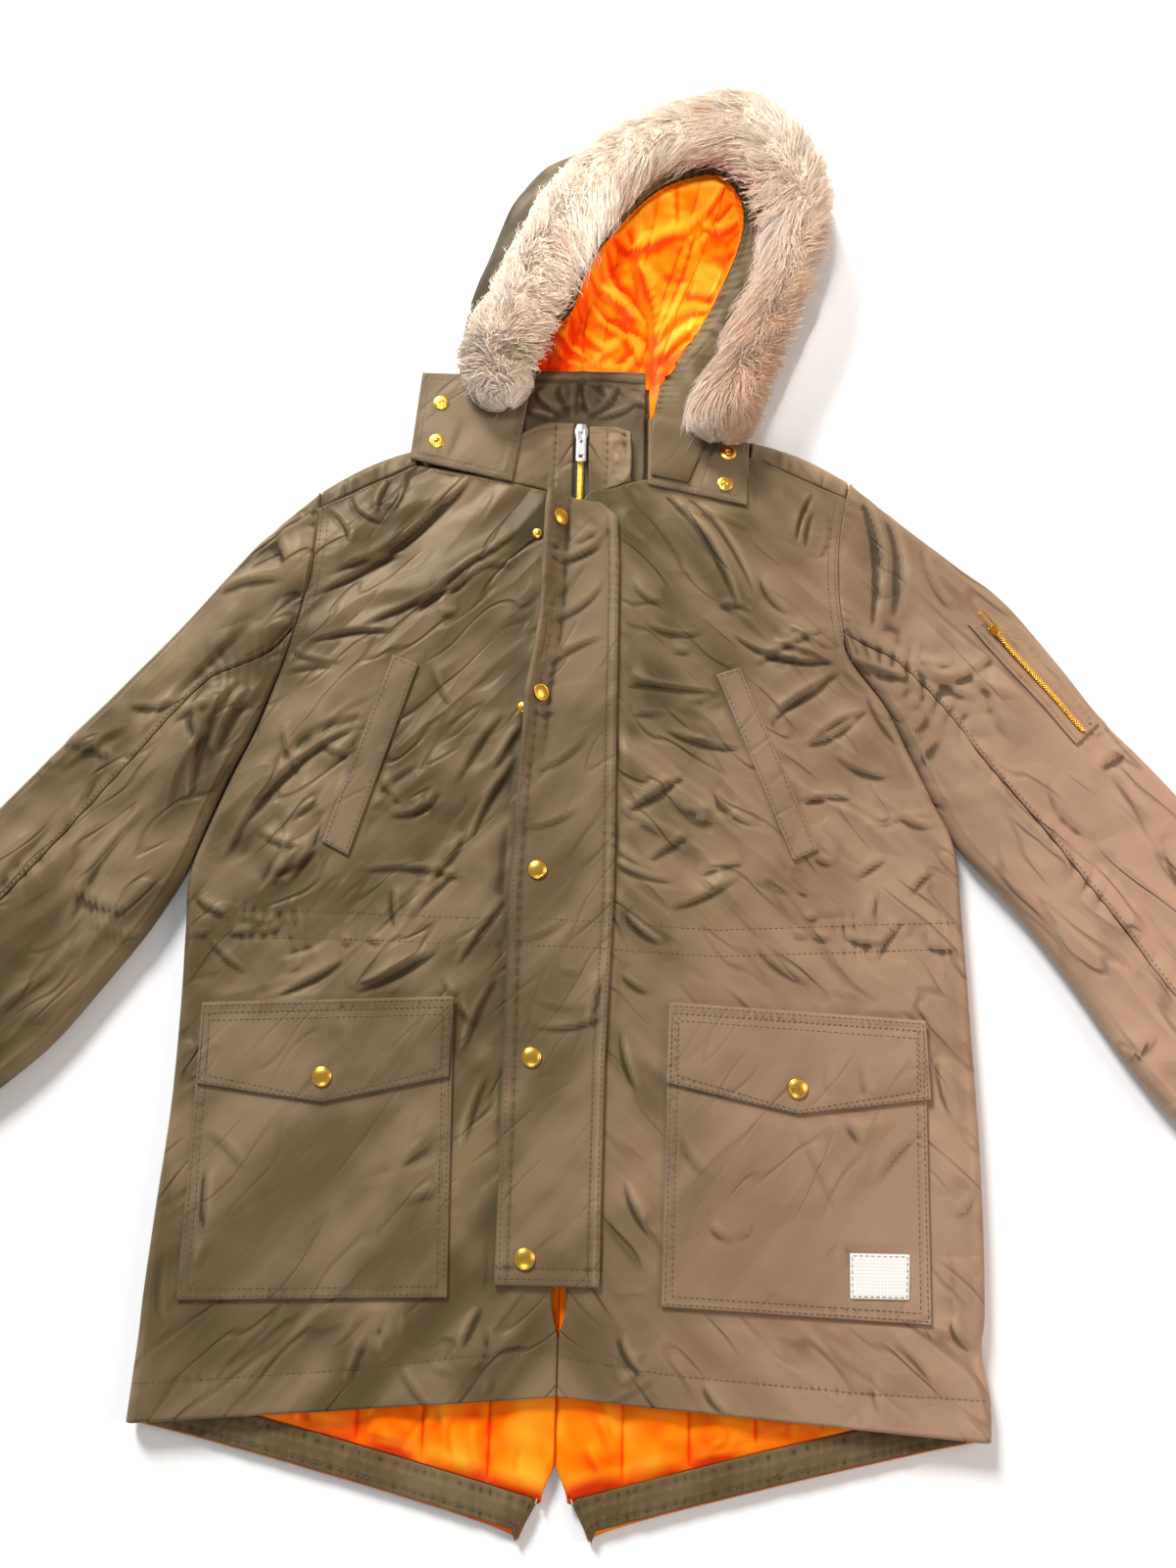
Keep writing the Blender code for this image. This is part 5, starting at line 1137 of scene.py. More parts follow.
stormLook = {
    "wall": 2.6, "rows": 250,
    "reach": 19.0, "curve": 1.15,          # how the free edge lifts: over this width, and how sharply
    "stitches": (3.5, 9.5), "hem": 86,     # grooves beside the free edge, and across the foot
}
stormCreases = (
    crinkles(73, (-36, 28, 470, 715), 12, 0.5, 0.8, 0.9) + crinkles(74, (-40, 26, 90, 470), 6, 0.7, 0.8, 0.8)
    + [(-20, 655, 24, 690, 4, 2.2, 4), (-26, 600, 20, 640, 4.5, 2, 5), (-28, 560, 24, 590, 4, 1.8, -4),
       (-34, 470, 10, 500, 4, 1.6, 3), (-40, 420, 6, 440, 3.6, 1.4, 3), (-42, 330, 0, 352, 3.4, 1.2, 3)])


def stormRise(y, x):
    # how far the flap lifts toward its free edge
    near = np.clip(stormEdge(y, 1) + stormLook["reach"] - x, 0, None) / stormLook["reach"]
    return stormEdge(y, 3) * near ** stormLook["curve"]


def stormPiece():
    levels, across = np.linspace(722, 74, four(stormLook["rows"])), np.linspace(0, 1, 33)
    y, u = np.meshgrid(levels, across, indexing="ij")
    free, sewn = stormEdge(y, 1), stormEdge(y, 2)
    x = mix(free, sewn, u)
    z = flapTop + stormRise(y, x)
    y = y - np.interp(y, [705, 722], [0, 10]) * (x - free) / 60     # the top edge is cut on a slant
    fromFree, fromSewn = x - free, sewn - x
    z += pucker(x, y, [(38, 720), (37, 560), (36, 377), (31, 207), (30, 70)], 8.5, 0.6, 6.0, 0.0, 71)
    z += 0.8 * hump(fromSewn - 4, 2.8) - 0.5 * hump(fromSewn - 9, 2.0)
    inner, outer = stormLook["stitches"]
    z += 0.6 * hump(fromFree - inner, 3.0) - 0.25 * hump(fromFree - outer, 2.2)
    z -= 0.8 * hump(y - stormLook["hem"], 1.5)
    wave = np.sin(y * 0.62 + 2.4 * valueNoise(x, y, 26, 72))
    z += wave * (0.1 + 0.1 * smooth(y, 420, 560)) * np.exp(-np.abs(fromFree - 10) / 7)
    z += 1.2 * creaseHeight(x, y, stormCreases) * smooth(np.minimum(fromFree, fromSewn), 2, 9)
    z = np.maximum(z, lay + gap + 1.6)
    sew("storm_flap_cloth", world(x, y, z), stormLook["wall"], patchNylon, "storm_flap",
        edge=1.2, lined=False)


pocketCreases = {
    "left": crinkles(84, (90, 270, 65, 205), 5, 0.9, 0.8, 1.3)
            + [(268, 190, 230, 150, 5, 1.6, 4), (90, 190, 120, 150, 5, 1.4, 3),
               (265, 90, 240, 70, 4, 1.2, 2), (150, 80, 190, 70, 5, 1.0, 3)],
    "right": crinkles(85, (-270, -95, 65, 205), 5, -0.8, 0.8, 1.3)
             + [(-270, 180, -235, 150, 5, 1.6, -4), (-95, 185, -130, 150, 5, 1.4, 3)],
}
flapCreases = {"left": crinkles(86, (90, 270, 215, 275), 5, 1.1, 0.6, 0.9),
               "right": crinkles(87, (-275, -95, 215, 275), 5, -1.1, 0.6, 0.9)}
pocketLook = {"puff": 1.1, "flapPuff": 0.7, "flapWall": 2.0, "binding": 5.5, "snapFlat": (7.5, 13)}


def pocketOutline(side):
    (tx, ty), (ux, uy) = pockets[side]["top"]
    near, far = pockets[side]["bottom"]
    return ((tx, ty - 6), (ux, uy - 6), far, near)


def flapOutline(side):
    inner, point, outer = pockets[side]["flap"]
    return (*pockets[side]["top"], outer, point, inner)


def pocketPiece(side):
    corners = pocketOutline(side)
    inner, point, outer = pockets[side]["flap"]
    base = overFront + patchThick
    x, y = quadGrid(corners, 65, 69)
    flapLow = np.interp(np.abs(x), [abs(inner[0]), abs(point[0]), abs(outer[0])],
                        [inner[1], point[1], outer[1]])
    away = -outside(x, y, corners)
    shown = smooth(flapLow - y, 2, 14)
    rise = creaseHeight(x, y, pocketCreases[side], 3.8)
    z = base + (pocketLook["puff"] * smooth(away, 6, 40) * shown + rise * smooth(away, 7, 14) * shown)
    z += pucker(x, y, closed(insetCorners(corners, pocketLook["binding"])), 7.5, 0.4, 5.0, 0.35, 81) * shown
    if side == "left":     # the label lies flat on this one
        z = np.minimum(z, mix(base, z, smooth(outside(x, y, labelCorners), 1, 8)))
    sew(f"pocket_cloth_{side}", world(x, y, z), patchThick - 0.2, patchNylon, f"pocket_{side}",
        edge=1.0)


def pocketFlapPiece(side):
    outline = flapOutline(side)
    (tx, ty), (ux, uy), outer, point, inner = outline
    u, v = np.meshgrid(np.linspace(0, 1, 69), np.linspace(0, 1, 25))
    low = [np.where(u < 0.5, mix(inner[k], point[k], u * 2), mix(point[k], outer[k], u * 2 - 1))
           for k in (0, 1)]
    x, y = xyMix((mix(tx, ux, u), mix(ty, uy, u)), low, v)
    away = -outside(x, y, outline)
    base = overFront + patchThick + gap
    z = base + patchThick + pocketLook["flapPuff"] * smooth(away, 4, 22)
    z += creaseHeight(x, y, flapCreases[side], 3.8) * smooth(away, 6, 12)
    z += pucker(x, y, closed(insetCorners(outline, pocketLook["binding"])), 7.0, 0.4, 5.0, 0.35, 83)
    z = np.maximum(z, base + 1.6)
    snapX, snapY = pockets[side]["snap"]
    z = mix(base + patchThick, z, smooth(np.hypot(x - snapX, y - snapY), *pocketLook["snapFlat"]))
    sew(f"pocket_flap_cloth_{side}", world(x, y, z), pocketLook["flapWall"], patchNylon,
        f"pocket_flap_{side}", edge=1.0)


def patchPiece(name, node, corners, thick, seed, puff=0.5, creased=1.0, inset=5.0):
    wide, long = [math.dist(corners[0], corners[k]) for k in (1, 3)]
    x, y = quadGrid(corners, four(max(wide / 2.6, 9)), four(max(long / 2.8, 9)))
    away = -outside(x, y, corners)
    (left, right), (low, high) = [(min(row), max(row)) for row in zip(*corners)]
    rows = crinkles(seed, (left, right, low, high), int(wide * long / 1400 * creased), 0.9, 0.9)
    z = overFront + thick + puff * smooth(away, 3, 14)
    z += creaseHeight(x, y, rows) * smooth(away, inset + 1, inset + 6)
    z += pucker(x, y, closed(insetCorners(corners, inset)), 7.0, 0.35, 4.5, 0.3, seed + 1)
    sew(name, world(x, y, z), thick - 0.2, patchNylon, node, edge=0.9, lined=False)


print("outlines ready")


collarLook = {    # how far from the zip each half shows, and how much lower it ends
    "left": {"end": 45.0, "lower": 3, "crumple": 1.9, "seed": 91},
    "right": {"end": 78.0, "lower": 0, "crumple": 1.2, "seed": 92},
}
collarFolds = [   # folds that fan out from below the zip
    (2, 842, 8, 808, 5, 3, 3), (30, 838, 6, 806, 5, 2.8, -4), (48, 822, 10, 804, 4, 2.4, -3),
    (-18, 838, -8, 808, 4, 2.6, 3), (-40, 830, -14, 806, 5, 2.8, 4), (-50, 812, -20, 804, 4, 2.2, 2),
    (16, 842, 30, 816, 4, 2.2, 2), (-30, 812, -4, 820, 4, 2, 2),
]


def collarFrontPiece(side):
    sign = sides[side]
    look = collarLook[side]
    end = look["end"]
    u, v = np.meshgrid(np.linspace(0, 1, four((end - 7) / 1.6)), np.linspace(0, 1, 33), indexing="ij")
    x = mix(7.0, end, u)
    low = np.array([[frontNeck(side, 1 - a / body[side]["neck"][0])[1] + 0.7 for a in row] for row in x])
    past = np.maximum(0.0, x - 26) / 26
    high = collarTop - look["lower"] - 11 * np.minimum(past, 1.2) ** 1.6
    y = mix(low, high, v)
    z = 16.4 + 0.9 * smooth(x, 24, 40)
    rows = crinkles(look["seed"], (8, end, 716, 792), 16, 0.4, 0.9, 0.6)
    z = z + creaseHeight(x, y, rows) * look["crumple"] * smooth(x, 24, 32)
    z = z - 0.7 * hump(x - 23.5, 1.2) - 0.5 * hump(high - y - 6, 1.2)     # grooves of two seams
    z = z + 0.35 * np.sin(y * 0.8) * np.exp(-np.abs(x - 22) / 4)
    sew(f"collar_stand_{side}", world(sign * x, y, z), 3.0, shellNylon, f"collar_front_{side}",
        edge=1.0)


def collarBackPiece():
    x, y = quadGrid(((-54, 853), (57, 853), (57, 740), (-54, 740)), 57, 57)
    seen = smooth(y, 798, 810)
    z = 11.0 + 0.6 * seen
    rows = crinkles(95, (-50, 54, 800, 845), 14, 0.9, 0.7, 0.8) + collarFolds
    z = z + creaseHeight(x, y, rows) * seen * 1.5
    z = z + 1.4 * seen * hump(y - 847, 3.0) - 0.9 * seen * hump(y - 841, 1.5)
    z = z + 1.2 * seen * hump((x - 3) + (y - 845) * 0.3, 4.0) * smooth(y, 806, 830)
    z = np.where(y < 798, np.minimum(z, 11.0), z)
    sew("collar_inside", world(x, y, z), 2.6, collarNylon, "collar_back",
        edge=1.0, lined=False)


hoodStations = (   # rim, seam of facing and lining, widest point outside
    (-74, 806, 10, -60, 820, 10, -112, 838), (-78, 852, 14, -64, 853, 13, -113, 868),
    (-68, 876, 30, -51, 872, 20, -109, 903), (-52, 906, 37, -34, 886, 26, -100, 940),
    (-34, 940, 41, -12, 903, 31, -87, 978), (-10, 986, 42, 3, 950, 32, -68, 1034),
    (22, 1027, 41, 32, 999, 31, -28, 1083), (66, 1064, 37, 69, 1042, 28, 40, 1108),
    (110, 1084, 33, 110, 1062, 25, 105, 1114), (150, 1084, 31, 134, 1058, 23, 160, 1108),
    (176, 1056, 29, 148, 1026, 21, 198, 1076), (192, 1004, 27, 145, 991, 20, 214, 1012),
    (190, 960, 26, 131, 950, 19, 211, 960), (170, 908, 24, 112, 906, 18, 192, 905),
    (152, 871, 22, 92, 871, 18, 176, 866), (136, 832, 20, 72, 836, 19, 161, 828),
    (126, 806, 20, 65, 806, 20, 152, 802),
)
facingEnd = ((124, 786, 64, 801), (118, 772, 62, 786), (108, 752, 62, 762),   # the facing's last rows,
             (100, 734, 62.5, 742))                                        # which run down the tab
hoodLast = len(hoodStations) - 1
creaseStation = 9
hoodInside = (50, 930, 25)
hoodLook = {
    "wall": 3.6, "ripple": 1.6,       # the shell's cloth, and how far it ripples
    "liningWall": 1.8, "puff": 2.0,   # the lining's cloth, and how its wadding swells
    "crease": 1.2, "flap": 6.5,       # how strongly it creases, and the height of its turned fold
}


def shellSection(place, count):
    # from the rim over the hood's side down to the floor, and on under it to the neck
    rx, ry, rz, _, _, _, ox, oy = splineRow(hoodStations, place)
    nx = mix(-122.0, 122.0, place / hoodLast)
    neck = (nx, float(backNeck(nx)) + 2.0)
    out = (ox, oy, rz * 0.42)
    inward = math.hypot(neck[0] - ox, neck[1] - oy)
    foot = (*xyMix((ox, oy), neck, min(12.0, inward * 0.3) / max(inward, 1.0)), 0.0)
    high = (mix(rx, ox, 0.5), mix(ry, oy, 0.5), mix(rz, out[2], 0.5) + min(5.0, rz * 0.12))
    low = (mix(ox, foot[0], 0.25), mix(oy, foot[1], 0.25), out[2] * 0.35)
    points = [splineRow(((rx, ry, rz), high, out, low, foot), p) for p in np.linspace(0, 4, count)]
    points += [(*xyMix(foot, neck, s), 0.0) for s in np.linspace(0, 1, 13)[1:]]
    points = np.array(points)
    points[:, 2] = np.maximum(points[:, 2], 0.0)
    return points


def hoodShellPieces():
    part = 0.008      # of a station, left open between two panels
    for name, node, first, end, count in (("hood_shell_right", "hood_side_right", 0, 7 - part, 89),
                                          ("hood_shell_crown", "hood_crown", 7 + part, 10 - part, 41),
                                          ("hood_shell_left", "hood_side_left", 10 + part, hoodLast, 69)):
        x, y, z = columnsOf([shellSection(p, 29) for p in np.linspace(first, end, count)])
        up = smooth(z, 1, 6)
        z = z + hoodLook["ripple"] * up * valueNoise(x, y, 22, 101) + 0.5 * up * valueNoise(x, y, 11, 102)
        sew(name, world(x, y, z), hoodLook["wall"], shellNylon, node, inside=hoodInside, edge=1.0,
            lined=False)


def facingPieces():
    part = 0.03
    for side, first, end, count in (("right", 1.0, 8 - part, 105), ("left", 8 + part, hoodLast, 109)):
        rows = []
        for place in np.linspace(first, end, count):
            rx, ry, rz, bx, by, bz, _, _ = splineRow(hoodStations, place)
            long = math.hypot(bx - rx, by - ry)
            share = np.linspace(min(8.0 / long, 0.35), 1 - 0.3 / long, 17)
            z = mix(rz, bz, share) + 1.5 * np.sin(np.pi * share)
            z = z - 0.7 * hump((1 - share) * long - 5, 1.4)
            z = z + 0.6 * np.sin(place * 30) * np.exp(-((1 - share) * long - 3) / 9)
            rows.append(np.stack([mix(rx, bx, share), mix(ry, by, share), z], -1))
        if side == "left":
            start, share = rows[-1], np.linspace(0.13, 1.0, 17)
            over = overFront + tabThick + gap + 1.9
            ends = [np.stack([mix(ax, bx, share), mix(ay, by, share), share * 0 + over], -1)
                    for ax, ay, bx, by in facingEnd]
            rows += [mix(a, b, t) for a, b in zip([start] + ends, ends) for t in (0.5, 1.0)]
        x, y, z = columnsOf(rows)
        calm = np.where((y < 800) & (x > 0), 0.0, 1.0)
        z = z + calm * (0.9 * valueNoise(x, y, 14, 103)
                        + creaseHeight(x, y, crinkles(104, (70, 190, 810, 1040), 12, 0.6, 0.7, 0.9)))
        sew(f"hood_facing_cloth_{side}", world(x, y, z), 1.8, facingNylon, f"hood_facing_{side}",
            edge=0.5, lined=False)


def liningSection(place, count):
    # from the facing down into the hood, with the distance from the seam
    _, _, _, bx, by, bz, _, _ = splineRow(hoodStations, place)
    if place <= creaseStation:
        end = (mix(-66.0, 61.0, (place - 1) / (creaseStation - 1)), 838.0)
    else:
        end = (61.2, mix(838.0, 797.0, ((place - creaseStation) / (hoodLast - creaseStation)) ** 3))
    long = math.hypot(end[0] - bx, end[1] - by)
    reach = min(34.0, long * 0.7)
    depth = bz - 7.2
    if place > creaseStation:
        depth = min(depth, 0.6 * reach)
    if place <= creaseStation and by > 866:
        reach = min(reach, long * (by - 856) / (by - end[1]))
    near = int(count * 0.42)
    share = np.linspace(0, 1, near)
    fall = np.where(share < 0.1, 0.0, share * share * (3 - 2 * share))
    along = np.concatenate([mix(0.6, reach, share) / long,
                            mix(reach / long, 1.0, np.linspace(0, 1, count - near + 1)[1:])])
    z = np.concatenate([bz - depth * fall, np.full(count - near, bz - depth)])
    return np.stack([mix(bx, end[0], along), mix(by, end[1], along), z, along * long], -1)


liningFolds = [   # folds of the slack lining, which gather where the collar holds it
    (16, 984, 61, 909, 7, -5, 5), (40, 989, 60, 936, 5, 3.6, -4), (-2, 952, 46, 912, 6, 4, -5),
    (-11, 934, -2, 904, 5, -3, 3), (7, 930, 54, 890, 6, -4, 4), (12, 864, 35, 886, 5, 3, -3),
    (26, 861, 48, 882, 4, -2.6, 3), (-24, 864, -13, 897, 5, 3, 3), (40, 910, 54, 864, 5, 3.4, 3),
    (-30, 884, 6, 868, 5, 3, -3), (0, 900, 30, 876, 5, 3, 4), (30, 960, 52, 915, 5, 3, 3),
    (123, 926, 66, 886, 7, 5, 13), (119, 912, 74, 872, 5, 3.4, 6), (148, 1016, 108, 1020, 6, 4, -3),
    (139, 1034, 104, 1000, 6, -3, 3), (100, 960, 82, 900, 5, 2.6, 3), (130, 970, 112, 935, 5, 3, -3),
]
quiltLine = ((103, 1006), (91, 960), (76, 915), (66, 888))
flapEdge = ((18, 984), (46, 988), (73, 1001), (98, 1014), (112, 1028), (124, 1042), (135, 1055))
flapQuilt = ((84, 1046), (86, 1024), (86, 1003))
centreCrease = ((61, 838), (62, 894), (60, 924), (52, 957), (42, 993))


def liningPieces():
    for side, first, end, count in (("right", 1.0, creaseStation, 137),
                                    ("left", creaseStation, hoodLast, 105)):
        rows, stations = [], []
        for place in np.linspace(first, end, count):
            rows.append(liningSection(place, 61))
            stations.append(abs(math.sin(math.pi * place)) ** 0.7 if side == "right" else 0.6)
        x, y, z, along = columnsOf(rows)
        inner = smooth(along, 3, 15)
        low = np.where(x < 61, np.clip((y - 846) / 16, 0, 1), np.clip((y - 806) / 30, 0, 1))
        swell = hoodLook["puff"] * np.array(stations)[:, None] * inner
        z = z + (swell + 0.9 * valueNoise(x, y, 11, 111) * inner) * low
        loose = crinkles(112, (-50, 150, 860, 1050), 20, -1.2, 0.5, 1.0)
        z = z + creaseHeight(x, y, liningFolds + loose) * inner * low * hoodLook["crease"]
        for line, deep, wide in ((quiltLine, 3.0, 2.6), (flapQuilt, 2.0, 2.0), (centreCrease, 5.0, 5.0)):
            away, run, _ = nearLine(x, y, line)
            pull = 0.5 * np.sin(run * 0.7) * np.exp(-away / 7)
            z = z - (deep * np.exp(-(away / wide) ** 1.3) - pull) * inner * low
        away, _, hand = nearLine(x, y, flapEdge)
        z = z + hoodLook["flap"] * smooth(-hand * away, -1.8, 1.8) * inner * (x > 8) * smooth(y, 960, 985)
        z = z + 0.6 * np.sin(y * 0.9 + x * 0.4) * np.exp(-along / 6) * low
        z = np.maximum(z, 6.6)
        z = np.where(y < 852, np.minimum(z, np.where(x < 61, 9.3, 60)), z)
        sew(f"hood_lining_cloth_{side}", world(x, y, z), hoodLook["liningWall"], liningSatin,
            f"hood_lining_{side}", edge=0.1, lined=False)


tailLook = {
    "channel": 48.0,                 # between two lines of quilting
    "puff": 3.4, "facing": 25.4,     # the facing's depth with its gap
    "linings": 141, "facings": 120,  # rows of each grid
}


def tailLiningPiece(side, sign):
    floorZ = wall + gap
    rows = []
    for k in np.linspace(0.0, 5.0, tailLook["linings"]):
        x = k * tailLook["channel"]
        low = float(tailEdge(x)) + tailLook["facing"]
        shown = max(2.0 - hemDrop * x / sideX, low + 3.0)
        ys = np.concatenate([[96.0, 60.0, 30.0], mix(shown + 8, low, np.linspace(0, 1, 25))[:22]])
        ys[-1] = low
        x = max(x, 0.3)
        xs = np.full(25, x)
        if k < 0.27:     # the slit of the fishtail cuts this corner off
            xs = x + np.clip((ventTop - ys) / 23.0, 0, 1) * (12.8 - x) * (1 - k / 0.27)
        puff = tailLook["puff"] * abs(math.sin(math.pi * k)) ** 0.6 * np.clip((shown - low) / 20, 0, 1)
        inner = smooth(ys - low, 1, 14) * smooth(shown + 6 - ys, 0, 6)
        rows.append(np.stack([xs, ys, floorZ + 1.4 + puff * inner], -1))
    x, y, z = columnsOf(rows)
    free = smooth(y - tailEdge(x) - tailLook["facing"], 1, 8) * (y < 4)
    z = z + np.maximum(0.8 * valueNoise(x, y, 12, 121 + int(sign)), -0.8) * free
    loose = crinkles(122, (-235, 235, -66, -6), 24, 1.3, 0.5, 0.9)
    z = np.maximum(z + creaseHeight(sign * x, y, loose) * free, floorZ + 1.0)
    sew(f"tail_lining_cloth_{side}", world(sign * x, y, z), 1.3, liningSatin, f"tail_lining_{side}",
        edge=0.7, lined=False)


def tailFacingPiece(side, sign):
    rows = []
    share = np.linspace(0, 1, 13)
    away = np.minimum(share, 1 - share) * 23.4
    for x in np.concatenate([[0.0], np.linspace(12, 296, tailLook["facings"])]):
        low, high = float(tailEdge(x)) + 1.2, float(tailEdge(x)) + 24.6
        a, b = (13.0, 27.0) if x == 0 else (max(x, 13.0 + x * 0.2), max(x, 27 + x * 0.1))
        z = wall + gap + 1.8 + 0.9 * smooth(away, 0, 8) - 0.7 * hump(away - 5, 1.4)
        z = z + 0.4 * math.sin(x * 0.8 + 2 * math.sin(x * 0.13)) * np.exp(-np.abs(away - 4) / 4)
        rows.append(np.stack([mix(a, b, share), mix(high, low, share), z], -1))
    x, y, z = columnsOf(rows)
    z = z + 0.5 * valueNoise(x, y, 9, 125)
    sew(f"tail_facing_cloth_{side}", world(sign * x, y, z), 1.6, facingNylon, f"tail_facing_{side}",
        edge=0.7, lined=False)


def geometryTree(name, sockets):
    # a tree with these inputs beside its geometry, what adds nodes to it, and its inputs' identifiers
    tree = bpy.data.node_groups.new(name, "GeometryNodeTree")
    for way in ("INPUT", "OUTPUT"):
        tree.interface.new_socket("Geometry", in_out=way, socket_type="NodeSocketGeometry")
    keys = [tree.interface.new_socket(label, in_out="INPUT", socket_type=kind).identifier
            for label, kind in sockets]
    return tree, partial(addNode, tree), keys


def closeTree(add, geometry, finish):
    real = add("RealizeInstances", {"Geometry": geometry})
    add("NodeGroupOutput", {"Geometry": add("SetMaterial", {"Geometry": real, "Material": finish})})


def strandTree(name, finish):
    # every line of the mesh becomes a tube as thick as its points' radius
    tree, add, keys = geometryTree(name, (("Sides", "NodeSocketInt"), ("Thickness", "NodeSocketFloat")))
    source = add("NodeGroupInput").outputs
    line = add("MeshToCurve", {"Mesh": source["Geometry"]})
    radius = add("InputNamedAttribute", {"Name": "radius"}, data_type="FLOAT")
    ring = add("CurvePrimitiveCircle", {"Resolution": source["Sides"], "Radius": source["Thickness"]})
    tube = add("CurveToMesh", {"Curve": line, "Profile Curve": ring, "Scale": radius, "Fill Caps": True})
    closeTree(add, tube, finish)
    return tree, keys


def teethTree(name, finish):
    # puts one tooth at every point, turned by the points' own angle
    tree, add, keys = geometryTree(name, (("Tooth size", "NodeSocketVector"),))
    source = add("NodeGroupInput").outputs
    block = add("MeshCube", {"Size": source["Tooth size"]})
    turn = add("InputNamedAttribute", {"Name": "turn"}, data_type="FLOAT_VECTOR")
    put = add("InstanceOnPoints", {"Points": source["Geometry"], "Instance": block, "Rotation": turn})
    closeTree(add, put, finish)
    return tree, keys


def grow(name, points, edges, numbers, tree, values, node=None, rounded=0.0):
    # points and lines become a plain mesh through a tree, whose own inputs take the values
    mesh = bpy.data.meshes.new(name)
    mesh.from_pydata(np.reshape(points, (-1, 3)).tolist(), edges, [])
    for key, row in numbers.items():
        kind, field = ("FLOAT_VECTOR", "vector") if key == "turn" else ("FLOAT", "value")
        mesh.attributes.new(key, kind, "POINT").data.foreach_set(field, np.ravel(row))
    piece = linked(name, mesh)
    group, keys = tree
    change = piece.modifiers.new("grow", "NODES")
    change.node_group = group
    for key, value in zip(keys, values):
        change[key] = value
    if rounded:
        edge = piece.modifiers.new("round", "BEVEL")
        edge.width, edge.segments = rounded, 2
    plainMesh(piece)
    piece.data.shade_smooth()
    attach(piece, "coat")
    if node:
        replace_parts(piece, node)
    return piece


def sweep(name, paths, numbers, tree, thick):
    # paths: lines x points x 3; numbers: one for each point
    lines, count = paths.shape[:2]
    index = np.arange(lines * count).reshape(lines, count)
    edges = np.stack([index[:, :-1], index[:, 1:]], -1).reshape(-1, 2).tolist()
    return grow(name, paths, edges, numbers, tree, (3, thick))


furRows = (   # outer edge, inner edge, height of the middle and half thickness
    (-86, 803, -47, 799, 34, 13), (-108, 838, -45, 822, 40, 19), (-108, 868, -36, 841, 52, 22),
    (-92, 914, -24, 866, 60, 22), (-62, 972, -11, 902, 67, 23), (-33, 1024, 5, 944, 67, 23),
    (4, 1068, 29, 984, 66, 24), (53, 1106, 62, 1028, 61, 23), (109, 1126, 106, 1048, 57, 24),
    (160, 1121, 131, 1047, 55, 24), (200, 1089, 150, 1020, 53, 24), (221, 1034, 161, 976, 51, 24),
    (218, 978, 158, 941, 49, 23), (199, 924, 140, 893, 46, 22), (183, 880, 127, 859, 44, 21),
    (169, 834, 104, 818, 42, 20), (157, 794, 97, 790, 39, 16), (147, 768, 100, 774, 35, 12),
)
furFlow = (   # place, then the hair's run along and across the trim, outer half and inner half
    (0, -0.7, 0.3, -0.8, -0.2), (1, 0.2, 0.85, 0.1, -0.8), (2, 0.6, 0.8, 0.5, -0.85),
    (4, 0.6, 0.75, 0.4, -0.9), (5.2, 0, 0.9, -0.3, -0.85), (6.5, -0.8, 0.5, -0.8, -0.5),
    (8, -0.95, 0.3, -0.95, -0.25), (10, -0.8, 0.5, -0.7, -0.4), (11, -0.45, 0.85, 0.2, -0.6),
    (12, -0.2, 0.95, 0.8, -0.4), (14, 0.1, 1, 0.8, -0.55), (15, 0.3, 0.9, 0.3, -0.95),
    (16, 0.6, 0.7, 0.4, -0.9), (17, 0.8, 0.5, 0.7, -0.6),
)
furLook = {
    "hairs": 8400,        # in each of the two pieces
    "long": (30.0, 52.0),
    "thick": 0.46,        # the hair itself is finer; this is as coarse as shows
    "core": 0.74,         # the dense pile under the hair, as a share of the trim
    "lock": 16,           # hairs that gather into one lock
    "heights": (23.0, 94.0),
}


def furPoint(place, angle, share):
    # points on the trim's section, shrunk to a share of it
    table = np.array(furRows, float)
    place = np.clip(place, 0, len(table) - 1.0001)
    row = np.array([splineRow(table, p) for p in np.atleast_1d(place)])
    ox, oy, ix, iy, midZ, thick = row.T
    half = np.hypot(ox - ix, oy - iy) / 2
    ax, ay = (ox - ix) / (2 * half), (oy - iy) / (2 * half)
    c, d = np.cos(angle), np.sin(angle)
    reach = np.sign(c) * np.abs(c) ** 0.8 * half * share
    rise = np.sign(d) * np.abs(d) ** 0.8 * thick * share
    return np.stack([(ox + ix) / 2 + ax * reach, (oy + iy) / 2 + ay * reach, midZ + rise], -1)


def drawnIn(place, angle):
    # the outer side of the trim lies short of the hood's edge up its right side
    band = np.interp(place, [0.0, 1.2, 2.6, 7.2, 8.8], [-0.3, -0.25, 0.9, 1.1, 0.0])
    return 1.0 - 0.3 * band * np.clip(np.cos(angle) + 0.3, 0.0, 1.0)


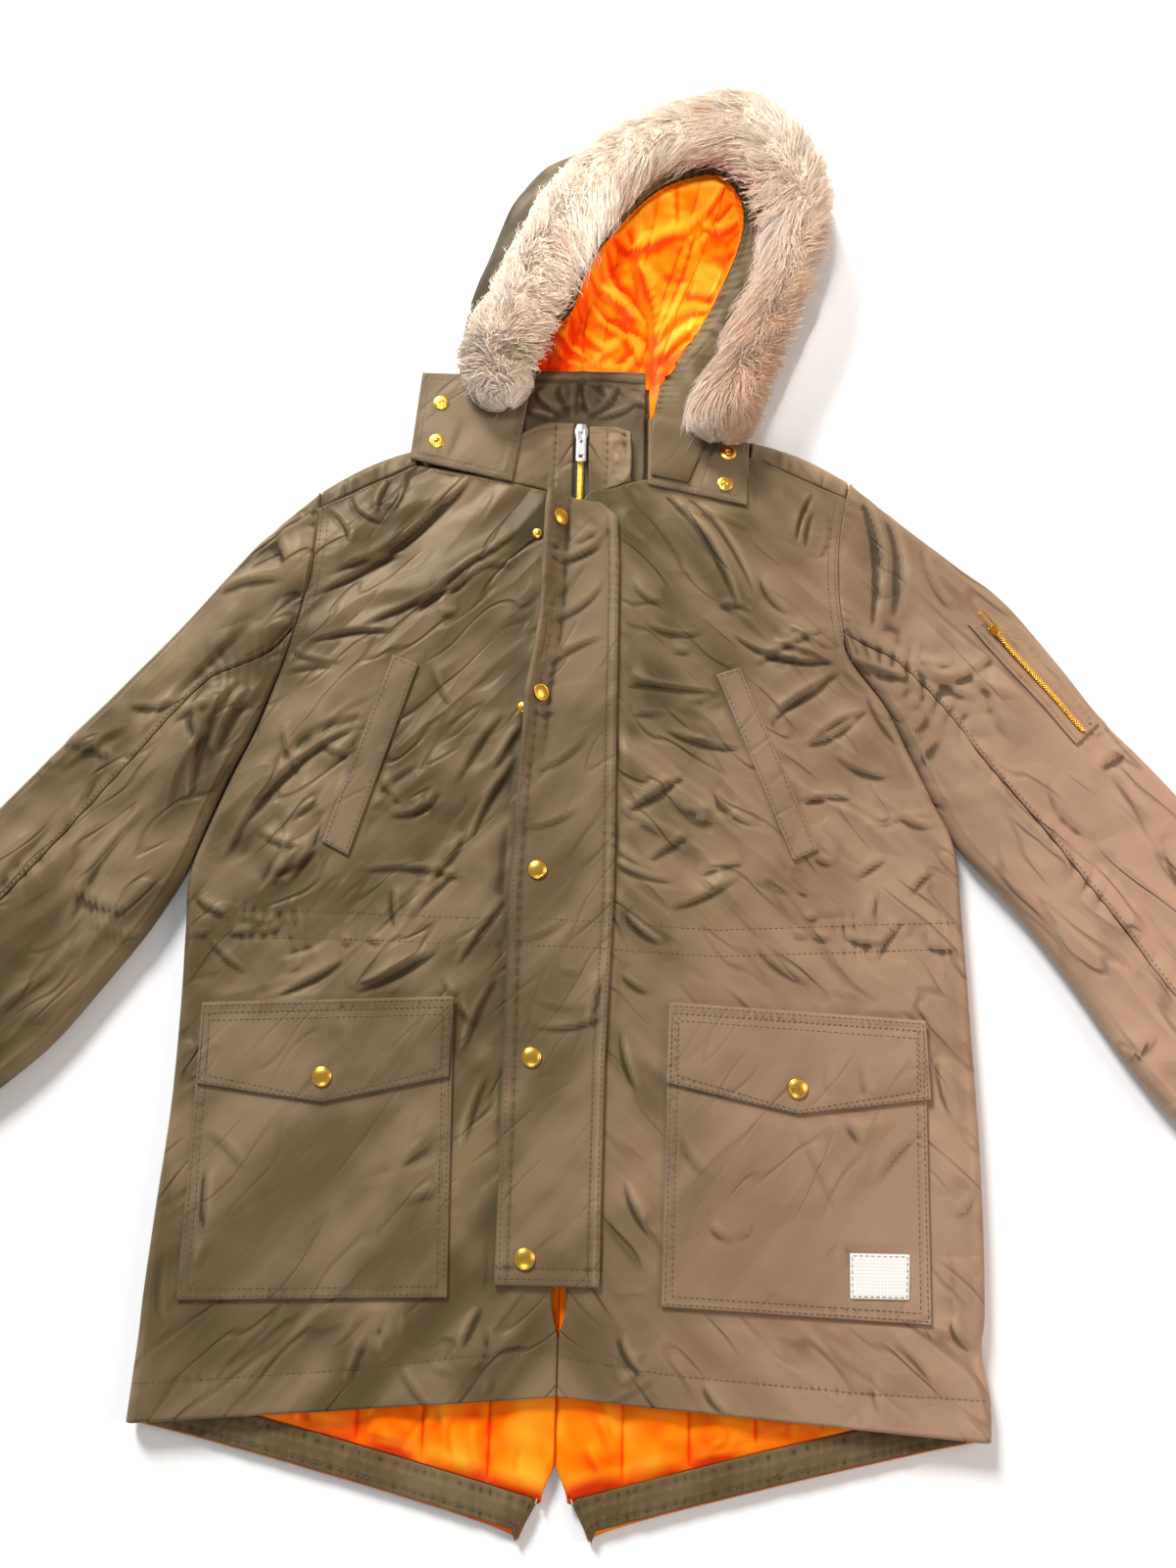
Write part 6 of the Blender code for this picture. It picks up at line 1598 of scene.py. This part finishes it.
def furPieces():
    around = 36
    places = np.linspace(0.12, len(furRows) - 1.12, 150)
    angles = np.linspace(0, 2 * math.pi, around + 1)[:-1]
    rings = []
    for k, place in enumerate(places):
        end = min(k, len(places) - 1 - k)
        share = furLook["core"] * (0.35 + 0.65 * math.sin(min(end / 7, 1) * math.pi / 2))
        ring = furPoint(np.full(around, place), angles, share * drawnIn(place, angles))
        lump = valueNoise(ring[:, 0] + 200, ring[:, 1] + ring[:, 2], 16, 131)
        lump = lump * 2.4 + 1.3 * valueNoise(ring[:, 0], ring[:, 1] - ring[:, 2], 6, 132)
        away = ring - ring.mean(axis=0)
        rings.append(ring + away / np.linalg.norm(away, axis=1, keepdims=True) * lump[:, None])
    faces = []
    for i in range(len(places) - 1):
        for j in range(around):
            k = (j + 1) % around
            faces.append((i * around + j, i * around + k, (i + 1) * around + k, (i + 1) * around + j))
    last = (len(places) - 1) * around
    faces += [tuple(range(around)), tuple(range(last, last + around))]
    mesh = bpy.data.meshes.new("fur_pile")
    mesh.from_pydata(world(*columnsOf(rings)).reshape(-1, 3).tolist(), [], faces)
    faceOut(mesh)
    piece = addObject("fur_pile", mesh, furPile, "fur_trim")
    tree = strandTree("furHairTree", furHair)
    for k, (low, high) in enumerate(((0.05, 8.6), (8.4, len(furRows) - 1.05))):
        hairPiece(f"fur_hair_{k + 1}", low, high, 141 + k, tree)


def intoLocks(paths, root, steps, pick):
    # neighbours run together toward their tips; nearest is the hair that each one follows
    guides = np.arange(0, len(root), furLook["lock"])
    nearest = [np.linalg.norm(part[:, None] - root[guides][None], axis=2).argmin(axis=1)
               for part in np.array_split(root, 12)]
    nearest = guides[np.concatenate(nearest)]
    pull = (steps ** 1.2 * 0.75)[None, :, None] * pick.uniform(0.3, 1.0, (len(root), 1, 1))
    return mix(paths, paths[nearest], pull), nearest


def insideTrim(paths, place, along, centre, outer, pick):
    # hair is drawn in to the trim's outline, which few hairs pass
    count = len(paths)
    offset = paths - centre[:, None]
    run = (offset * along[:, None]).sum(axis=2, keepdims=True)
    across = offset - run * along[:, None]
    limit = np.linalg.norm(outer - centre, axis=1)[:, None] * pick.uniform(0.82, 1.06, (count, 1))
    limit = limit * np.where(pick.random((count, 1)) < 0.1, 1.14, 1.0)
    paths = centre[:, None] + run * along[:, None] + across
    for row, sign, first in ((0, -1.0, place.argmin()), (len(furRows) - 1, 1.0, place.argmax())):
        # each end closes into a round brush
        end = furPoint(np.array([float(row)]), np.zeros(1), 0.0)[0]
        way = along[first] * sign
        past = ((paths - end) * way).sum(axis=2)
        close = np.linalg.norm(paths - end, axis=2) < 60
        over = np.where(close, np.maximum(past - 4.0, 0.0), 0.0)
        paths -= over[..., None] * way
        run = run - (over * (way * along).sum(axis=1)[:, None])[..., None]
        left = np.clip((4.0 - past + over) / 20.0, 0.0, 1.0)
        limit = limit * np.where(close, np.sqrt(np.maximum(1 - (1 - left) ** 2, 0.04)), 1.0)
    reach = np.linalg.norm(across, axis=2)
    across = across * np.minimum(1.0, limit / np.maximum(reach, 1e-6))[..., None]
    paths = centre[:, None] + run * along[:, None] + across
    paths[..., 2] = np.clip(paths[..., 2], *furLook["heights"])
    return paths


def hairPiece(name, low, high, seed, tree):
    pick = np.random.default_rng(seed)
    count = furLook["hairs"]
    place = pick.uniform(low, high, count)
    # more hair on top and on both edges than underneath
    angle = pick.normal(math.pi / 2, 0.95, count)
    root = furPoint(place, angle, furLook["core"] * 0.97 * drawnIn(place, angle))
    outer = furPoint(place, angle, drawnIn(place, angle))
    ahead = furPoint(np.clip(place + 0.06, 0, len(furRows) - 1), np.zeros(count), 0.0)
    centre = furPoint(place, np.zeros(count), 0.0)
    along = ahead - furPoint(place - 0.06, np.zeros(count), 0.0)
    along[:, 2] = 0.0
    along, outward = unit(along), unit(outer - root)
    edge = unit(furPoint(place, np.zeros(count), 1.0) - furPoint(place, np.full(count, math.pi), 1.0))
    swirl = valueNoise(root[:, 0], root[:, 1], 30, seed + 10)
    lock = valueNoise(root[:, 0] + 50, root[:, 1], 12, seed + 11)
    # hair parts near the middle of the trim, where its two halves lie different ways
    outerShare = smooth(np.cos(angle) + 0.35 * swirl + pick.normal(0, 0.12, count), -0.3, 0.3)
    flow = np.array([np.interp(place, [row[0] for row in furFlow], [row[k] for row in furFlow])
                     for k in (1, 2, 3, 4)])
    flow = (along * mix(flow[2], flow[0], outerShare)[:, None]
            + edge * mix(flow[3], flow[1], outerShare)[:, None]
            + along * (0.35 * swirl + 0.3 * lock)[:, None] + 0.3 * outward)
    flow = unit(unit(flow) + pick.normal(0, 0.16, (count, 3)))
    long = pick.uniform(*furLook["long"], count) * (0.85 + 0.25 * lock)
    steps = np.array([0.0, 0.34, 0.68, 1.0])
    bend = np.array([0, 0, -0.45]) + np.cross(flow, outward) * (0.5 * valueNoise(
        root[:, 1], root[:, 0], 18, seed + 12) + pick.normal(0, 0.18, count))[:, None]
    paths = (root[:, None] + flow[:, None] * steps[None, :, None] * long[:, None, None]
             + bend[:, None] * (steps ** 2)[None, :, None] * long[:, None, None])
    paths, nearest = intoLocks(paths, root, steps, pick)
    paths = insideTrim(paths, place, along, centre, outer, pick)
    radii = np.tile(np.array([1.0, 0.85, 0.55, 0.12]), (count, 1)) * pick.uniform(0.65, 1.2, (count, 1))
    tint = np.clip(0.68 + 0.3 * lock[nearest] + 0.25 * pick.normal(0, 1, count), 0, 1)
    numbers = {"radius": radii, "along": np.tile(steps, (count, 1)),
               "tint": np.repeat(tint[:, None], 4, axis=1)}
    sweep(name, world(*columnsOf(paths)), numbers, tree, furLook["thick"] * mm)


def revolve(name, profile, spot, node, tilt=0.0, lobes=0, segments=32):
    # a turned fastener from its profile, top to foot, with petals pressed in where it has lobes
    verts, faces = [], []
    turns = np.linspace(0, 2 * math.pi, segments, endpoint=False)
    for r, z in profile[1:-1]:
        wave = 1 + 0.05 * np.sin(turns * lobes) * (2.4 < r < 6.0)
        verts += [(r * math.cos(t) * w, r * math.sin(t) * w, z) for t, w in zip(turns, wave)]
    rings = len(profile) - 2
    top, foot = len(verts), len(verts) + 1
    verts += [(0, 0, profile[0][1]), (0, 0, profile[-1][1])]
    for j in range(segments):
        k = (j + 1) % segments
        faces.append((top, j, k))
        for i in range(rings - 1):
            near, far = i * segments, (i + 1) * segments
            faces.append((near + j, far + j, far + k, near + k))
        faces.append((foot, (rings - 1) * segments + k, (rings - 1) * segments + j))
    mesh = bpy.data.meshes.new(name)
    mesh.from_pydata(verts, [], faces)
    place = Matrix.Translation(Vector(world(*spot))) @ Matrix.Rotation(-tilt, 4, "Y") @ Matrix.Scale(mm, 4)
    mesh.transform(place)
    addObject(name, mesh, brassPlate, node)
    mesh.set_sharp_from_angle(angle=math.radians(38))


capProfile = ((0, 2.6), (1.5, 2.56), (3.0, 2.42), (4.6, 2.1), (5.7, 1.7), (6.1, 1.5), (6.4, 1.62),
              (7.0, 1.5), (7.5, 1.0), (7.5, 0.5), (7.1, 0.0), (0, 0))
socketProfile = ((0, 0.5), (1.3, 0.5), (1.55, 0.6), (1.8, 1.7), (2.3, 2.0), (3.3, 1.75), (4.2, 1.9),
                 (5.0, 1.8), (5.9, 1.35), (6.5, 1.3), (7.0, 0.9), (7.2, 0.4), (7.0, 0.0), (0, 0))
studProfile = ((0, 3.0), (1.0, 2.95), (1.6, 2.6), (1.75, 2.1), (1.5, 1.6), (1.7, 1.35), (3.2, 1.3),
               (4.1, 1.1), (4.6, 0.6), (4.5, 0.0), (0, 0))


def stormHeight(x, y):
    return flapTop + float(stormRise(y, x))


def snapPieces():
    for i, level in enumerate((696, 534, 385, 238, 93)):
        x = float(stormEdge(level, 1)) + (22.0 if i > 1 else 12.0)
        z, tilt = stormHeight(x, level) + gap, 0.0
        if i < 2:     # these two ride on the flap where it lifts
            tilt = -math.atan((stormHeight(x - 5, level) - stormHeight(x + 5, level)) / 10)
            z += 1.1
        revolve(f"storm_snap_cap_{i + 1}", capProfile, (x, level, z), f"flap_snap_{i + 1}", tilt)
    for i, (x, y) in enumerate(((-36, 685), (-43, 524))):
        revolve(f"snap_stud_{i + 1}", studProfile, (x, y, overFront), f"stud_{i + 1}")
    for i, (x, y) in enumerate(((-127, 811), (-129, 772), (131, 766), (128, 735))):
        revolve(f"hood_snap_socket_{i + 1}", socketProfile, (x, y, overFront + tabThick + gap),
                f"hood_socket_{i + 1}", lobes=8 if i == 0 else 0)
    for side, form in pockets.items():
        z = overFront + 2 * (patchThick + gap)
        revolve(f"pocket_snap_cap_{side}", capProfile, (*form["snap"], z), f"pocket_snap_{side}")


def plateMesh(name, outlines, thick, bevel):
    # a flat plate from its outline and its holes, with rounded edges
    curve = bpy.data.curves.new(name, "CURVE")
    curve.dimensions = "2D"
    curve.fill_mode = "BOTH"
    curve.extrude = max(thick / 2 - bevel, 0.01) * mm
    curve.bevel_depth, curve.bevel_resolution = bevel * mm, 2
    curve.offset = -bevel * mm
    for points in outlines:
        line = curve.splines.new("POLY")
        line.points.add(len(points) - 1)
        for p, (x, y) in zip(line.points, points):
            p.co = (x * mm, y * mm, 0, 1)
        line.use_cyclic_u = True
    piece = linked(name, curve)
    graph = bpy.context.evaluated_depsgraph_get()
    mesh = bpy.data.meshes.new_from_object(piece.evaluated_get(graph))
    bpy.data.objects.remove(piece)
    faceOut(mesh, merge=0.00001)
    return mesh


def roundedBox(long, wide, radius, x=0.0, y=0.0, steps=5):
    # outline of a plate with round corners, middle at x, y
    points = []
    for cx, cy, start in ((1, 1, 0), (-1, 1, 90), (-1, -1, 180), (1, -1, 270)):
        for k in range(steps + 1):
            a = math.radians(start + 90 * k / steps)
            points.append((x + cx * (wide / 2 - radius) + radius * math.cos(a),
                           y + cy * (long / 2 - radius) + radius * math.sin(a)))
    return points


def circle(radius, x=0.0, y=0.0, count=14):
    return [(x + radius * math.cos(2 * math.pi * k / count), y + radius * math.sin(2 * math.pi * k / count))
            for k in range(count)]


def joinMeshes(name, meshes, place, finish, node, body="coat"):
    whole = bmesh.new()
    for mesh in meshes:
        whole.from_mesh(mesh)
    made = bpy.data.meshes.new(name)
    whole.to_mesh(made)
    whole.free()
    made.transform(place)
    addObject(name, made, finish, node, body)
    made.set_sharp_from_angle(angle=math.radians(35))


def boxMesh(name, size, centre, bevel):
    box = bmesh.new()
    bmesh.ops.create_cube(box, size=1.0)
    bmesh.ops.scale(box, vec=Vector(size) * mm, verts=box.verts)
    bmesh.ops.bevel(box, geom=box.edges[:], offset=bevel * mm, segments=3, affect="EDGES", profile=0.6)
    bmesh.ops.translate(box, vec=Vector(centre) * mm, verts=box.verts)
    mesh = bpy.data.meshes.new(name)
    box.to_mesh(mesh)
    box.free()
    return mesh


zipLook = {    # sizes are width, length and height; a tooth's length lies across the zip
    "pitch": 2.3,
    "mainSlider": (12.0, 13.0, 4.6), "mainPull": (9.0, 32.0, 1.4), "mainTooth": (3.9, 1.5, 2.2),
    "sleeveSlider": (7.5, 9.0, 3.4), "sleevePull": (6.4, 20.0, 1.4), "sleeveTooth": (3.1, 1.4, 1.6),
}
tapeZ = 11.3
chainZ = 12.5
sliderY = 788.0
pullLift = 1.3    # from the top of a slider's plates to its pull's bar


def sliderMeshes(size):
    # two plates on a wedge, flared at the shoulders, with a crown over the pull's bar
    wide, long, high = size
    outline = []
    for k in range(41):
        t = k / 40
        y = long / 2 - t * long
        half = wide / 2 * (0.72 + 0.28 * math.sin(math.pi * min(1.0, (1 - t) * 1.25)) ** 0.8)
        if t < 0.08:
            half *= 0.75 + 0.25 * t / 0.08
        outline.append((half, y))
    outline += [(-x, y) for x, y in reversed(outline)]
    lower = plateMesh("plate", [outline], high * 0.3, 0.3)
    upper = lower.copy()
    lower.transform(Matrix.Translation((0, 0, high * 0.15 * mm)))
    upper.transform(Matrix.Translation((0, 0, high * 0.85 * mm)))
    rise = 2.6        # how high the crown stands over the plates
    meshes = [lower, upper, boxMesh("wedge", (wide * 0.22, long * 0.5, high * 0.8),
                                    (0, long * 0.15, high / 2), 0.3)]
    for y in (2.7, -2.7):
        meshes.append(boxMesh("post", (2.0, 1.4, rise + 0.9), (0, y, high + rise / 2 - 0.3), 0.25))
    meshes.append(boxMesh("bridge", (2.0, 6.8, 1.0), (0, 0, high + rise + 0.4), 0.35))
    return meshes


def mainPullMeshes():
    wide, long, thick = zipLook["mainPull"]
    slot = roundedBox(5.4, 3.5, 0.6, 0, -2.3)
    outline = roundedBox(long + 0.8, wide, 1.6, 0, -long / 2 + 0.4)
    rivet = circle(1.5, 0, -12.5)
    window = roundedBox(3.4, 3.4, 0.5, 0, -long + 5.0)
    plate = plateMesh("plate", [outline, slot, rivet, window], thick, 0.35)
    bar = boxMesh("bar", (wide - 0.6, 1.5, 1.5), (0, 0, 0), 0.5)
    ring = plateMesh("ring", [circle(2.3, 0, -12.5, 20), circle(1.4, 0, -12.5, 14)], thick + 0.5, 0.25)
    ridge = plateMesh("ridge", [roundedBox(9.5, 5.6, 0.9, 0, -20.5), roundedBox(8.0, 4.1, 0.6, 0, -20.5)],
                      thick + 0.35, 0.15)
    return [plate, bar, ring, ridge]


def sleevePullMeshes():
    wide, long, thick = zipLook["sleevePull"]
    outer = roundedBox(long + 0.8, wide, 1.4, 0, -long / 2 + 0.4)
    inner = roundedBox(long - 2.6, 3.5, 0.8, 0, -(long - 2.6) / 2 - 0.75)
    return [plateMesh("frame", [outer, inner], thick, 0.4),
            boxMesh("bar", (wide - 0.5, 1.5, 1.5), (0, 0, 0), 0.5)]


def teeth(name, spots, turns, tree, size, node):
    grow(name, spots, [], {"turn": turns}, tree, (Vector(size) * mm,), node, 0.35 * mm)


def mainZip():
    slider = zipLook["mainSlider"]
    low, high = neckY + 7.0, sliderY + slider[1] / 2
    x, y = quadGrid(((-12, high), (12, high), (12, low), (-12, low)), 25, 49)
    z = tapeZ + 0.9 + 0.12 * np.sin(x * 4)
    sew("zip_tape_cloth", world(x, y, z), 0.8, zipTape, "zip_tape", edge=0.3, lined=False)
    tree = teethTree("zipToothTree", brassPlate)
    ys = np.arange(neckY + 5.2, sliderY - slider[1] / 2 - 0.6, zipLook["pitch"] / 2)
    spots = [world((0.75 if k % 2 else -0.75) * 1.2, y, chainZ + 1.1) for k, y in enumerate(ys)]
    teeth("main_zip_teeth", spots, np.zeros((len(ys), 3)), tree, zipLook["mainTooth"], "zip_chain")
    foot = Vector(world(0, sliderY, chainZ))
    joinMeshes("main_slider", sliderMeshes(slider), Matrix.Translation(foot), nickelPlate,
               "zip_slider")
    foot = Vector(world(0, sliderY, chainZ + slider[2] + pullLift))
    joinMeshes("main_pull_tab", mainPullMeshes(), Matrix.Translation(foot), nickelPlate,
               "zip_pull", "main_pull")
    return tree


def treeOf(names):
    # one search tree over the named pieces, for resting things on them
    verts, faces = [], []
    for name in names:
        mesh = bpy.data.objects[name].data
        start = len(verts)
        verts += [tuple(v.co) for v in mesh.vertices]
        faces += [tuple(start + i for i in f.vertices) for f in mesh.polygons]
    return BVHTree.FromPolygons(verts, faces)


def heightAt(tree, x, y, top=0.12):
    # height in millimetres of whatever is highest at a spot
    spot = world(x, y, 0)
    hit = tree.ray_cast(Vector((spot[0], spot[1], top)), Vector((0, 0, -1)))[0]
    return None if hit is None else hit.z / mm


def sleevePocketPieces(tree):
    sleeve = treeOf(["sleeve_upper_panel_left"])
    x, y = quadGrid(sleevePocket, 25, 49)
    over = 2 * gap + 1.6
    flat = np.array([[heightAt(sleeve, a, b) for a, b in zip(*row)] for row in zip(x, y)]) + over
    away = -outside(x, y, sleevePocket)
    z = flat + 0.4 * smooth(away, 2, 10)
    rows = crinkles(151, (335, 430, 500, 600), 16, -0.9, 0.6, 0.9)
    z = z + creaseHeight(x, y, rows) * smooth(away, 6, 12) * 0.5
    z = z + pucker(x, y, closed(insetCorners(sleevePocket, 4.5)), 6.5, 0.3, 3.5, 0.5, 152)
    nearZip, _, _ = nearLine(x, y, sleeveZip)
    z = mix(flat, z, smooth(nearZip, 5, 11)) + 0.9 * hump(nearZip - 7.5, 1.5)
    (_, (topX, topY), (lowX, lowY), _) = sleevePocket
    for inset in (10, 20):     # two rows of stitches along the pocket's outer side
        line = ((topX - inset, topY - 6), (lowX - inset * 0.8, lowY + 2 - inset * 0.4))
        z = z + pucker(x, y, line, 6.0, 0.25, 3.0, 0.5, 153)
    sew("sleeve_pocket_cloth", world(x, y, z), 1.5, shellNylon, "sleeve_pocket",
        edge=0.7)
    (ax, ay), (bx, by) = sleeveZip
    long = math.hypot(bx - ax, by - ay)
    run = math.atan2(by - ay, bx - ax)
    spots = []
    for k in range(int((long - 5) / (zipLook["pitch"] / 2))):
        t = (5.4 + k * zipLook["pitch"] / 2) / long
        if t > 1:
            break
        px, py = mix(ax, bx, t), mix(ay, by, t)
        side = 0.7 if k % 2 else -0.7
        z = heightAt(sleeve, px, py) + (over + gap + 0.2) + 0.9
        spots.append(world(px - math.sin(run) * side, py + math.cos(run) * side, z))
    turns = [(0, 0, run + math.pi / 2)] * len(spots)
    teeth("sleeve_zip_teeth", spots, turns, tree, zipLook["sleeveTooth"], "sleeve_zip_chain")
    turn = Matrix.Rotation(run - math.pi / 2, 4, "Z")
    foot = Vector(world(ax, ay, 0))
    foot.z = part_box("sleeve_zip_slider")[0][2]
    slider = zipLook["sleeveSlider"]
    joinMeshes("sleeve_slider", sliderMeshes(slider), Matrix.Translation(foot) @ turn, brassPlate,
               "sleeve_zip_slider")
    foot.z += (slider[2] + pullLift) * mm
    joinMeshes("sleeve_pull_frame", sleevePullMeshes(), Matrix.Translation(foot) @ turn, brassPlate,
               "sleeve_zip_pull", "sleeve_pull")


def labelPiece():
    x, y = quadGrid(labelCorners, 29, 21)
    z = overFront + patchThick + gap + 0.8
    z = z + 0.12 * valueNoise(x, y, 12, 161) - 0.2 * hump(-outside(x, y, labelCorners) - 2, 0.7)
    sew("blank_label", world(x, y, z), 0.7, labelCloth, "label",
        edge=0.3, lined=False)


stitchLook = {"pitch": 4.4, "long": 3.2, "thick": 0.34}   # real ones are 2.5 mm apart


def stitchLines():
    lines = []
    for side, sign in sides.items():
        for corners, insets in ((pocketOutline(side), (2.6, 8.0)), (flapOutline(side), (2.6, 8.0)),
                                (welts[side], (2.4,)), (hoodTabs[side], (2.6, 7.6))):
            lines += [closed(insetCorners(corners, inset)) for inset in insets]
        arm = [armhole(side, s) for s in np.linspace(0.03, 0.98, 12)]
        lines += [[(sign * (x - inset), y) for x, y in arm] for inset in (3.2, 9.0)]
        neck = [frontNeck(side, s) for s in np.linspace(0.02, 0.97, 12)]
        yoke = (frontNeck(side, 0.0), armhole(side, yokeShare(side)))
        lines += [[(sign * x, y - inset) for x, y in line] for line, inset in ((neck, 3.4), (yoke, 3.0))]
        seam = []
        for place in np.linspace(0.1, len(sleeves[side]) - 1.1, 60):
            upX, upY, lowX, lowY, _, _, bow, share = splineRow(sleeves[side], place)
            share -= 3.4 / math.hypot(lowX - upX, lowY - upY)
            x = mix(upX, lowX, share) - bow * 4 * share * (1 - share)
            seam.append((sign * x, mix(upY, lowY, share)))
        lines.append(seam)
    lines += [hemLine[:5], hemLine[5:]]
    lines += [[(x * 0.985, y) for x, y in line] for line in waistLines]
    for column, inset, top in ((1, 3.2, 716), (1, 9.4, 716), (2, -3.0, 700), (2, -9.0, 700)):
        lines.append([(float(stormEdge(y, column)) + inset, y) for y in np.linspace(top, 78, 80)])
    lines += [[(-46, y), (28, y)] for y in (79, 86)]
    out = np.linspace(0, 1.45, 60)
    out = 200 * out + 25 * (1 - out)
    lines += [[(sign * x, float(tailEdge(x)) + 6) for x in out] for sign in (-1, 1)]
    lines += [[(x, 722.0), (x, 786.0)] for x in (-19.0, 19.0)]
    lines.append(closed(insetCorners(labelCorners, 1.6)))
    return lines


def stitches():
    sewn = ("front_", "storm_flap", "pocket_cloth", "pocket_flap_cloth", "welt_", "hood_tab_", "shoulder_",
            "sleeve_u", "collar_stand", "tail_facing", "blank_label")
    cloth = treeOf([o.name for o in bpy.data.objects
                    if o.type == "MESH" and "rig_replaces" in o and o.name.startswith(sewn)])
    paths = []
    for line in stitchLines():
        line = np.array(line, float)
        run = np.concatenate([[0], np.cumsum(np.hypot(*np.diff(line, axis=0).T))])
        for at in np.arange(2.0, run[-1] - 2.0, stitchLook["pitch"]):
            ends = []
            for s in (-0.5, 0.0, 0.5):
                x, y = [np.interp(at + s * stitchLook["long"], run, line[:, k]) for k in (0, 1)]
                z = heightAt(cloth, x, y, 0.05)
                ends.append(None if z is None else world(x, y, z + (0.22 if s == 0 else -0.12)))
            if all(e is not None for e in ends) and abs(ends[0][2] - ends[2][2]) < 0.003:
                paths.append(ends)
    radii = np.tile([0.75, 1.0, 0.75], (len(paths), 1))
    sweep("seam_stitches", np.array(paths), {"radius": radii}, strandTree("stitchTree", thread),
          stitchLook["thick"] * mm)
    print("stitches:", len(paths))


for side in sides:
    frontPiece(side)
    yokePiece(side)
    sleevePiece(side)
backPiece()
print("body and sleeves sewn")
stormPiece()
for side in sides:
    pocketPiece(side)
    pocketFlapPiece(side)
    patchPiece(f"welt_cloth_{side}", f"welt_{side}", welts[side], patchThick, 171, 0.3, inset=3.5)
    patchPiece(f"hood_tab_cloth_{side}", f"hood_tab_{side}", hoodTabs[side], tabThick, 173, 0.25,
               creased=0.8)
    collarFrontPiece(side)
collarBackPiece()
labelPiece()
print("flap, pockets and collar sewn")
hoodShellPieces()
facingPieces()
liningPieces()
for side, sign in sides.items():
    tailLiningPiece(side, sign)
    tailFacingPiece(side, sign)
print("hood and tail lined")
snapPieces()
toothTree = mainZip()
sleevePocketPieces(toothTree)
print("snaps and zips set")
furPieces()
print("fur brushed")
stitches()


def areaLight(name, size, power, place, aim, colour="#ffffff", spread=180):
    light = bpy.data.lights.new(name, "AREA")
    light.shape, light.size, light.energy = "DISK", size, power
    light.color = linear(colour)[:3]
    light.spread = math.radians(spread)
    lamp = linked(name, light)
    lamp.location = place
    lamp.rotation_euler = (Vector(aim) - Vector(place)).to_track_quat("-Z", "Y").to_euler()


# backdrop paper: matt, with a faint fibre
paper, add = newFinish("white_backdrop_paper")
fibre = add("TexNoise", {"Vector": add("TexCoord").outputs["Object"], "Scale": 240.0})
tone = add("MapRange", {"Value": fibre, "To Min": 0.86, "To Max": 0.9})
add("OutputMaterial", {"Surface": add("BsdfPrincipled", {"Base Color": tone, "Roughness": 0.9})})
floorMesh = bpy.data.meshes.new("studio_floor")
corners = ((-6, -6), (6, -6), (6, 6), (-6, 6))
floorMesh.from_pydata([(x, y, -0.0005) for x, y in corners], [], [(0, 1, 2, 3)])
floorMesh.materials.append(paper)
linked("studio_floor", floorMesh)

areaLight("window_key", 2.0, 690, (-2.6, 5.2, 3.7), (0, 0, 0))
areaLight("hood_fill", 0.3, 0.6, (-0.2, 0.45, 1.5), (0.03, 0.5, 0.06), spread=24)
areaLight("warm_fill", 1.4, 34, (2.4, 0.2, 1.6), (0.2, 0, 0), "#ffe2c8")
areaLight("low_fill", 1.4, 16, (-0.2, -2.4, 1.9), (0, -0.1, 0))

scene = bpy.context.scene
scene.world = bpy.data.worlds.new("studio_room")
scene.world.use_nodes = True
sky = scene.world.node_tree.nodes["Background"].inputs
sky["Color"].default_value = linear("#f4f6fa")
sky["Strength"].default_value = 0.3
scene.view_settings.view_transform = "Standard"

view = bpy.data.cameras.new("camera")
view.sensor_fit, view.sensor_height, view.sensor_width = "VERTICAL", 36.0, 27.0
view.lens, view.clip_start = 27.045, 0.05
scene.camera = linked("camera", view)
scene.camera.location = (0.01845, -0.30237, 0.951)
scene.camera.rotation_euler = Euler((math.radians(15.6), 0, math.radians(1.238)))

count = sum(len(face.vertices) - 2 for piece in scene.objects
            if piece.type == "MESH" and not piece.hide_render for face in piece.data.polygons)
print("triangles:", count)
